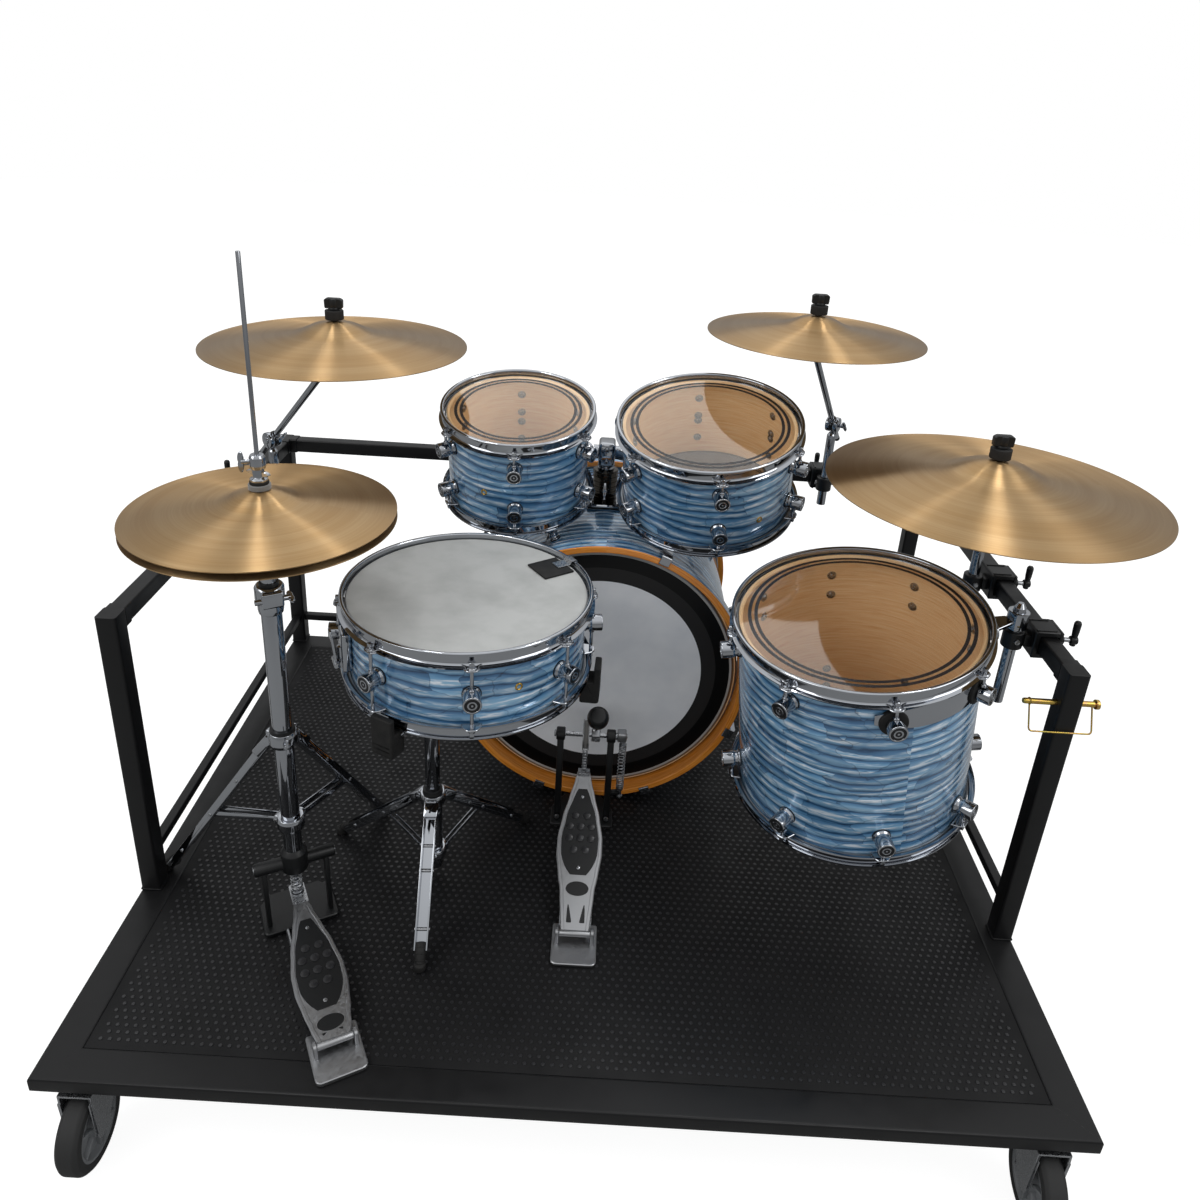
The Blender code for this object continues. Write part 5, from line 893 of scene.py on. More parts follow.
def build_toms():
    mount = Vector((0.006, 0.300, 0.624))
    for name, azimuth, bracket_z, side in (("tom_left", 63.0, -0.141, -1), ("tom_right", 123.0, -0.133, 1)):
        drum = DRUMS[name]
        frame = drum_frame(drum["rim"], drum["tilt"])
        radius = drum["radius"]

        def bracket_and_arm(shell):
            """Suspension plate on rubber at two lugs, its bracket, and the arm into the mount."""
            turn = frame @ turned_to(azimuth)
            lugs = [drum["lug_start"] + 60 * i for i in range(6)]
            near = sorted(lugs, key=lambda a: abs((a - azimuth + 180) % 360 - 180))[:2]
            first, last = sorted(near)
            add_curved_plate(shell, "chrome", frame, radius + 0.0030, 0.0026, -0.066, -0.030,
                             first - 9, last + 9, 0.010)
            for lug in near:
                spot = frame @ aimed(polar(radius, lug, -LUG_INSET), polar(1, lug))
                shell.turned("rubber", rounded([(0, 0.0002), (0.0195, 0.0002), (0.0205, 0.0020),
                                                (0.0200, 0.0085), (0, 0.0085)],
                                               [0, 0.001, 0.001, 0.002, 0], 3), 40, spot)
            shell.block("chrome", (radius + 0.0004, -0.019, bracket_z - 0.018),
                        (radius + 0.019, 0.019, bracket_z + 0.018), turn, 0.004, 3)
            shell.rod("chrome", (radius + 0.010, 0, bracket_z - 0.019), (radius + 0.010, 0, bracket_z + 0.019),
                      0.0125, 28, turn, soften=0.001)
            start = mount + Vector((side * 0.0165, 0, 0))
            elbow = mount + Vector((side * 0.034, 0, 0))
            seat = turn @ Vector((radius + 0.012, 0, bracket_z))
            path = rounded([start, elbow, seat], 0.020, 8, closed=False)
            shell.tube("chrome", path, 0.0088, 20)
            wing = start.lerp(elbow, 0.25)
            shell.sleeve("chrome", wing - Vector((0.005, 0, 0)), wing + Vector((0.005, 0, 0)), 0.0086, 0.0135, 28)

        build_drum(name, name, drum, frame, bracket_and_arm)


def build_floor_tom():
    drum = DRUMS["floor_tom"]
    frame = drum_frame(drum["rim"], drum["tilt"])
    radius = drum["radius"]
    post = Vector((0.663625, -0.112, 0.538))
    centre = frame.inverted() @ post
    azimuth = math.degrees(math.atan2(centre.y, centre.x))
    reach = math.hypot(centre.x, centre.y)

    def suspension(shell):
        """Steel band on rubber at three lugs, and the forged tongue that grips the post."""
        lugs = [drum["lug_start"] + 45 * i for i in range(4)]
        add_curved_plate(shell, "chrome", frame, radius + 0.0030, 0.0026, -0.067, -0.031,
                         lugs[0] - 8, lugs[3] + 8, 0.010)
        for lug in lugs:
            spot = frame @ aimed(polar(radius, lug, -LUG_INSET), polar(1, lug))
            shell.turned("rubber", rounded([(0, 0.0002), (0.0195, 0.0002), (0.0205, 0.0020),
                                            (0.0200, 0.0085), (0, 0.0085)],
                                           [0, 0.001, 0.001, 0.002, 0], 3), 40, spot)
        turn = frame @ turned_to(azimuth)
        z = centre.z
        tongue = rounded([(radius + 0.004, -0.028), (radius + 0.004, 0.028), (reach - 0.013, 0.010),
                          (reach - 0.013, -0.010)], [0.004, 0.004, 0.006, 0.006], 4)
        shell.plate("chrome", tongue, z - 0.0028, z + 0.0028, turn, 0.0008)
        shell.sleeve("chrome", post - Vector((0, 0, 0.014)), post + Vector((0, 0, 0.014)), 0.0098, 0.0162, 36)
        for side in (-1, 1):
            shell.bar("chrome", (radius + 0.006, side * 0.022, z), (reach - 0.020, side * 0.007, z),
                      0.007, 0.0045, (0, 0, 1), turn)

    build_drum("floor_tom", "floor_tom", drum, frame, suspension)


def build_snare():
    drum = SNARE
    frame = drum_frame(drum["rim"], drum["tilt"])
    radius = drum["radius"]
    middle = -drum["lug_z"]

    def strainer_and_butt(shell):
        """The throw-off's body at one side and the butt that clamps the wires at the other."""
        turn = frame @ turned_to(205.0)
        shell.block("chrome", (radius + 0.0003, -0.017, middle - 0.034), (radius + 0.014, 0.017, middle + 0.030),
                    turn, 0.004, 3)
        shell.rod("chrome", (radius + 0.013, 0, middle + 0.004), (radius + 0.013, 0, middle - 0.030), 0.006, 20,
                  turn)
        butt = frame @ turned_to(25.0)
        shell.block("chrome", (radius + 0.0003, -0.016, middle - 0.034), (radius + 0.012, 0.016, middle + 0.014),
                    butt, 0.004, 3)
        for side in (-1, 1):
            shell.rod("steel", (radius + 0.011, side * 0.009, middle - 0.010),
                      (radius + 0.0148, side * 0.009, middle - 0.010), 0.0035, 16, butt)

    radius_of = [drum["lug_start"] + 45 * i for i in range(8)]
    build_shell("snare", "cart", drum, frame, radius_of, strainer_and_butt)
    reach = drum["lug_z"] - 0.0115
    build_hoop("snare", "cart", ["snare_hoop"], frame, radius, radius_of, reach, "top")
    total = drum_total(drum["length"])
    under = frame @ Matrix.Translation((0, 0, -total)) @ Matrix.Rotation(math.pi, 4, "X")
    build_hoop("snare", "cart", ["snare_bottom"], under, radius, [-a for a in radius_of[::-1]], reach, "bottom")
    build_head("snare_top_film", "cart", ["snare_head"], frame, radius, "coated", [], "coated_film")
    build_head("snare_bottom_film", "cart", [], under, radius, "hazy", [], "chrome")
    # Damper pad on the head, held by a spring clip over the hoop
    turn = frame @ turned_to(36.0)
    pad = Piece("snare_damper_pad")
    pad.block("rubber", (0.119, -0.0270, -HEAD_DROP + 0.0002), (0.172, 0.0270, -HEAD_DROP + 0.0036), turn, 0.0012)
    clip = strip(rounded([(0.154, -0.0038), (0.1765, -0.0038), (0.1790, 0.0014), (0.1895, 0.0014),
                          (0.1895, -0.0100)], [0, 0.002, 0.002, 0.003, 0], 3, closed=False), 0.0012)
    pad.plate("steel", [(p.x, -p.y) for p in clip], -0.0095, 0.0095, turn @ Matrix.Rotation(-math.pi / 2, 4, "X"),
              0.0002)
    pad.done("cart", slot="black_hardware")
    wires = Piece("snare_wires_and_plates")
    turn = frame @ turned_to(205.0)
    top = HEAD_DROP - total - 0.0003
    for i in range(16):
        y = (i - 7.5) * 0.0025
        wires.tube("steel", [(-0.146, y, top - 0.0010), (0.146, y, top - 0.0010)], 0.0007, 6, turn)
    for side in (-1, 1):
        x = side * 0.1512
        wires.block("steel", (x - 0.006, -0.022, top - 0.0020), (x + 0.006, 0.022, top), turn, 0.0004)
    wires.done("cart", "snare_wires", slot="steel")
    lever = Piece("throw_off_lever")
    turn = frame @ Matrix.Translation((0, 0, middle)) @ turned_to(205.0)
    hinge = Vector((radius + 0.0215, 0, -0.022))
    lever.rod("chrome", hinge - Vector((0, 0.013, 0)), hinge + Vector((0, 0.013, 0)), 0.0044, 24, turn)
    outline = rounded([(-0.0095, 0.0), (0.0095, 0.0), (0.0095, 0.046), (0.006, 0.056), (-0.006, 0.056),
                       (-0.0095, 0.046)], [0.002, 0.002, 0.006, 0.004, 0.004, 0.006], 4)
    lever.plate("chrome", outline, -0.0018, 0.0018, turn @ aimed(hinge, (1, 0, -0.107), (0, 1, 0)), 0.0006)
    lever.done("throw_off_lever", "snare_lever", slot="chrome")


# Cymbals, booms and rail clamps

RAIL_Z = 0.505125
CYMBAL_WALL = 0.0012
CYMBALS = {
    "crash_left": {"rim": (-0.482, 0.207, 0.829), "radius": 9 * INCH, "joint": (-0.663625, 0.352, 0.590)},
    "crash_right": {"rim": (0.385, 0.349, 0.864), "radius": 8 * INCH, "joint": (0.485, 0.511125, 0.640)},
    "ride": {"rim": (0.603, -0.054, 0.732), "radius": 10 * INCH, "joint": (0.663625, 0.078, 0.610)},
}
CLAMPS = (
    # node, rail's axis, inwards, along the rail, post's bottom and top
    ("floor_tom_clamp", (0.710625, -0.112, RAIL_Z), (-1, 0, 0), (0, 1, 0), 0.385, 0.566),
    ("ride_clamp", (0.710625, 0.078, RAIL_Z), (-1, 0, 0), (0, 1, 0), 0.455, 0.5932),
    ("crash_right_clamp", (0.485, 0.558125, RAIL_Z), (0, -1, 0), (1, 0, 0), 0.455, 0.6232),
    ("crash_left_clamp", (-0.710625, 0.352, RAIL_Z), (1, 0, 0), (0, 1, 0), 0.455, 0.5732),
)


def bell_height(radius):
    return 0.115 * radius * (1 - 0.24 ** 1.7) + 0.080 * radius


def cymbal_outline(radius):
    """A cymbal's section: bow from the rim at z 0, a bell that flows into it, hole, and its underside."""
    top = []
    for i in range(33):
        r = radius + (0.0066 - radius) * i / 32
        share = min(1.0, r / (0.31 * radius))
        bell = (bell_height(radius) - 0.115 * radius) * (1 + math.cos(math.pi * share ** 1.5)) / 2
        top.append(Vector((r, 0.115 * radius * (1 - (r / radius) ** 1.7) + bell)))
    under = [(r, z - CYMBAL_WALL) for r, z in reversed(top)]
    return top + [Vector(p) for p in under]


def build_cymbals():
    for name, cymbal in CYMBALS.items():
        plate = Piece(name + "_plate")
        plate.turned("bronze", cymbal_outline(cymbal["radius"]), 160, Matrix.Translation(cymbal["rim"]))
        plate.done(name + "_cymbal", name, slot="cymbal_bronze", sharp=60)


def felt_outline(thick, width=0.015):
    """A felt that falls away from its inner edge, so the cymbal can rock on it."""
    return rounded([(0.0052, -0.0009), (width, -0.0032), (width, -thick), (0.0052, -thick)], [0, 0.0012, 0.0012, 0])


def add_wing(piece, finish, frame, reach, width, thickness):
    """A wing screw's two lobes, which lie along X, on a hub along Z."""
    outline = []
    for n in range(28):
        angle = 2 * math.pi * n / 28
        swell = 0.46 + 0.54 * abs(math.cos(angle)) ** 1.6
        outline.append((reach * swell * math.cos(angle), width * (0.55 + 0.45 * abs(math.cos(angle)))
                        * math.sin(angle)))
    piece.plate(finish, outline, -thickness / 2, thickness / 2, frame @ Matrix.Rotation(math.pi / 2, 4, "X"),
                min(0.0012, thickness * 0.3))


def build_booms():
    up = Vector((0, 0, 1))
    for name, cymbal in CYMBALS.items():
        joint, rim = Vector(cymbal["joint"]), Vector(cymbal["rim"])
        top = rim + up * bell_height(cymbal["radius"])
        seat = top - up * 0.0014
        tilter = seat - up * 0.059
        way = (tilter - joint).normalized()
        hinge = up.cross(way).normalized()
        boom = Piece(name + "_boom_arm")
        # Geared joint at the post: two cheeks, a toothed disc between them and its wing screw
        for low, high, r in ((-0.0130, -0.0035, 0.0162), (0.0035, 0.0130, 0.0162)):
            boom.rod("chrome", joint + hinge * low, joint + hinge * high, r, 36, soften=0.0015)
        boom.rod("nylon", joint - hinge * 0.0036, joint + hinge * 0.0036, 0.0150, 24, soften=0.0004)
        boom.rod("chrome", joint - hinge * 0.0150, joint - hinge * 0.0125, 0.0070, 20, soften=0.0008)
        wing = joint + hinge * 0.0125
        boom.rod("chrome", wing, wing + hinge * 0.0125, 0.0045, 16)
        add_wing(boom, "chrome", aimed(wing + hinge * 0.0125, hinge, way), 0.018, 0.0060, 0.0040)
        # Boom tube: tail behind the joint, an end cap, and a knurled gripping length
        tail = joint - way * 0.0615
        boom.rod("chrome", tail + way * 0.003, tilter - way * 0.004, 0.0062, 24)
        boom.rod("rubber", tail, tail + way * 0.010, 0.0064, 20, soften=0.0015)
        boom.sleeve("chrome", joint - way * 0.0125, joint + way * 0.0210, 0.0060, 0.0098, 28, soften=0.0012)
        boom.sleeve("chrome", tilter - way * 0.026, tilter - way * 0.006, 0.0060, 0.0082, 24, soften=0.0012)
        # Ratchet tilter under the cymbal
        for low, high in ((-0.0110, -0.0030), (0.0030, 0.0110)):
            boom.rod("chrome", tilter + hinge * low, tilter + hinge * high, 0.0093, 28, soften=0.0010)
        boom.rod("nylon", tilter - hinge * 0.0031, tilter + hinge * 0.0031, 0.0085, 20, soften=0.0003)
        boom.rod("chrome", tilter + hinge * 0.0105, tilter + hinge * 0.0140, 0.0040, 12)
        boom.rod("chrome", tilter, seat - up * 0.0095, 0.0040, 20)
        boom.turned("chrome", rounded([(0.0038, -0.0110), (0.0085, -0.0110), (0.0112, -0.0085),
                                       (0.0112, -0.0066), (0.0038, -0.0066)], 0.0006, 2), 36,
                    Matrix.Translation(seat))
        boom.turned("felt", felt_outline(0.0070), 40, Matrix.Translation(seat))
        boom.turned("nylon", rounded([(0.0036, -0.006), (0.0058, -0.006), (0.0058, 0.0064), (0.0036, 0.0064)],
                                     0.0004, 2), 24, Matrix.Translation(seat))
        over = Matrix.Translation(top) @ Matrix.Rotation(math.pi, 4, "X")
        boom.turned("rubber", felt_outline(0.0190, 0.0160), 48, over)
        boom.rod("nylon", top + up * 0.0180, top + up * 0.0240, 0.0095, 28, soften=0.0015)
        nut = rounded([(-0.0155, 0.0220), (0.0155, 0.0220), (0.0160, 0.0370), (0.0110, 0.0400),
                       (-0.0110, 0.0400), (-0.0160, 0.0370)], [0.003, 0.003, 0.003, 0.006, 0.006, 0.003], 4)
        boom.plate("nylon", nut, -0.0055, 0.0055, Matrix.Translation(top) @ Matrix.Rotation(math.pi / 2, 4, "X"),
                   0.0014)
        boom.rod("nylon", top + up * 0.0220, top + up * 0.0390, 0.0078, 24, soften=0.0015)
        boom.done(name + "_arm", name + "_boom", slot="chrome")


def build_clamps():
    up = Vector((0, 0, 1))
    for node, rail, inward, along, low_z, top_z in CLAMPS:
        rail, inward, along = Vector(rail), Vector(inward), Vector(along)
        frame = aimed(rail, along, inward)
        clamp = Piece(node + "_casting")
        half, wall = 0.0146, 0.009
        jaw = [(half, -half), (half, half), (-half - 0.001, half), (-half - 0.001, half + wall),
               (half + wall, half + wall), (half + wall, -half - wall), (-half - 0.001, -half - wall),
               (-half - 0.001, -half)]
        clamp.plate("nylon", rounded(jaw, [0, 0, 0.002, 0.002, 0.005, 0.005, 0.002, 0.002], 4), -0.023, 0.023,
                    frame, 0.0015)
        for side in (-1, 1):
            rib = [(x * 1.0, y) for x, y in ((half + 0.006, -half - wall - 0.0016), (half + 0.006, half + wall + 0.0016),
                                             (-half + 0.004, half + wall + 0.0016),
                                             (-half + 0.004, half + wall - 0.002), (half + wall - 0.004, half + 0.004),
                                             (half + wall - 0.004, -half - 0.004), (-half + 0.004, -half - wall + 0.002),
                                             (-half + 0.004, -half - wall - 0.0016))]
            clamp.plate("nylon", rib, side * 0.017 - 0.002, side * 0.017 + 0.002, frame, 0.0005)
        clamp.block("nylon", (-half - 0.0063, -half - wall + 0.0005, -0.0225),
                    (-half, half + wall - 0.0005, 0.0225), frame, 0.002, 3)
        clamp.block("nylon", (-half - 0.0095, -0.0085, -0.0110), (-half - 0.005, 0.0085, 0.0110), frame, 0.002)
        start = rail - inward * (half + 0.0053)
        end = start - inward * 0.0293
        clamp.rod("steel", start, end, 0.0038, 16)
        clamp.rod("nylon", start - inward * 0.0045, start - inward * 0.0120, 0.0080, 24, soften=0.0015)
        low, high = end - up * 0.010, end + up * 0.034
        clamp.turned("nylon", rounded([(0, 0), (0.0048, 0), (0.0042, 0.012), (0.0055, 0.026), (0.0058, 0.040),
                                       (0.0040, 0.044), (0, 0.044)],
                                      [0, 0.002, 0.008, 0.01, 0.003, 0.002, 0], 4), 24,
                     aimed(low, high - low))
        clamp.rod("nylon", end + inward * 0.006, end - inward * 0.0055, 0.0070, 24, soften=0.0018)
        # Eye that grips the upright post, with its hinge and screw
        post = rail + inward * 0.047
        clamp.turned("nylon", rounded([(0.0096, -0.016), (0.0164, -0.016), (0.0164, 0.013), (0.0096, 0.013)],
                                      [0.0004, 0.002, 0.002, 0.0004], 3), 40, Matrix.Translation(post))
        clamp.rod("nylon", rail + inward * (half + wall - 0.001), rail + inward * 0.0345, 0.0092, 28)
        clamp.block("nylon", (half + wall - 0.002, -0.0105, -0.0125), (0.034, 0.0105, 0.0125), frame, 0.002)
        for side in (-1, 1):
            clamp.rod("steel", post + along * side * 0.0150 + up * 0.0, post + along * side * 0.0195, 0.0042, 16)
        clamp.rod("chrome", (post.x, post.y, low_z), (post.x, post.y, top_z - 0.007), 0.0094, 36, soften=0.001)
        clamp.turned("chrome", [(0, top_z - 0.0072), (0.0092, top_z - 0.0072), (0.0070, top_z - 0.0038),
                                (0.0044, top_z), (0, top_z)], 28, Matrix.Translation((post.x, post.y, 0)))
        clamp.done("cart", node, slot="black_hardware")


# Hi-hat

HIHAT_AT = (-0.454, -0.270)
HIHAT_RIM_Z = 0.720
HIHAT_RADIUS = 7 * INCH
HIHAT_LOWER_Z = 0.708


def add_leg(piece, top, foot, width, thickness, brace):
    """A leg pressed from strip, round-backed over two straps, with cross rivets, its rubber foot, and its strap to the lower collar."""
    top, foot, near = Vector(top), Vector(foot), Vector(brace[0])
    level = Vector((foot.x - top.x, foot.y - top.y, 0)).normalized()
    across = Vector((0, 0, 1)).cross(level)
    heel = foot + Vector((0, 0, 0.020)) - level * 0.016
    knee = top.lerp(heel, 0.12) + Vector((0, 0, 0.004))
    away = (heel - top).normalized()
    square = across.cross(away).normalized()
    for side in (-1, 1):
        offset = across * side * (width / 2 - 0.0014)
        piece.bar("chrome", top + offset, heel + offset, thickness, 0.0024, across, bevel=0.0006)
    back = square * thickness * 0.22
    piece.bar("chrome", top + back, heel + back, width, thickness * 0.62, square, bevel=thickness * 0.3, steps=4)
    piece.bar("chrome", top - away * 0.002, knee, width + 0.001, thickness + 0.002, square, bevel=0.002)
    for share in (0.30, brace[2], 0.86):
        spot = top.lerp(heel, share)
        piece.rod("steel", spot - across * (width / 2 + 0.0012), spot + across * (width / 2 + 0.0012), 0.0030, 14)
    far = top.lerp(heel, brace[2])
    for side in (-1, 1):
        offset = across * side * (brace[1] / 2)
        piece.bar("chrome", near + offset, far + offset, 0.0095 if brace[3] else 0.0046, 0.0022, across,
                  bevel=0.0006)
    for spot in (near, far):
        piece.rod("steel", spot - across * (brace[1] / 2 + 0.003), spot + across * (brace[1] / 2 + 0.003), 0.0032, 14)
    foot_way = heel - away * 0.012
    piece.rod("rubber", foot_way, Vector((foot.x, foot.y, 0.0080)), 0.0098, 24, end_radius=0.0078, soften=0.002)
    piece.turned("rubber", rounded([(0, 0.0003), (0.0098, 0.0003), (0.0092, 0.0120), (0, 0.0140)],
                                   [0, 0.002, 0.003, 0], 3), 28, Matrix.Translation((foot.x, foot.y, 0)))
    for step in (0.2, 0.5, 0.8):
        spot = foot_way.lerp(Vector((foot.x, foot.y, 0.0080)), step)
        piece.rod("rubber", spot - away * 0.0012, spot + away * 0.0012, 0.0102 - 0.0012 * step, 24, soften=0.0008)


def add_collar(piece, centre, z, inner, outer, height, azimuths, screw):
    """A die-cast collar with a lug towards each leg and a wing screw."""
    spot = Vector((centre[0], centre[1], z))
    half = height / 2
    piece.turned("chrome", rounded([(inner, -half), (outer - 0.0015, -half), (outer, -half * 0.5),
                                    (outer, half * 0.5), (outer - 0.0015, half), (inner, half)], 0.0012, 3), 48,
                 Matrix.Translation(spot))
    for azimuth in azimuths:
        turn = Matrix.Translation(spot) @ turned_to(azimuth)
        piece.block("chrome", (inner, -0.0085, -half * 0.8), (outer + 0.0035, 0.0085, half * 0.8), turn, 0.002, 3)
    if screw is not None:
        out = polar(1.0, screw)
        piece.rod("chrome", spot + out * (outer - 0.002), spot + out * (outer + 0.010), 0.0048, 20)
        add_wing(piece, "chrome", aimed(spot + out * (outer + 0.011), out, (0, 0, 1)), 0.0165, 0.0065, 0.0045)


def build_hihat_stand():
    x, y = HIHAT_AT
    at = Matrix.Translation((x, y, 0))
    stand = Piece("hihat_stand_chrome")
    stand.sleeve("chrome", (x, y, 0.115), (x, y, 0.584), 0.0125, 0.0144, 48)
    # Height clamp: cast split collar with its hinge and screw, over the tube's nylon bush
    stand.turned("chrome", rounded([(0.0105, 0.566), (0.0168, 0.566), (0.0178, 0.572), (0.0178, 0.583),
                                    (0.0204, 0.588), (0.0204, 0.606), (0.0180, 0.6098), (0.0105, 0.6098)],
                                   [0, 0.001, 0.002, 0.002, 0.002, 0.002, 0.002, 0], 3), 48, at)
    screw = at @ turned_to(-60.0)
    stand.block("chrome", (0.015, -0.0150, 0.583), (0.026, 0.0150, 0.607), screw, 0.004, 3)
    stand.rod("chrome", (0.021, -0.024, 0.595), (0.021, 0.024, 0.595), 0.0042, 20, screw)
    add_wing(stand, "chrome", screw @ aimed((0.021, 0.024, 0.595), (0, 1, 0), (1, 0, 0)), 0.0165, 0.0065, 0.0045)
    stand.turned("nylon", [(0.0110, 0.6096), (0.0140, 0.6096), (0.0135, 0.6135), (0.0110, 0.6135)], 36, at)
    stand.sleeve("chrome", (x, y, 0.590), (x, y, 0.655), 0.0052, 0.0109, 40)
    # Cup that carries the lower cymbal, with its tilt screw
    seat = HIHAT_LOWER_Z - bell_height(HIHAT_RADIUS)
    stand.turned("chrome", rounded([(0.0052, 0.652), (0.0085, 0.652), (0.0080, seat - 0.016), (0.0125, seat - 0.0135),
                                    (0.0198, seat - 0.0115), (0.0198, seat - 0.0070), (0.0120, seat - 0.0050),
                                    (0.0052, seat - 0.0050)], 0.0010, 3), 48, at)
    stand.turned("felt", rounded([(0.0054, seat - 0.0052), (0.0135, seat - 0.0052), (0.0128, seat - 0.0003),
                                  (0.0054, seat - 0.0003)], 0.0012, 3), 40, at)
    tilt = at @ turned_to(200.0)
    stand.rod("chrome", (0.0170, 0, seat - 0.0092), (0.0290, 0, seat - 0.0092), 0.0028, 14, tilt)
    add_wing(stand, "chrome", tilt @ aimed((0.0300, 0, seat - 0.0092), (1, 0, 0), (0, 0, 1)), 0.010, 0.0045, 0.0032)
    legs = (163.0, 72.0)
    add_collar(stand, HIHAT_AT, 0.352, 0.0135, 0.0212, 0.024, legs, -60.0)
    add_collar(stand, HIHAT_AT, 0.192, 0.0135, 0.0212, 0.022, legs, None)
    stand.turned("nylon", [(0.0135, 0.3640), (0.0190, 0.3640), (0.0180, 0.3690), (0.0135, 0.3690)], 40, at)
    for azimuth in legs:
        out = polar(1.0, azimuth)
        top = Vector((x, y, 0.348)) + out * 0.0185
        foot = Vector((x, y, 0)) + out * 0.262
        add_leg(stand, top, foot, 0.0225, 0.0125, (Vector((x, y, 0.192)) + out * 0.0225, 0.013, 0.56, True))
    # Yoke over the pedal, spring housing, base plate, side rods and heel plate
    frame = at @ turned_to(-62.0)
    stand.rod("nylon", (0, -0.0625, 0.112), (0, 0.0625, 0.112), 0.0104, 28, frame, soften=0.003)
    stand.turned("nylon", rounded([(0.0060, 0.098), (0.0205, 0.098), (0.0215, 0.112), (0.0200, 0.132), (0.0142, 0.140),
                                   (0.0060, 0.140)], [0, 0.003, 0.004, 0.004, 0.002, 0], 4), 40, at)
    for side in (-1, 1):
        lean = (0.012, side * 0.048, 0.007), (0.0, side * 0.048, 0.112)
        stand.bar("nylon", *lean, 0.0165, 0.0072, (0, 1, 0), frame, 0.002)
        stand.rod("steel", (0, side * 0.0600, 0.112), (0, side * 0.0632, 0.112), 0.0060, 20, frame)
        stand.rod("steel", (0.030, side * 0.024, 0.0045), (0.240, side * 0.024, 0.0045), 0.0030, 14, frame)
    base = rounded([(-0.050, -0.040), (-0.030, -0.058), (0.034, -0.058), (0.034, 0.058), (-0.030, 0.058),
                    (-0.050, 0.040)], 0.008, 4)
    stand.plate("nylon", base, 0.0003, 0.0080, frame, 0.0015)
    add_heel_plate(stand, frame, 0.270, 0.0080)
    stand.done("cart", "hihat_stand", slot="chrome")


def add_heel_plate(piece, frame, heel, base):
    """Heel plate with the two lugs that hold the footboard's hinge pin, and a ribbed rubber pad."""
    outline = rounded([(heel - 0.034, -0.036), (heel + 0.045, -0.036), (heel + 0.045, 0.036),
                       (heel - 0.034, 0.036)], [0.004, 0.010, 0.010, 0.004], 4)
    piece.plate("alloy", outline, 0.0018, base, frame, 0.0012)
    piece.plate("rubber", outline, 0.0003, 0.0020, frame, 0.0004)
    for side in (-1, 1):
        ys = sorted((side * 0.0258, side * 0.0310))
        lug = rounded([(heel - 0.009, base - 0.001), (heel + 0.009, base - 0.001), (heel + 0.007, 0.0305),
                       (heel - 0.007, 0.0305)], [0, 0, 0.006, 0.006], 4)
        piece.plate("alloy", [(x, -z) for x, z in lug], ys[0], ys[1],
                    frame @ Matrix.Rotation(-math.pi / 2, 4, "X"), 0.0008)
    for i in range(4):
        x = heel + 0.012 + i * 0.0075
        piece.block("rubber", (x, -0.026, base - 0.0008), (x + 0.0035, 0.026, base - 0.0001), frame, 0.0003)


def build_hihat_cymbals():
    x, y = HIHAT_AT
    lower = Piece("hihat_lower_plate")
    lower.turned("bronze", cymbal_outline(HIHAT_RADIUS), 144,
                 Matrix.Translation((x, y, HIHAT_LOWER_Z)) @ Matrix.Rotation(math.pi, 4, "X"))
    lower.done("cart", "hihat_bottom_cymbal", slot="cymbal_bronze", sharp=60)
    upper = Piece("hihat_upper_plate")
    upper.turned("bronze", cymbal_outline(HIHAT_RADIUS), 144, Matrix.Translation((x, y, HIHAT_RIM_Z)))
    upper.done("hihat_top", "hihat_top_cymbal", slot="cymbal_bronze", sharp=60)


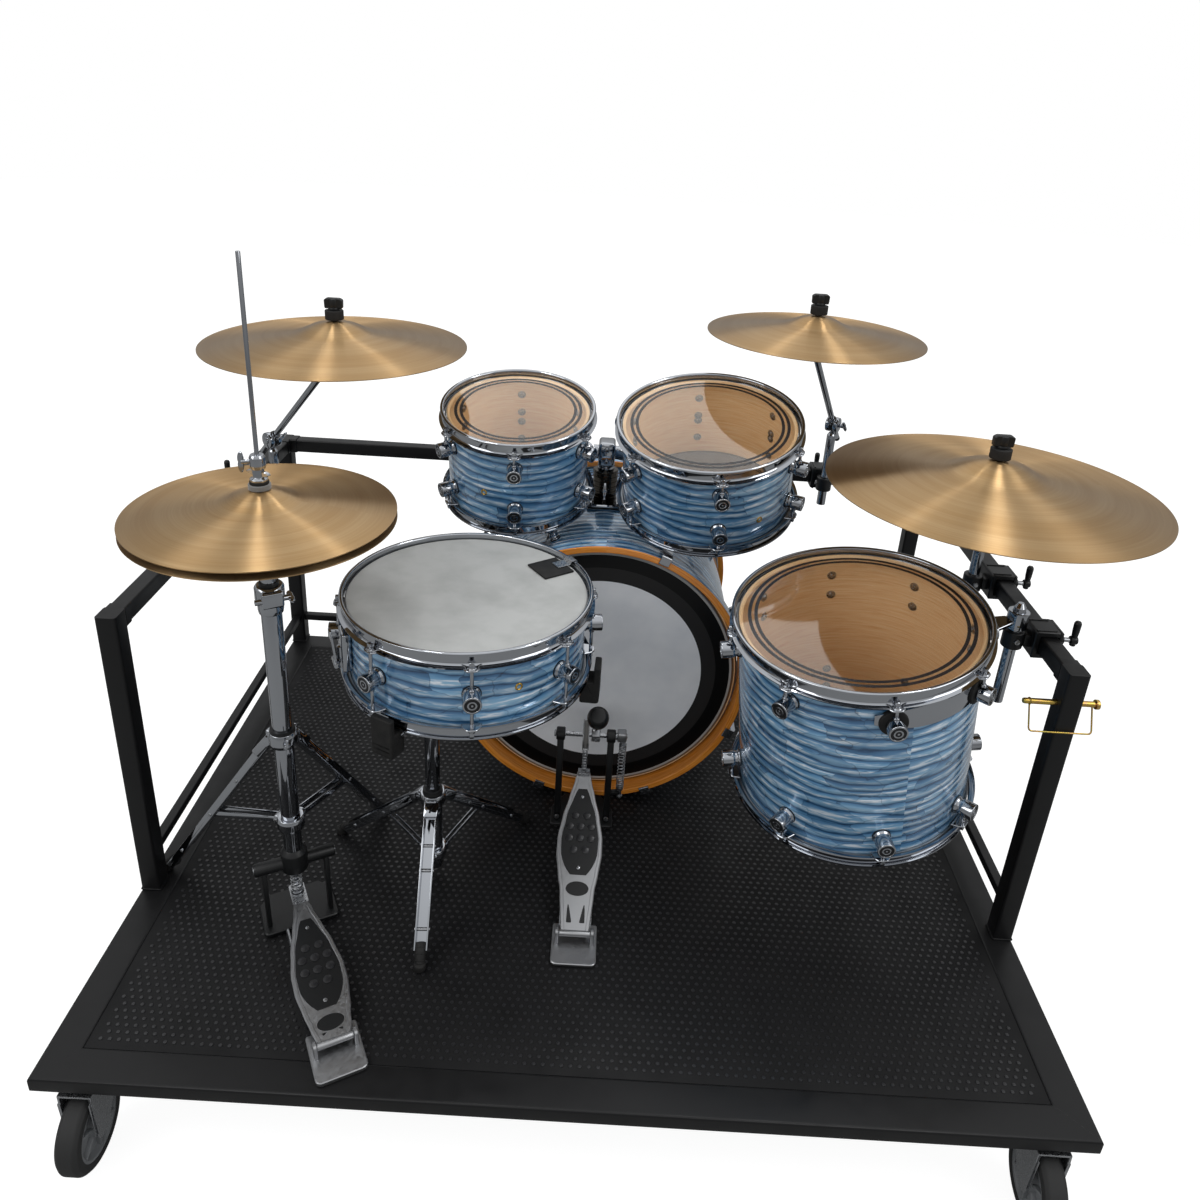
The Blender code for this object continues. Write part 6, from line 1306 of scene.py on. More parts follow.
def build_hihat_clutch():
    x, y = HIHAT_AT
    at = Matrix.Translation((x, y, 0))
    bell = HIHAT_RIM_Z + bell_height(HIHAT_RADIUS)
    rod = Piece("hihat_pull_rod_and_clutch")
    rod.rod("chrome", (x, y, 0.0375), (x, y, 1.062), 0.0030, 24)
    rod.turned("steel", rounded([(0, 0.0390), (0.0080, 0.0390), (0.0080, 0.0461), (0, 0.0461)], 0.0006, 2), 6, at)
    rod.rod("steel", (x, y, 0.0509), (x, y, 0.0546), 0.0104, 28)
    # Felts either side of the bell, clutch tube, its wing nut, collar and drum-key screw
    rod.turned("felt", rounded([(0.0060, bell + 0.0003), (0.0148, bell + 0.0003), (0.0148, bell + 0.0078),
                                (0.0060, bell + 0.0078)], 0.0015, 3), 40, at)
    rod.turned("rubber", rounded([(0.0060, bell + 0.0074), (0.0126, bell + 0.0074), (0.0126, bell + 0.0120),
                                  (0.0060, bell + 0.0120)], 0.0008, 3), 36, at)
    rod.sleeve("chrome", (x, y, bell - 0.0067), (x, y, bell + 0.0300), 0.0030, 0.0058, 28)
    rod.turned("chrome", rounded([(0.0055, bell + 0.0118), (0.0118, bell + 0.0118), (0.0118, bell + 0.0150),
                                  (0.0078, bell + 0.0175), (0.0078, bell + 0.0300), (0.0055, bell + 0.0300)],
                                 0.0008, 3), 36, at)
    add_wing(rod, "chrome", Matrix.Translation((x, y, bell + 0.0225)) @ turned_to(-20.0), 0.0185, 0.0065, 0.0055)
    rod.turned("chrome", rounded([(0.0031, bell + 0.0290), (0.0098, bell + 0.0290), (0.0104, bell + 0.0330),
                                  (0.0104, bell + 0.0450), (0.0085, bell + 0.0488), (0.0031, bell + 0.0488)],
                                 0.0010, 3), 36, at)
    side = at @ turned_to(-165.0)
    rod.rod("chrome", (0.008, 0, bell + 0.039), (0.0200, 0, bell + 0.039), 0.0032, 16, side)
    add_wing(rod, "chrome", side @ aimed((0.0205, 0, bell + 0.039), (1, 0, 0), (0, 0, 1)), 0.0150, 0.0060, 0.0040)
    rod.turned("chrome", rounded([(0.0031, bell - 0.0067), (0.0112, bell - 0.0067), (0.0120, bell - 0.0020),
                                  (0.0031, bell - 0.0020)], 0.0008, 2), 32, at)
    rod.done("hihat_top", "hihat_rod", slot="steel")


def coil_path(centre, radius, bottom, top, turns, wire):
    """Points of a compression spring with closed, flattened end turns."""
    steps = 20
    count = turns * steps
    made = []
    for i in range(count + 1):
        share = i / count
        eased = share - math.sin(2 * math.pi * share) / (2 * math.pi) * 0.35
        angle = 2 * math.pi * i / steps
        made.append((centre[0] + radius * math.cos(angle), centre[1] + radius * math.sin(angle),
                     bottom + wire + (top - bottom - 2 * wire) * eased))
    return made


def build_hihat_spring():
    spring = Piece("hihat_spring_coil")
    spring.tube("steel", coil_path(HIHAT_AT, 0.0085, 0.0549, 0.1071, 9, 0.0011), 0.0011, 8)
    made = spring.done(None, "hihat_spring", slot="steel")
    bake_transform(made)


def footboard_outline(length):
    """Egg-shaped board from its toe at x 0 to its heel: half widths along it."""
    stations = ((0.0, 0.0120), (0.018, 0.0150), (0.050, 0.0230), (0.085, 0.0320), (0.125, 0.0384),
                (0.155, 0.0386), (0.190, 0.0335), (0.215, 0.0288), (length, 0.0228))
    smooth = []
    for (x0, w0), (x1, w1) in zip(stations, stations[1:]):
        for s in range(4):
            t = s / 4
            smooth.append((x0 + (x1 - x0) * t, w0 + (w1 - w0) * (3 * t * t - 2 * t ** 3) * 0.5 + (w1 - w0) * t * 0.5))
    smooth.append(stations[-1])
    return smooth


def add_footboard(piece, frame, heel, toe, extras):
    """Cast board with a black inset and its rubber grips, an oval boss nearer the heel, and its hinge."""
    run = Vector((heel[0] - toe[0], 0, heel[1] - toe[1]))
    length = run.length
    board = frame @ aimed((toe[0], 0, toe[1]), (-run.z, 0, run.x), run.normalized())
    half = footboard_outline(length)
    outline = half + [(x, -y) for x, y in reversed(half)]
    piece.plate("alloy", outline, -0.0030, 0.0018, board, 0.0012)
    rim = [(x, y * 0.97) for x, y in half[2:]]
    inner = [(x, y - 0.0060) for x, y in half[2:]]
    for side in (1, -1):
        edge = [(x, side * y) for x, y in rim] + [(x, side * y) for x, y in reversed(inner)]
        piece.plate("alloy", edge, 0.0012, 0.0030, board, 0.0006)
    bow = [(x, (y - 0.0068) * math.sqrt(1 - ((x - 0.110) / 0.086) ** 4)) for x, y in half if 0.028 < x < 0.192]
    piece.plate("nylon", bow + [(x, -y) for x, y in reversed(bow)], 0.0014, 0.0024, board, 0.0004)
    boss = [(0.213 + 0.0120 * math.cos(a), 0.0190 * math.sin(a)) for a in (2 * math.pi * n / 32 for n in range(32))]
    piece.plate("nylon", boss, 0.0014, 0.0026, board, 0.0004)
    for x, y in ((0.085, -0.010), (0.085, 0.010), (0.105, -0.0185), (0.105, 0), (0.105, 0.0185),
                 (0.126, -0.0185), (0.126, 0), (0.126, 0.0185), (0.147, -0.010), (0.147, 0.010)):
        spot = board @ Matrix.Translation((x, y, 0))
        piece.rod("stud", (0, 0, 0.0018), (0, 0, 0.0038), 0.0066, 24, spot, soften=0.001)
    for x in (0.050, 0.178):
        piece.rod("steel", (x, 0, 0.0018), (x, 0, 0.0032), 0.0030, 16, board)
    for side in (1, -1):
        tail = [(0.230, side * 0.0140), (length - 0.016, side * 0.0150), (length - 0.016, side * 0.0060)]
        piece.plate("nylon", rounded(tail, 0.002, 3), 0.0014, 0.0021, board, 0.0003)
    piece.rod("alloy", (heel[0], -0.0254, heel[1]), (heel[0], 0.0254, heel[1]), 0.0050, 24, frame)
    extras(piece)


def build_hihat_footboard():
    frame = Matrix.Translation((*HIHAT_AT, 0)) @ turned_to(-62.0)
    board = Piece("hihat_footboard_casting")

    def strap(piece):
        """Steel bridge from the toe to the pull rod's nut."""
        bridge = rounded([(-0.014, -0.012), (-0.014, 0.012), (0.034, 0.012), (0.034, -0.012)], 0.004, 3)
        hole = [(0.0050 * math.cos(a), 0.0050 * math.sin(a)) for a in (2 * math.pi * n / 24 for n in range(24))]
        add_holed_plate(piece, "steel", bridge, hole, 0.0465, 0.0495, frame)
        piece.rod("steel", (0.028, -0.006, 0.0493), (0.028, -0.006, 0.0512), 0.0026, 12, frame)
        piece.rod("steel", (0.028, 0.006, 0.0493), (0.028, 0.006, 0.0512), 0.0026, 12, frame)

    add_footboard(board, frame, (0.270, 0.022), (0.030, 0.049), strap)
    board.done("hihat_pedal", "hihat_footboard", slot="steel")


def add_holed_plate(piece, finish, outline, hole, low, high, frame):
    """A flat plate with one hole; both loops run round the hole's centre and are matched by angle."""
    count = 48
    centre = sum((Vector(p) for p in hole), Vector((0, 0))) / len(hole)

    def at_angle(loop, angle):
        way = Vector((math.cos(angle), math.sin(angle)))
        best = None
        for a, b in zip(loop, loop[1:] + loop[:1]):
            a, b = Vector(a[:2]) - centre, Vector(b[:2]) - centre
            across = way.x * (b - a).y - way.y * (b - a).x
            if abs(across) < 1e-12:
                continue
            reach = (a.x * (b - a).y - a.y * (b - a).x) / across
            share = (a.x * way.y - a.y * way.x) / across
            if reach > 0 and -1e-6 <= share <= 1 + 1e-6:
                best = reach if best is None else max(best, reach)
        return centre + way * best

    angles = [2 * math.pi * (n + 0.01) / count for n in range(count)]
    outer = [at_angle(outline, a) for a in angles]
    inner = [at_angle(hole, a) for a in angles]
    rows = [[(*p, z) for p in loop] for loop, z in ((inner, low), (outer, low), (outer, high), (inner, high))]
    piece.skin(rows, finish, frame, closed=True)


# Snare stand and bass drum pedal

STAND_AT = (-0.252, -0.165)


def build_snare_stand():
    x, y = STAND_AT
    centre = Vector((x, y, 0))
    stand = Piece("snare_stand_chrome")
    stand.rod("chrome", (x, y, 0.020), (x, y, 0.177), 0.0154, 48, soften=0.002)
    stand.turned("nylon", [(0.0120, 0.1765), (0.0170, 0.1765), (0.0160, 0.1830), (0.0120, 0.1830)], 40,
                 Matrix.Translation((x, y, 0)))
    stand.rod("chrome", (x, y, 0.173), (x, y, 0.393), 0.0124, 44)
    legs = (44.0, 156.0, -86.0)
    add_collar(stand, STAND_AT, 0.165, 0.0150, 0.0214, 0.022, legs, 100.0)
    add_collar(stand, STAND_AT, 0.050, 0.0150, 0.0214, 0.018, legs, None)
    for azimuth in legs:
        out = polar(1.0, azimuth)
        top = centre + out * 0.0185 + Vector((0, 0, 0.165))
        add_leg(stand, top, centre + out * 0.200, 0.0215, 0.0150,
                (centre + out * 0.0215 + Vector((0, 0, 0.050)), 0.0085, 0.47, False))
    # Tilter head under the basket, and the basket's three arms with rubber grips
    hub = centre + Vector((0, 0, 0.391))
    stand.block("chrome", hub + Vector((-0.020, -0.016, 0)), hub + Vector((0.030, 0.016, 0.030)), bevel=0.005,
                steps=3)
    stand.rod("chrome", hub + Vector((-0.006, -0.019, 0.014)), hub + Vector((-0.006, 0.019, 0.014)), 0.0105, 28)
    add_wing(stand, "chrome", aimed(hub + Vector((-0.006, -0.0205, 0.014)), (0, -1, 0), (1, 0, 0.3)), 0.018, 0.0065,
             0.0045)
    bottom = SNARE["rim"][2] - drum_total(SNARE["length"])
    arm_z = hub.z + 0.015
    core = Vector((SNARE["rim"][0], SNARE["rim"][1], arm_z))
    stand.rod("chrome", (hub.x + 0.028, hub.y, arm_z), core, 0.0079, 28)
    stand.turned("chrome", rounded([(0, -0.012), (0.0160, -0.012), (0.0160, -0.004), (0.0130, 0.0), (0.0160, 0.004),
                                    (0.0160, 0.012), (0, 0.012)], [0, 0.002, 0.002, 0.002, 0.002, 0.002, 0], 3),
                 40, Matrix.Translation(core))
    stand.turned("rubber", rounded([(0, -0.030), (0.0075, -0.030), (0.0090, -0.012), (0, -0.012)],
                                   [0, 0.002, 0, 0], 3), 28, Matrix.Translation(core))
    reach = SNARE["radius"] + 0.0148
    low, high = arm_z - 0.014, bottom + 0.026
    wall = reach + 0.004
    grip = [(reach - 0.016, low), (wall + 0.010, low), (wall + 0.010, high), (wall + 0.0002, high),
            (wall, bottom - 0.0003), (reach - 0.010, bottom - 0.0003), (reach - 0.010, arm_z + 0.010),
            (reach - 0.016, arm_z + 0.010)]
    soft = rounded(grip, [0.004, 0.006, 0.003, 0.002, 0.001, 0.001, 0.002, 0.002], 4)
    for azimuth in (-117.0, -3.0, 122.0):
        out = polar(1.0, azimuth)
        turn = Matrix.Translation((core.x, core.y, 0)) @ turned_to(azimuth)
        stand.bar("chrome", core, core + out * (reach - 0.014), 0.0098, 0.0070, (0, 0, 1), bevel=0.003)
        stand.plate("rubber", [(p.x, -p.y) for p in soft], -0.0178, 0.0178,
                    turn @ Matrix.Rotation(-math.pi / 2, 4, "X"), 0.0016)
        for z in (arm_z - 0.003, arm_z + 0.004):
            stand.block("rubber", (wall + 0.0090, -0.0150, z), (wall + 0.0100, 0.0150, z + 0.0030), turn, 0.0004)
    stand.done("cart", "snare_stand", slot="chrome")


# Bass drum pedal

PEDAL_X = -0.002
SHAFT = Vector((PEDAL_X, 0.0, 0.184))
FOOT_Y = -0.014


def pedal_axes():
    return Matrix.Translation((PEDAL_X, 0, 0)) @ turned_to(-90)


def build_pedal_frame():
    pedal = Piece("pedal_posts_and_base")
    base = 0.006
    plate = rounded([(PEDAL_X - 0.058, FOOT_Y - 0.022), (PEDAL_X + 0.058, FOOT_Y - 0.022), (PEDAL_X + 0.058, 0.010),
                     (PEDAL_X + 0.034, 0.0494), (PEDAL_X - 0.034, 0.0494), (PEDAL_X - 0.058, 0.010)], 0.006, 4)
    pedal.plate("nylon", plate, 0.0018, base, bevel=0.0012)
    pedal.plate("rubber", plate, 0.0003, 0.0020, bevel=0.0004)
    # Clamp that bites the hoop: lower lip, rubber pad and toggle screw
    pedal.block("alloy", (PEDAL_X - 0.018, 0.0267, base - 0.001), (PEDAL_X + 0.018, 0.0524, base + 0.018), bevel=0.004)
    pedal.block("rubber", (PEDAL_X - 0.016, 0.0300, base + 0.017), (PEDAL_X + 0.016, 0.0524, base + 0.022), bevel=0.002)
    pedal.rod("steel", (PEDAL_X, 0.0320, base + 0.009), (PEDAL_X, 0.010, base + 0.009), 0.0035, 16)
    add_wing(pedal, "steel", aimed((PEDAL_X, 0.008, base + 0.009), (0, -1, 0), (1, 0, 0)), 0.016, 0.0055, 0.004)
    for side in (-1, 1):
        x = PEDAL_X + side * 0.046
        foot = Vector((x, FOOT_Y, base - 0.001))
        head = Vector((x, 0, 0.184))
        way = (head - foot).normalized()
        square = Vector((1, 0, 0)).cross(way)
        # Cast upright: two ribs and a web, with an eye round the shaft
        for rib in (-1, 1):
            edge = square * rib * 0.0052
            pedal.bar("nylon", foot + edge, head + edge - way * 0.009, 0.0042, 0.0118, (1, 0, 0), bevel=0.0013)
        pedal.bar("nylon", foot, head - way * 0.009, 0.0110, 0.0070, (1, 0, 0), bevel=0.001)
        eye = aimed(head, (1, 0, 0))
        pedal.turned("nylon", rounded([(0.0051, -0.008), (0.0108, -0.008), (0.0120, -0.0062), (0.0120, 0.0062),
                                       (0.0108, 0.008), (0.0051, 0.008)], 0.0008, 3), 40, eye)
        pedal.turned("steel", rounded([(0.0051, 0.0074), (0.0078, 0.0074), (0.0078, 0.0086), (0.0051, 0.0086)],
                                      0.0003, 2), 28, eye)
        pedal.rod("steel", foot + Vector((0, -0.0090, 0.0080)), foot + Vector((0, -0.0125, 0.0080)), 0.0045, 20)
        x = PEDAL_X + side * 0.024
        pedal.rod("steel", (x, FOOT_Y - 0.018, 0.0045), (x, -0.270, 0.0045), 0.0030, 16)
    add_heel_plate(pedal, pedal_axes(), 0.300, base)
    # Spring's lower hook, its adjusting screw and the bracket on the right upright
    spring_x, spring_y = PEDAL_X + 0.068, -0.006
    anchor = Vector((spring_x, spring_y, 0.0767))
    pedal.rod("steel", anchor, anchor - Vector((0, 0, 0.004)), 0.0071, 28)
    pedal.rod("steel", anchor, anchor - Vector((0, 0, 0.024)), 0.0036, 18)
    pedal.rod("steel", anchor - Vector((0, 0, 0.0205)), anchor - Vector((0, 0, 0.0240)), 0.0062, 6, soften=0.0004)
    pedal.rod("steel", anchor - Vector((0, 0, 0.0060)), anchor - Vector((0, 0, 0.0085)), 0.0062, 6, soften=0.0004)
    arm_z = anchor.z - 0.014
    post_y = FOOT_Y * (1 - arm_z / 0.184)
    pedal.bar("nylon", (PEDAL_X + 0.046, post_y, arm_z), (spring_x, spring_y, arm_z), 0.0100, 0.0078, bevel=0.002)
    pedal.done("cart", "pedal_frame", slot="black_hardware")


def chain_link(piece, frame, pitch, wide):
    """A roller chain's link: two side plates and the rollers they carry."""
    for side in (-1, 1):
        outline = []
        for n in range(20):
            angle = 2 * math.pi * n / 20
            x = 0.0030 * math.cos(angle)
            y = 0.0029 * math.sin(angle) + (pitch / 2 if math.sin(angle) > 0 else -pitch / 2)
            outline.append((x, y))
        low, high = sorted((side * wide, side * (wide + 0.0008)))
        piece.plate("steel", outline, low, high, frame, 0.0002)
    piece.rod("steel", frame @ Vector((0, -pitch / 2, -wide)), frame @ Vector((0, -pitch / 2, wide)), 0.0021, 14)


def build_pedal_footboard():
    board = Piece("pedal_footboard_casting")

    def chain(piece):
        """Chain from the cam down to the toe, with its clevis and nut."""
        axes = pedal_axes()
        low, high = 0.1310, 0.1790
        count = 8
        pitch = (high - low) / count
        for i in range(count):
            spot = axes @ Matrix.Translation((0.036, 0, low + (i + 0.5) * pitch))
            # Chain plates face sideways, so the link's Z lies across the pedal and its Y points up
            frame = spot @ Matrix(((1, 0, 0, 0), (0, 0, -1, 0), (0, 1, 0, 0), (0, 0, 0, 1)))
            chain_link(piece, frame, pitch, 0.0036 if i % 2 else 0.0026)
        piece.block("steel", (0.0290, -0.0108, 0.1263), (0.0450, 0.0108, 0.1318), axes, 0.0015)
        piece.block("alloy", (0.0270, -0.0110, 0.1205), (0.0460, 0.0110, 0.1270), axes, 0.0020)
        piece.rod("steel", axes @ Vector((0.0370, 0, 0.1310)), axes @ Vector((0.0370, 0, 0.1340)), 0.0048, 6)

    add_footboard(board, pedal_axes(), (0.300, 0.022), (0.036, 0.128), chain)
    board.done("bass_pedal", "pedal_footboard", slot="steel")


def build_beater():
    beater = Piece("beater_shaft_and_cam")
    across = Vector((0.058, 0, 0))
    beater.rod("steel", SHAFT - across, SHAFT + across, 0.0047, 6, soften=0.0006)
    for side in (-1, 1):
        beater.rod("steel", SHAFT + across * side * 0.94, SHAFT + across * side * 1.0, 0.0062, 20, soften=0.001)
    # Cam: two sprocket cheeks with a felt track between them; black nylon discs on their faces are painted shade for
    # the lightening holes
    for low, high, r in ((-0.0058, -0.0040, 0.0278), (0.0040, 0.0058, 0.0278), (-0.0040, 0.0040, 0.0252)):
        beater.rod("alloy" if r > 0.026 else "felt", SHAFT + Vector((low, 0, 0)), SHAFT + Vector((high, 0, 0)), r, 48,
                   soften=0.0006)
    # Black discs set in each cheek's face: painted shade where its holes would be
    for n in range(6):
        angle = 2 * math.pi * n / 6
        out = Vector((0, math.cos(angle), math.sin(angle))) * 0.0165
        for side in (-1, 1):
            beater.rod("nylon", SHAFT + out + Vector((side * 0.0050, 0, 0)),
                       SHAFT + out + Vector((side * 0.00595, 0, 0)), 0.0042, 16, soften=0.0002)
    hub = SHAFT + Vector((0.018, 0, 0))
    beater.rod("alloy", hub - Vector((0.0078, 0, 0)), hub + Vector((0.0078, 0, 0)), 0.0118, 36, soften=0.0015)
    beater.rod("steel", hub + Vector((0, -0.0110, 0)), hub + Vector((0, -0.0165, 0)), 0.0034, 4, soften=0.0004)
    out = Vector((0, -math.sin(math.radians(45)), math.cos(math.radians(45))))
    beater.block("alloy", (-0.0075, -0.0065, 0.006), (0.0075, 0.0065, 0.022), aimed(hub, out, (1, 0, 0)), 0.002)
    end = hub + out * 0.172
    beater.rod("chrome", hub, end + out * 0.004, 0.0031, 24)
    # Barrel beater: waisted black felt-faced head with a hard back
    barrel = rounded([(0, 0), (0.0120, 0.0006), (0.0162, 0.0060), (0.0178, 0.0160), (0.0178, 0.0300),
                      (0.0162, 0.0400), (0.0120, 0.0452), (0, 0.0460)],
                     [0, 0.002, 0.004, 0.012, 0.012, 0.004, 0.003, 0], 4)
    beater.turned("nylon", barrel, 48, aimed(end, out, (0, 1, 0)))
    beater.rod("chrome", end - out * 0.0035, end + out * 0.0008, 0.0058, 24, soften=0.001)
    # Spring rocker on the shaft's right end, and its hook
    beater.block("alloy", SHAFT + Vector((0.0570, -0.010, -0.007)), SHAFT + Vector((0.0740, 0.010, 0.011)), bevel=0.003,
                 steps=3)
    beater.rod("steel", SHAFT + Vector((0.0735, 0, 0.002)), SHAFT + Vector((0.0755, 0, 0.002)), 0.0042, 18)
    hook = Vector((PEDAL_X + 0.068, -0.006, 0))
    seat = 0.1693
    beater.rod("steel", hook + Vector((0, 0, 0.179)), hook + Vector((0, 0, seat)), 0.0030, 16)
    beater.rod("steel", hook + Vector((0, 0, seat + 0.003)), hook + Vector((0, 0, seat)), 0.0071, 28)
    beater.done("beater", "pedal_beater", slot="steel")


def build_pedal_spring():
    spring = Piece("pedal_spring_coil")
    spot = (PEDAL_X + 0.068, -0.006)
    spring.tube("steel", coil_path(spot, 0.0062, 0.0770, 0.1690, 16, 0.0010), 0.0010, 8)
    made = spring.done(None, "pedal_spring", slot="steel")
    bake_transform(made)


# Cart: deck, rack, casters and hitch pin

HALF_WIDTH, HALF_DEPTH = 0.7265, 0.574
BORDER = 2.0 * INCH
POST = 1.25 * INCH
RAIL_X = HALF_WIDTH - POST / 2
BACK_Y = HALF_DEPTH - POST / 2
FRONT_Y = -0.242 + POST / 2
RACK_TOP = 0.521


def tube_outline(width, height, corner):
    half_w, half_h = width / 2, height / 2
    return rounded([(-half_w, -half_h), (half_w, -half_h), (half_w, half_h), (-half_w, half_h)], corner * 1.6, 5)


def add_tube(piece, finish, start, end, width, height, corner=0.0028, side=(0, 0, 1), wall=0.0):
    """A square tube with rounded corners; its height lies towards side."""
    start, end = Vector(start), Vector(end)
    frame = aimed(start, end - start, side) @ Matrix.Rotation(math.pi / 2, 4, "Z")
    length = (end - start).length
    outline = tube_outline(width, height, corner)
    piece.plate(finish, outline, 0, length, frame, 0.0004)


def add_weld(piece, start, end, radius=0.0016):
    """A ground fillet weld under the coating: a low wavy bead."""
    start, end = Vector(start), Vector(end)
    count = max(6, int((end - start).length / 0.0035))
    points = [start.lerp(end, i / count) for i in range(count + 1)]
    sizes = [radius * (1.0 + 0.10 * math.sin(i * 2.1)) for i in range(count + 1)]
    piece.tube("powder", points, sizes, 8)


def build_deck_frame():
    deck = Piece("deck_border_and_crossmembers")
    low = -0.0254
    # Border: four tubes mitred at the corners
    corner = 0.0028
    section = tube_outline(BORDER, -low, corner)
    centre = BORDER / 2
    rows = []
    for sx, sy in ((-1, -1), (1, -1), (1, 1), (-1, 1)):
        row = []
        for across, up in section:
            row.append((sx * (HALF_WIDTH - centre + across), sy * (HALF_DEPTH - centre + across), low / 2 + up))
        rows.append(row)
    deck.skin(rows, "powder", Matrix(), closed=True)
    for sx in (-1, 1):
        for sy in (-1, 1):
            outer = Vector((sx * (HALF_WIDTH - 0.003), sy * (HALF_DEPTH - 0.003), 0.0))
            inner = Vector((sx * (HALF_WIDTH - BORDER + 0.002), sy * (HALF_DEPTH - BORDER + 0.002), 0.0))
            add_weld(deck, outer - Vector((0, 0, 0.0011)), inner - Vector((0, 0, 0.0011)), 0.0012)
    reach = HALF_DEPTH - BORDER + 0.001
    top = -0.0127 - 0.0003
    pitch = (2 * HALF_WIDTH - 2 * BORDER) / 4
    for i in range(3):
        x = (i - 1) * pitch
        add_tube(deck, "powder", (x, -reach, top - 0.01905), (x, reach, top - 0.01905), 0.0254, 0.0381)
        for side in (-1, 1):
            y = side * (reach - 0.0015)
            for edge in (-1, 1):
                add_weld(deck, (x + edge * 0.0130, y, top - 0.036), (x + edge * 0.0130, y, -0.0254), 0.0018)
    for x in (-HALF_WIDTH + 0.054, HALF_WIDTH - 0.054):
        add_caster_plate(deck, x, -HALF_DEPTH + 0.054, -0.0247, "powder")
        # Swivel race pressed under the plate, with its kingpin nut
        race = Matrix.Translation((x, -HALF_DEPTH + 0.054, 0))
        plate_bottom = -0.0297
        deck.turned("steel", rounded([(0, plate_bottom + 0.001), (0.0288, plate_bottom + 0.001),
                                      (0.0290, plate_bottom - 0.0055), (0.0265, plate_bottom - 0.009),
                                      (0, plate_bottom - 0.009)], [0, 0, 0.002, 0.001, 0], 3), 56, race)
    deck.done("cart", "deck_frame", slot="black_powder_coat")


def add_caster_plate(piece, x, y, top, finish):
    """Mounting plate with its four bolts."""
    plate = rounded([(x - 0.050, y - 0.0425), (x + 0.050, y - 0.0425), (x + 0.050, y + 0.0425),
                     (x - 0.050, y + 0.0425)], 0.007, 5)
    piece.plate(finish, plate, -0.0297, top, bevel=0.0006)
    for sx in (-1, 1):
        for sy in (-1, 1):
            spot = Vector((x + sx * 0.0395, y + sy * 0.0310, -0.0297))
            piece.rod("steel", spot + Vector((0, 0, 0.0005)), spot - Vector((0, 0, 0.0012)), 0.0075, 24)
            piece.rod("steel", spot, spot - Vector((0, 0, 0.0060)), 0.0062, 6, soften=0.0006)


def stud_unit():
    """A low round rubber stud with a domed top: few faces, for it is repeated in thousands."""
    unit = Piece("stud")
    rings = [[polar(r, 360 * n / 7, z) for n in range(7)] for r, z in ((0.0034, -0.0004), (0.0027, 0.0010))]
    unit.skin([*rings, [(0, 0, 0.0013)]], "stud", Matrix())
    return unit


def build_deck_panel():
    half_x = HALF_WIDTH - BORDER - 0.0008
    half_y = HALF_DEPTH - BORDER - 0.0008
    panel = Piece("deck_floor_with_studded_rubber")
    panel.block("nylon", (-half_x, -half_y, -0.0127), (half_x, half_y, -0.0032), bevel=0.0004)
    lip = 0.0010   # the rubber fills the joint round the panel
    panel.block("mat", (-half_x - lip, -half_y - lip, -0.0034), (half_x + lip, half_y + lip, -0.0014), bevel=0.0006)
    pitch_x, pitch_y = 0.0130, 0.0113
    columns = int((2 * half_x - 0.012) / pitch_x)
    rows = int((2 * half_y - 0.012) / pitch_y)
    corner = Matrix.Translation((-columns * pitch_x / 2 + pitch_x / 4, -(rows - 1) * pitch_y / 2, -0.0014))
    panel.spaced(GRID, stud_unit(), corner, Columns=columns, Rows=rows, Pitch=pitch_x, **{"Row Pitch": pitch_y})
    panel.done("cart", "deck_panel", slot="deck_black")


def build_rack():
    rack = Piece("rack_posts_and_lower_rails")
    stub = POST - 0.0004
    reach = POST / 2 + 0.013
    for x, y, stubs in ((-RAIL_X, FRONT_Y, ((0, 1),)), (RAIL_X, FRONT_Y, ((0, 1),)),
                        (-RAIL_X, BACK_Y, ((0, -1), (1, 0))), (RAIL_X, BACK_Y, ((0, -1), (-1, 0)))):
        if (x, y) != (RAIL_X, FRONT_Y):
            add_tube(rack, "powder", (x, y, 0.0003), (x, y, RACK_TOP), POST, POST, side=(0, 1, 0))
        for way_x, way_y in stubs:
            way = Vector((way_x, way_y, 0))
            add_tube(rack, "powder", Vector((x, y, RAIL_Z)) + way * (POST / 2 - 0.001),
                     Vector((x, y, RAIL_Z)) + way * reach, stub, stub)
        for sx, sy, ex, ey in ((-1, -1, 1, -1), (1, -1, 1, 1), (1, 1, -1, 1), (-1, 1, -1, -1)):
            h = POST / 2 - 0.0002
            add_weld(rack, (x + sx * h, y + sy * h, 0.0016), (x + ex * h, y + ey * h, 0.0016), 0.0013)
    # The pinned post is drilled across
    low_part = PIN_AXIS_Z - 0.012
    high_part = PIN_AXIS_Z + 0.012
    add_tube(rack, "powder", (RAIL_X, FRONT_Y, 0.0003), (RAIL_X, FRONT_Y, low_part + 0.0004), POST, POST,
             side=(0, 1, 0))
    add_tube(rack, "powder", (RAIL_X, FRONT_Y, high_part - 0.0004), (RAIL_X, FRONT_Y, RACK_TOP), POST, POST,
             side=(0, 1, 0))
    add_drilled_length(rack, (RAIL_X, FRONT_Y, PIN_AXIS_Z), 0.012)
    half = 0.625 * INCH
    z = 0.072 - half / 2
    y_low, y_high = -0.242 + POST - 0.001, HALF_DEPTH - POST + 0.001
    for x in (-RAIL_X, RAIL_X):
        add_tube(rack, "powder", (x, y_low, z), (x, y_high, z), half, half, 0.0014)
        for y in (y_low + 0.001, y_high - 0.001):
            for edge in (-1, 1):
                add_weld(rack, (x + edge * half / 2, y, z - half / 2), (x + edge * half / 2, y, z + half / 2), 0.0012)
    x_reach = HALF_WIDTH - POST + 0.001
    add_tube(rack, "powder", (-x_reach, BACK_Y, z), (x_reach, BACK_Y, z), half, half, 0.0014)
    rack.done("cart", "rack_frame", slot="black_powder_coat")


PIN_AXIS_Z = 0.463


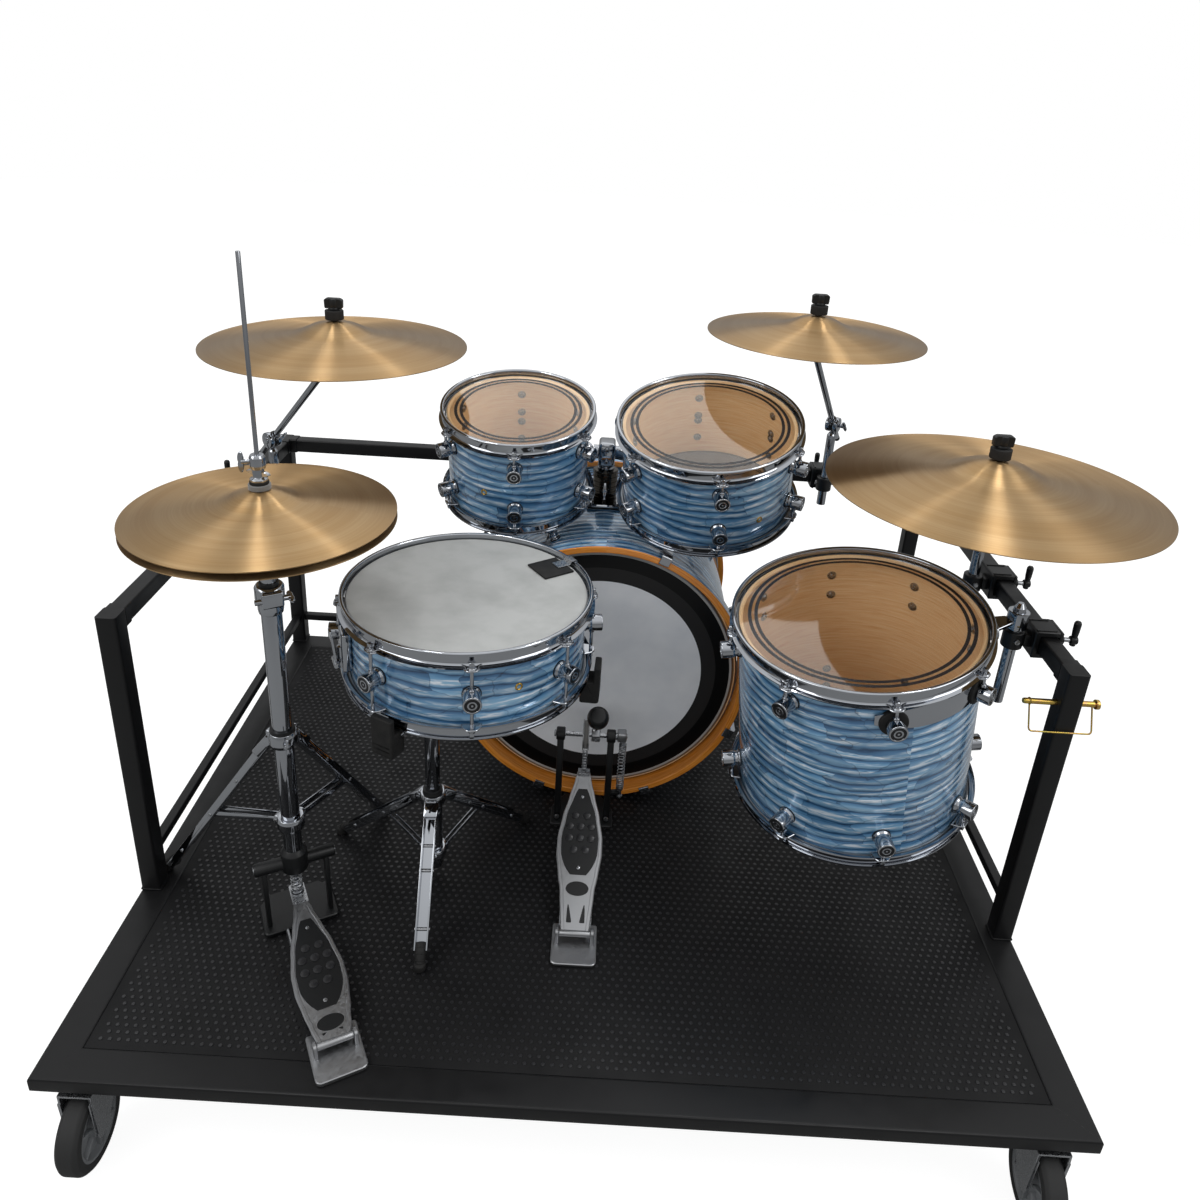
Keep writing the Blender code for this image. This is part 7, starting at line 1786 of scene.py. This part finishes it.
def add_drilled_length(piece, centre, half):
    """The length of post round the pin's hole: a square tube's outside, a bore and open ends' faces."""
    outline = [Vector(p) for p in tube_outline(POST, POST, 0.0028)]
    bore = 0.0049
    count = 32
    frame = Matrix.Translation(centre)
    for side in (-1, 1):
        x = side * POST / 2
        square = []
        for n in range(count):
            angle = 2 * math.pi * (n + 0.5) / count
            c, s = math.cos(angle), math.sin(angle)
            scale = 1 / max(abs(c) / (POST / 2 - 0.0040), abs(s) / half)
            square.append((x, c * scale, s * scale))
        ring = [(x, bore * math.cos(2 * math.pi * (n + 0.5) / count), bore * math.sin(2 * math.pi * (n + 0.5) / count))
                for n in range(count)]
        lip = [(x - side * 0.0020, p[1], p[2]) for p in ring]
        verts = [[piece.mesh.verts.new(frame @ Vector(p)) for p in row] for row in (square, ring, lip)]
        faces = []
        for a, b in ((0, 1), (1, 2)):
            for i in range(count):
                j = (i + 1) % count
                order = (verts[a][i], verts[a][j], verts[b][j], verts[b][i])
                faces.append(piece.mesh.faces.new(order if side > 0 else order[::-1]))
        for face in faces:
            face.material_index = piece.slot("powder")
    inset = POST / 2 - 0.0040
    for side in (-1, 1):
        edge = [p for p in outline if p.y * side >= inset - 1e-6]
        edge.sort(key=lambda p: p.x)
        line = [Vector((-POST / 2, side * inset))] + edge + [Vector((POST / 2, side * inset))]
        row = [[(p.x, p.y, z) for p in line] for z in (-half, half)]
        low, high = ([piece.mesh.verts.new(frame @ Vector(p)) for p in r] for r in row)
        for i in range(len(line) - 1):
            order = (low[i], low[i + 1], high[i + 1], high[i])
            face = piece.mesh.faces.new(order if side < 0 else order[::-1])
            face.material_index = piece.slot("powder")


def build_top_rails():
    half = 0.0286
    y_low, y_high = -0.242 + POST + 0.0133, HALF_DEPTH - POST - 0.0133
    x_reach = HALF_WIDTH - POST - 0.0133
    for name, start, end in (("top_rail_left", (-RAIL_X, y_low, RAIL_Z), (-RAIL_X, y_high, RAIL_Z)),
                             ("top_rail_right", (RAIL_X, y_low, RAIL_Z), (RAIL_X, y_high, RAIL_Z)),
                             ("top_rail_back", (-x_reach, BACK_Y, RAIL_Z), (x_reach, BACK_Y, RAIL_Z))):
        rail = Piece(name + "_tube")
        add_tube(rail, "powder", start, end, half, half)
        rail.done("cart", name, slot="black_powder_coat")


def build_hitch_pin():
    pin = Piece("hitch_pin_and_bail")
    left, right = RAIL_X - POST / 2 - 0.050, RAIL_X + POST / 2 + 0.026
    length = right - left
    axis = aimed((left, FRONT_Y, PIN_AXIS_Z), (1, 0, 0))
    pin.turned("zinc", rounded([(0, 0), (0.0038, 0.0), (0.0045, 0.0030), (0.0045, length), (0.0075, length),
                                (0.0075, length + 0.006), (0, length + 0.006)],
                               [0, 0.001, 0.001, 0, 0.0008, 0.0015, 0], 3), 32, axis)
    lean = Vector((0, -0.0195, -0.040))
    down = lean.normalized()
    leg_left = Vector((left + 0.010, FRONT_Y, PIN_AXIS_Z))
    leg_right = Vector((right - 0.004, FRONT_Y, PIN_AXIS_Z))
    path = [leg_left, leg_left + lean, leg_right + lean, leg_right]
    pin.tube("zinc", rounded(path, [0, 0.006, 0.006, 0], 6, closed=False), 0.0013, 12)
    pin.tube("zinc", [leg_left + Vector((0.0, 0.0048 * math.cos(a), 0.0048 * math.sin(a)))
                      for a in (2 * math.pi * n / 20 for n in range(20))], 0.0012, 8, loop=True)
    pin.done("pin", "hitch_pin", slot="yellow_zinc")


def add_fork(piece, axle, crown_top, pivot_y):
    """Pressed steel fork: crown, two tapering legs, axle bolt and nut."""
    inner = 0.0195
    outer = inner + 0.004
    crown = crown_top - 0.004
    low_y = min(axle[1] - 0.017, pivot_y - 0.033)
    high_y = max(axle[1] + 0.017, pivot_y + 0.033)
    piece.block("steel", (axle[0] - outer, low_y, crown), (axle[0] + outer, high_y, crown_top), bevel=0.0012)
    foot = axle[2] - 0.012
    leg = [(low_y, crown + 0.002), (high_y, crown + 0.002), (high_y, crown - 0.010), (axle[1] + 0.017, axle[2]),
           (axle[1] + 0.012, foot), (axle[1] - 0.012, foot), (axle[1] - 0.017, axle[2]), (low_y, crown - 0.010)]
    soft = rounded(leg, [0, 0, 0.006, 0.020, 0.010, 0.010, 0.020, 0.006], 5)
    stand = Matrix(((0, 0, 1, 0), (1, 0, 0, 0), (0, 1, 0, 0), (0, 0, 0, 1)))
    for low, high in ((-outer, -inner), (inner, outer)):
        piece.plate("steel", soft, axle[0] + low, axle[0] + high, stand, 0.0008)
    bolt = inner + 0.0010
    piece.rod("steel", (axle[0] - bolt, axle[1], axle[2]), (axle[0] + bolt, axle[1], axle[2]), 0.0059, 24)
    for side in (-1, 1):
        x = axle[0] + side * (outer - 0.0030)
        piece.rod("steel", (x, axle[1], axle[2]), (x + side * 0.0028, axle[1], axle[2]), 0.0098, 6, soften=0.0008)


def build_casters():
    wheel_z = -0.1807 + 0.0625
    caster_x, caster_y = HALF_WIDTH - 0.054, HALF_DEPTH - 0.054
    plate_bottom = -0.0297
    crown_top = plate_bottom - 0.009 - 0.0005
    for side, x in (("left", -caster_x), ("right", caster_x)):
        swivel = Piece("caster_fork_%s_pressing" % side)
        front = (x, -caster_y - 0.032, wheel_z)
        add_fork(swivel, front, crown_top, -caster_y)
        swivel.turned("steel", rounded([(0, crown_top - 0.0045), (0.0120, crown_top - 0.0045), (0.0110, crown_top - 0.0090),
                                        (0, crown_top - 0.0090)], [0, 0, 0.001, 0], 2), 6,
                      Matrix.Translation((x, -caster_y, 0)))
        swivel.done("caster_" + side, "caster_fork_" + side, slot="steel")
        rigid = Piece("caster_back_%s_pressing" % side)
        back = (x, caster_y, wheel_z)
        add_caster_plate(rigid, x, caster_y, -0.0257, "steel")
        add_fork(rigid, back, plate_bottom + 0.001, caster_y)
        rigid.done("cart", "caster_back_" + side, slot="steel")
        for end, centre in (("front", front), ("back", back)):
            build_wheel("%s_%s" % (end, side), centre)


def build_wheel(name, centre):
    """Grey cast hub with ribs, its bearing, and a black rubber tread."""
    wheel = Piece("wheel_%s_with_tread" % name)
    out = aimed(centre, (1, 0, 0))
    tread = rounded([(0.0470, -0.0160), (0.0575, -0.0160), (0.0625, -0.0105), (0.0625, 0.0105), (0.0575, 0.0160),
                     (0.0470, 0.0160)], [0, 0.003, 0.006, 0.006, 0.003, 0], 5)
    wheel.turned("tyre", tread, 72, out)
    rim = rounded([(0.0063, -0.0190), (0.0135, -0.0190), (0.0150, -0.0165), (0.0155, -0.0070), (0.0400, -0.0070),
                   (0.0430, -0.0150), (0.0474, -0.0155), (0.0474, 0.0155), (0.0430, 0.0150), (0.0400, 0.0070),
                   (0.0155, 0.0070), (0.0150, 0.0165), (0.0135, 0.0190), (0.0063, 0.0190)], 0.0010, 2)
    wheel.turned("hub", rim, 64, out)
    for n in range(6):
        spoke = out @ turned_to(60.0 * n)
        for side in (-1, 1):
            low, high = sorted((side * 0.0060, side * 0.0140))
            wheel.block("hub", (0.0140, -0.0018, low), (0.0435, 0.0018, high), spoke, 0.0006)
    wheel.done({"front_left": "front_left_wheel", "front_right": "front_right_wheel",
                "back_left": "back_left_wheel", "back_right": "back_right_wheel"}[name], "wheel_" + name,
               slot="tyre_rubber")


# Bass drum and double tom mount

BASS_RADIUS = 10 * INCH
BASS_HOOP = 0.270
BASS_TOTAL = 16 * INCH + 2 * 0.0259
BASS_AT = (0.0144, 0.0527, 0.2703)


def bass_lug_unit():
    """A full-length style lug end: the toms' barrel, larger, on its gasket."""
    unit = Piece("bass_lug")
    out = aimed((0, 0, 0), (1, 0, 0))
    unit.turned("rubber", [(0, -0.0005), (0.0130, -0.0005), (0.0130, 0.0012), (0, 0.0012)], 28, out)
    barrel = [(0, 0.0010), (0.0125, 0.0010), (0.0125, 0.0030), (0.0104, 0.0056), (0.0106, 0.0085),
              (0.0116, 0.0110), (0.0118, 0.0296), (0.0094, 0.0296), (0.0094, 0.0284), (0, 0.0284)]
    unit.turned("chrome", rounded(barrel, [0, 0.0006, 0.0008, 0.002, 0.001, 0.001, 0.0016, 0.0005, 0.0004, 0], 3),
                32, out)
    unit.turned("nylon", [(0.0064, 0.0280), (0.0091, 0.0280), (0.0091, 0.0290), (0.0064, 0.0290)], 28, out)
    unit.turned("nylon", [(0, 0.0280), (0.0040, 0.0280), (0.0040, 0.0290), (0, 0.0290)], 20, out)
    return unit


def claw_unit():
    """Pressed claw over the hoop with its T-rod and washer; X is outwards, Z to the shell."""
    unit = Piece("claw")
    under, outer = BASS_HOOP - 0.0022, BASS_HOOP + 0.0115
    hook = [(under - 0.0058, 0.0006), (under - 0.0058, -0.0022), (outer - 0.004, -0.0022), (outer - 0.0010, 0.004),
            (outer - 0.0010, 0.0285)]
    section = strip(rounded(hook, [0, 0.001, 0.004, 0.004, 0], 4, closed=False), 0.0024)
    unit.plate("chrome", [(p.x, -p.y) for p in section], -0.0095, 0.0095, Matrix.Rotation(-math.pi / 2, 4, "X"),
               0.0005)
    for side in (-1, 1):
        low, high = sorted((side * 0.0082, side * 0.0096))
        cheek = rounded([(under + 0.0030, -0.0020), (outer - 0.0015, -0.0020), (outer - 0.0015, 0.0285),
                         (BASS_HOOP + 0.0010, 0.0285), (BASS_HOOP + 0.0010, 0.0010)],
                        [0.001, 0.004, 0.003, 0.002, 0], 3)
        unit.plate("chrome", [(p.x, -p.y) for p in cheek], low, high, Matrix.Rotation(-math.pi / 2, 4, "X"), 0.0003)
    rod_out = BASS_HOOP + 0.006
    unit.block("chrome", (rod_out - 0.0050, -0.0085, 0.0250), (outer, 0.0085, 0.0300), bevel=0.0012)
    unit.rod("chrome", (rod_out, 0, 0.0295), (rod_out, 0, 0.0840), 0.0028, 14)
    unit.rod("chrome", (rod_out, 0, 0.0150), (rod_out, 0, 0.0255), 0.0046, 4, soften=0.0008)
    unit.turned("chrome", rounded([(0, 0.0800), (0.0046, 0.0800), (0.0046, 0.0850), (0, 0.0850)],
                                  [0, 0.001, 0, 0], 2), 18, Matrix.Translation((rod_out, 0, 0)))
    return unit


def build_bass_shell():
    frame = aimed(BASS_AT, (0, 1, 0), (0, 0, 1))
    inset = 0.0259
    shell = Piece("bass_shell_and_lugs")
    low, high = inset, BASS_TOTAL - inset
    r = BASS_RADIUS
    outline = [(r - 0.007, low + 0.004), (r - 0.0022, low), (r - 0.0004, low + 0.001), (r, low + 0.003),
               (r, high - 0.003), (r - 0.0004, high - 0.001), (r - 0.0022, high), (r - 0.007, high - 0.004)]
    shell.turned(["maple", "maple", "maple", "wrap", "maple", "maple", "maple", "maple"], outline, 192, frame,
                 math.pi)
    for z in (0.095, BASS_TOTAL - 0.095):
        shell.spaced(RING, bass_lug_unit(), frame @ Matrix.Translation((0, 0, z)), Count=8, Radius=r - 0.0002,
                     Start=math.radians(22.5))
    add_grommet(shell, frame, r, 90.0, BASS_TOTAL / 2)
    inverse = frame.inverted()
    for side in (-1, 1):
        angle = math.radians(-12.0)
        out = Vector((side * math.cos(angle), 0, math.sin(angle)))
        seat = Vector((BASS_AT[0], 0.400, BASS_AT[2])) + out * (r - 0.0005)
        spot = aimed(seat, out, (0, 1, 0))
        shell.block("chrome", (-0.021, -0.0135, 0), (0.021, 0.0135, 0.006), spot, 0.003, 3)
        shell.block("chrome", (-0.0135, -0.0125, 0.004), (0.0135, 0.0125, 0.0200), spot, 0.004, 3)
        hub = Vector((BASS_AT[0], 0.400, BASS_AT[2])) + out * (r + 0.016)
        foot = Vector((BASS_AT[0] + side * (r + 0.120), 0.455, 0.018))
        shell.rod("chrome", hub - out * 0.004, foot, 0.0078, 32)
        shell.sleeve("chrome", hub + (foot - hub) * 0.045, hub + (foot - hub) * 0.11, 0.0076, 0.0112, 32)
        shell.rod("rubber", foot + Vector((0, 0, 0.004)), (foot.x, foot.y, 0.0003), 0.0118, 28, end_radius=0.0092,
                  soften=0.002)
    shell.done("cart", "bass_shell", slot="blue_pearl_wrap")


def build_bass_hoops_and_heads():
    near = aimed(BASS_AT, (0, 1, 0), (0, 0, 1))
    far = near @ Matrix.Translation((0, 0, BASS_TOTAL)) @ Matrix.Rotation(math.pi, 4, "X")
    r = BASS_RADIUS
    for name, end in (("batter", near), ("front", far)):
        hoop = Piece("bass_%s_hoop_and_claws" % name)
        section = rounded([(0.2578, 0), (BASS_HOOP, 0), (BASS_HOOP, 0.039), (0.2578, 0.039)], 0.0022, 4)
        # The inlay round its outer face is the shells' wrap
        faces = ["wrap" if min(p.x, q.x) > BASS_HOOP - 1e-5 else "amber"
                 for p, q in zip(section, section[1:] + section[:1])]
        hoop.turned(faces, section, 192, end)
        # Claws are as many as the lugs; the far end is turned over, so its first angle is too
        hoop.spaced(RING, claw_unit(), end, Count=8, Radius=0.0, Start=math.radians(22.5))
        hoop.done("cart", "bass_hoop_" + name, slot="amber_wood")
        head = Piece("bass_%s_head_film" % name)
        z = 0.025
        edges, finishes = [0.0, 0.190, 0.217, 0.2425, r - 0.006], ["frosted", "grey_ring", "black_ring", "coated"]
        if name == "front":
            edges, finishes = [0.0, 0.2425, r - 0.006], ["frosted", "coated"]
        line = [(x, z) for x in edges] + [(r + 0.0010, z + 0.0035), (r + 0.0014, z + 0.0110)]
        line = rounded(line, [0] * (len(edges) - 1) + [0.006, 0.004, 0], 4, closed=False)
        film = finishes + ["film_edge"] * (len(line) - 1 - len(finishes))
        sheet = strip(line, 0.0004)
        head.turned(film + ["film_edge"] + film[::-1] + ["film_edge"], sheet, 160, end)
        hoop_ring = rounded([(r + 0.0006, z + 0.0075), (r + 0.0031, z + 0.0075), (r + 0.0031, z + 0.0118),
                             (r + 0.0006, z + 0.0118)], 0.0006, 2)
        head.turned("film_edge", hoop_ring, 160, end)
        head.done("cart", "bass_head_" + name, slot="frosted_film")


def build_tom_mount():
    mount = Piece("double_tom_mount")
    x, y = 0.006, 0.300
    base_z = BASS_AT[2] + BASS_RADIUS + 0.0003
    # Base plate bedded on a gasket, with its four screws
    outline = rounded([(x - 0.035, y - 0.050), (x + 0.035, y - 0.050), (x + 0.035, y + 0.050),
                       (x - 0.035, y + 0.050)], 0.012, 5)
    mount.plate("rubber", outline, base_z, base_z + 0.0018, bevel=0.0004)
    mount.plate("chrome", outline, base_z + 0.0016, base_z + 0.0080, bevel=0.0020)
    for sx in (-1, 1):
        for sy in (-1, 1):
            spot = Vector((x + sx * 0.0245, y + sy * 0.0395, base_z + 0.0078))
            mount.rod("chrome", spot, spot + Vector((0, 0, 0.0030)), 0.0050, 20, soften=0.0015)
    at = Matrix.Translation((x, y, 0))
    mount.turned("smoked", rounded([(0, base_z + 0.0075), (0.0235, base_z + 0.0075), (0.0235, 0.590), (0, 0.590)],
                                   [0, 0.002, 0.002, 0], 3), 48, at)
    for z in (0.5335, 0.5435, 0.5535, 0.5635, 0.5735, 0.5835):
        mount.sleeve("smoked", (x, y, z), (x, y, z + 0.0050), 0.0230, 0.0243, 48)
    mount.rod("chrome", (x, y, 0.588), (x, y, 0.602), 0.0165, 40, soften=0.002)
    key = at @ turned_to(-90.0)
    mount.rod("chrome", (0.0230, 0, base_z + 0.030), (0.0330, 0, base_z + 0.030), 0.0050, 20, key)
    add_wing(mount, "chrome", key @ aimed((0.0335, 0, base_z + 0.030), (1, 0, 0), (0, 0, 1)), 0.0180, 0.0070, 0.0050)
    mount.block("chrome", (x - 0.016, y - 0.022, 0.600), (x + 0.016, y + 0.022, 0.648), bevel=0.006, steps=4)
    for side in (-1, 1):
        centre = Vector((x, y, 0.624))
        mount.rod("chrome", centre + Vector((side * 0.0120, 0, 0)), centre + Vector((side * 0.0163, 0, 0)), 0.0150, 36,
                  soften=0.001)
    for z in (0.612, 0.636):
        mount.rod("chrome", (x, y - 0.0215, z), (x, y - 0.0275, z), 0.0048, 20, soften=0.001)
        mount.rod("nylon", (x, y - 0.0270, z), (x, y - 0.0285, z), 0.0026, 4, soften=0.0002)
    mount.done("cart", "tom_mount", slot="chrome")


BUILDERS = [build_deck_frame, build_deck_panel, build_rack, build_top_rails, build_hitch_pin, build_casters, build_bass_shell, build_bass_hoops_and_heads, build_tom_mount, build_toms, build_floor_tom, build_snare, build_snare_stand, build_clamps, build_booms, build_cymbals, build_hihat_stand, build_hihat_cymbals, build_hihat_clutch, build_hihat_spring, build_hihat_footboard, build_pedal_frame, build_pedal_footboard, build_beater, build_pedal_spring]


def dress(node, finish):
    """Give a carried-over CAD node its real finish."""
    mesh = NODES[node].data
    mesh.materials.clear()
    mesh.materials.append(FINISHES[finish])


def dress_nodes():
    for node in NODES:
        if node == "deck_panel":
            dress(node, "mat")
        elif node.startswith(("deck_frame", "rack_frame", "top_rail")):
            dress(node, "powder")
        elif node.startswith("wheel"):
            dress(node, "tyre")
        elif node == "hitch_pin":
            dress(node, "zinc")
        elif node in ("ride", "crash_left", "crash_right") or node.endswith("cymbal"):
            dress(node, "bronze")
        elif node.endswith("_shell"):
            dress(node, "wrap")
        elif node.startswith("bass_hoop"):
            dress(node, "amber")
        elif node.startswith("bass_head"):
            dress(node, "frosted")
        elif node == "snare_head":
            dress(node, "coated")
        elif node.endswith("_head"):
            dress(node, "clear")
        elif node.endswith("_clamp") or node == "pedal_frame":
            dress(node, "nylon")
        elif node in ("snare_wires", "hihat_spring", "pedal_spring", "hihat_rod"):
            dress(node, "steel")
        else:
            dress(node, "chrome")


# Studio

def build_camera():
    data = bpy.data.cameras.new("camera")
    data.lens = 28.43
    data.sensor_width = 36.0
    data.shift_y = -0.0833
    camera = bpy.data.objects.new("camera", data)
    pitch = math.radians(90 - 23.081)
    roll = math.radians(3.379)
    camera.matrix_world = (LIFT @ Matrix.Translation((-0.002, -1.4237, 1.2569))
                           @ Matrix.Rotation(pitch, 4, "X") @ Matrix.Rotation(roll, 4, "Z"))
    bpy.context.scene.collection.objects.link(camera)
    bpy.context.scene.camera = camera


def build_world():
    """Soft white surround; the camera and glass see plain white, and gloss a pale room brighter overhead."""
    world = bpy.data.worlds.new("studio")
    bpy.context.scene.world = world
    world.use_nodes = True
    tree = world.node_tree
    tree.nodes.clear()
    path = add(tree, "ShaderNodeLightPath")
    seen = add(tree, "ShaderNodeMath", {0: path.outputs["Is Camera Ray"], 1: path.outputs["Is Transmission Ray"]},
               operation="MAXIMUM")
    height = add(tree, "ShaderNodeSeparateXYZ", {0: add(tree, "ShaderNodeTexCoord").outputs["Generated"]})
    room = add(tree, "ShaderNodeMapRange", {"Value": height.outputs["Z"], "From Min": 0.0, "From Max": 0.85,
                                            "To Min": 0.25, "To Max": 1.05}).outputs[0]
    light = add(tree, "ShaderNodeBackground", {"Color": linear("f4f6f8"), "Strength": 0.84})
    white = add(tree, "ShaderNodeBackground", {"Color": (1, 1, 1, 1), "Strength": 1.0})
    gloss = add(tree, "ShaderNodeBackground", {"Color": linear("f8f9fa"), "Strength": room})
    lit = add(tree, "ShaderNodeMixShader", {0: path.outputs["Is Glossy Ray"], 1: light.outputs[0],
                                            2: gloss.outputs[0]})
    both = add(tree, "ShaderNodeMixShader", {0: seen.outputs[0], 1: lit.outputs[0], 2: white.outputs[0]})
    add(tree, "ShaderNodeOutputWorld", {"Surface": both.outputs[0]})


def build_lamp(name, place, target, size, power, shape="RECTANGLE"):
    data = bpy.data.lights.new(name, "AREA")
    data.shape = shape
    data.size, data.size_y = size
    data.energy = power
    lamp = bpy.data.objects.new(name, data)
    way = Vector(target) - Vector(place)
    lamp.matrix_world = (LIFT @ Matrix.Translation(place)
                         @ way.to_track_quat("-Z", "Y").to_matrix().to_4x4())
    bpy.context.scene.collection.objects.link(lamp)


def build_floor():
    """Pale paper floor; what the camera sees of it is lifted towards white."""
    mesh = bpy.data.meshes.new("floor")
    shape = bmesh.new()
    bmesh.ops.create_circle(shape, cap_ends=True, segments=96, radius=14.0)
    shape.to_mesh(mesh)
    shape.free()
    floor = bpy.data.objects.new("floor", mesh)
    made, tree, shader = finish_of("pale_floor", "8c8c8b", 0.9, Specular_IOR_Level=0.2)
    path = add(tree, "ShaderNodeLightPath").outputs
    glow = add(tree, "ShaderNodeMath", {0: path["Is Camera Ray"], 1: path["Is Transmission Ray"]},
               operation="MAXIMUM").outputs[0]
    glow = sum_of(tree, glow, 0.9, sum_of(tree, path["Is Glossy Ray"], 0.06))
    shader.inputs["Emission Color"].default_value = (1, 1, 1, 1)
    tree.links.new(glow, shader.inputs["Emission Strength"])
    mesh.materials.append(made)
    bpy.context.scene.collection.objects.link(floor)


def build_studio():
    build_camera()
    build_world()
    build_lamp("softbox_left", (-2.4, -1.6, 2.6), (0, 0, 0.5), (1.8, 1.8), 30)
    build_lamp("softbox_right", (2.4, -1.2, 2.4), (0, 0, 0.5), (1.6, 1.6), 21)
    build_lamp("overhead_left", (-0.75, 0.2, 2.9), (0, 0, 0.5), (0.26, 0.26), 5)
    build_lamp("overhead_right", (0.95, 0.3, 2.9), (0, 0, 0.5), (0.32, 0.32), 7)
    # A round silk behind the set, seen in its heads
    build_lamp("silk_back", (-0.30, 2.35, 3.05), (0, 0, 0.6), (2.4, 2.4), 7, "DISK")
    build_floor()
    settings = bpy.context.scene.view_settings
    settings.view_transform = "Standard"


build_studio()
dress_nodes()
for build in BUILDERS:
    build()
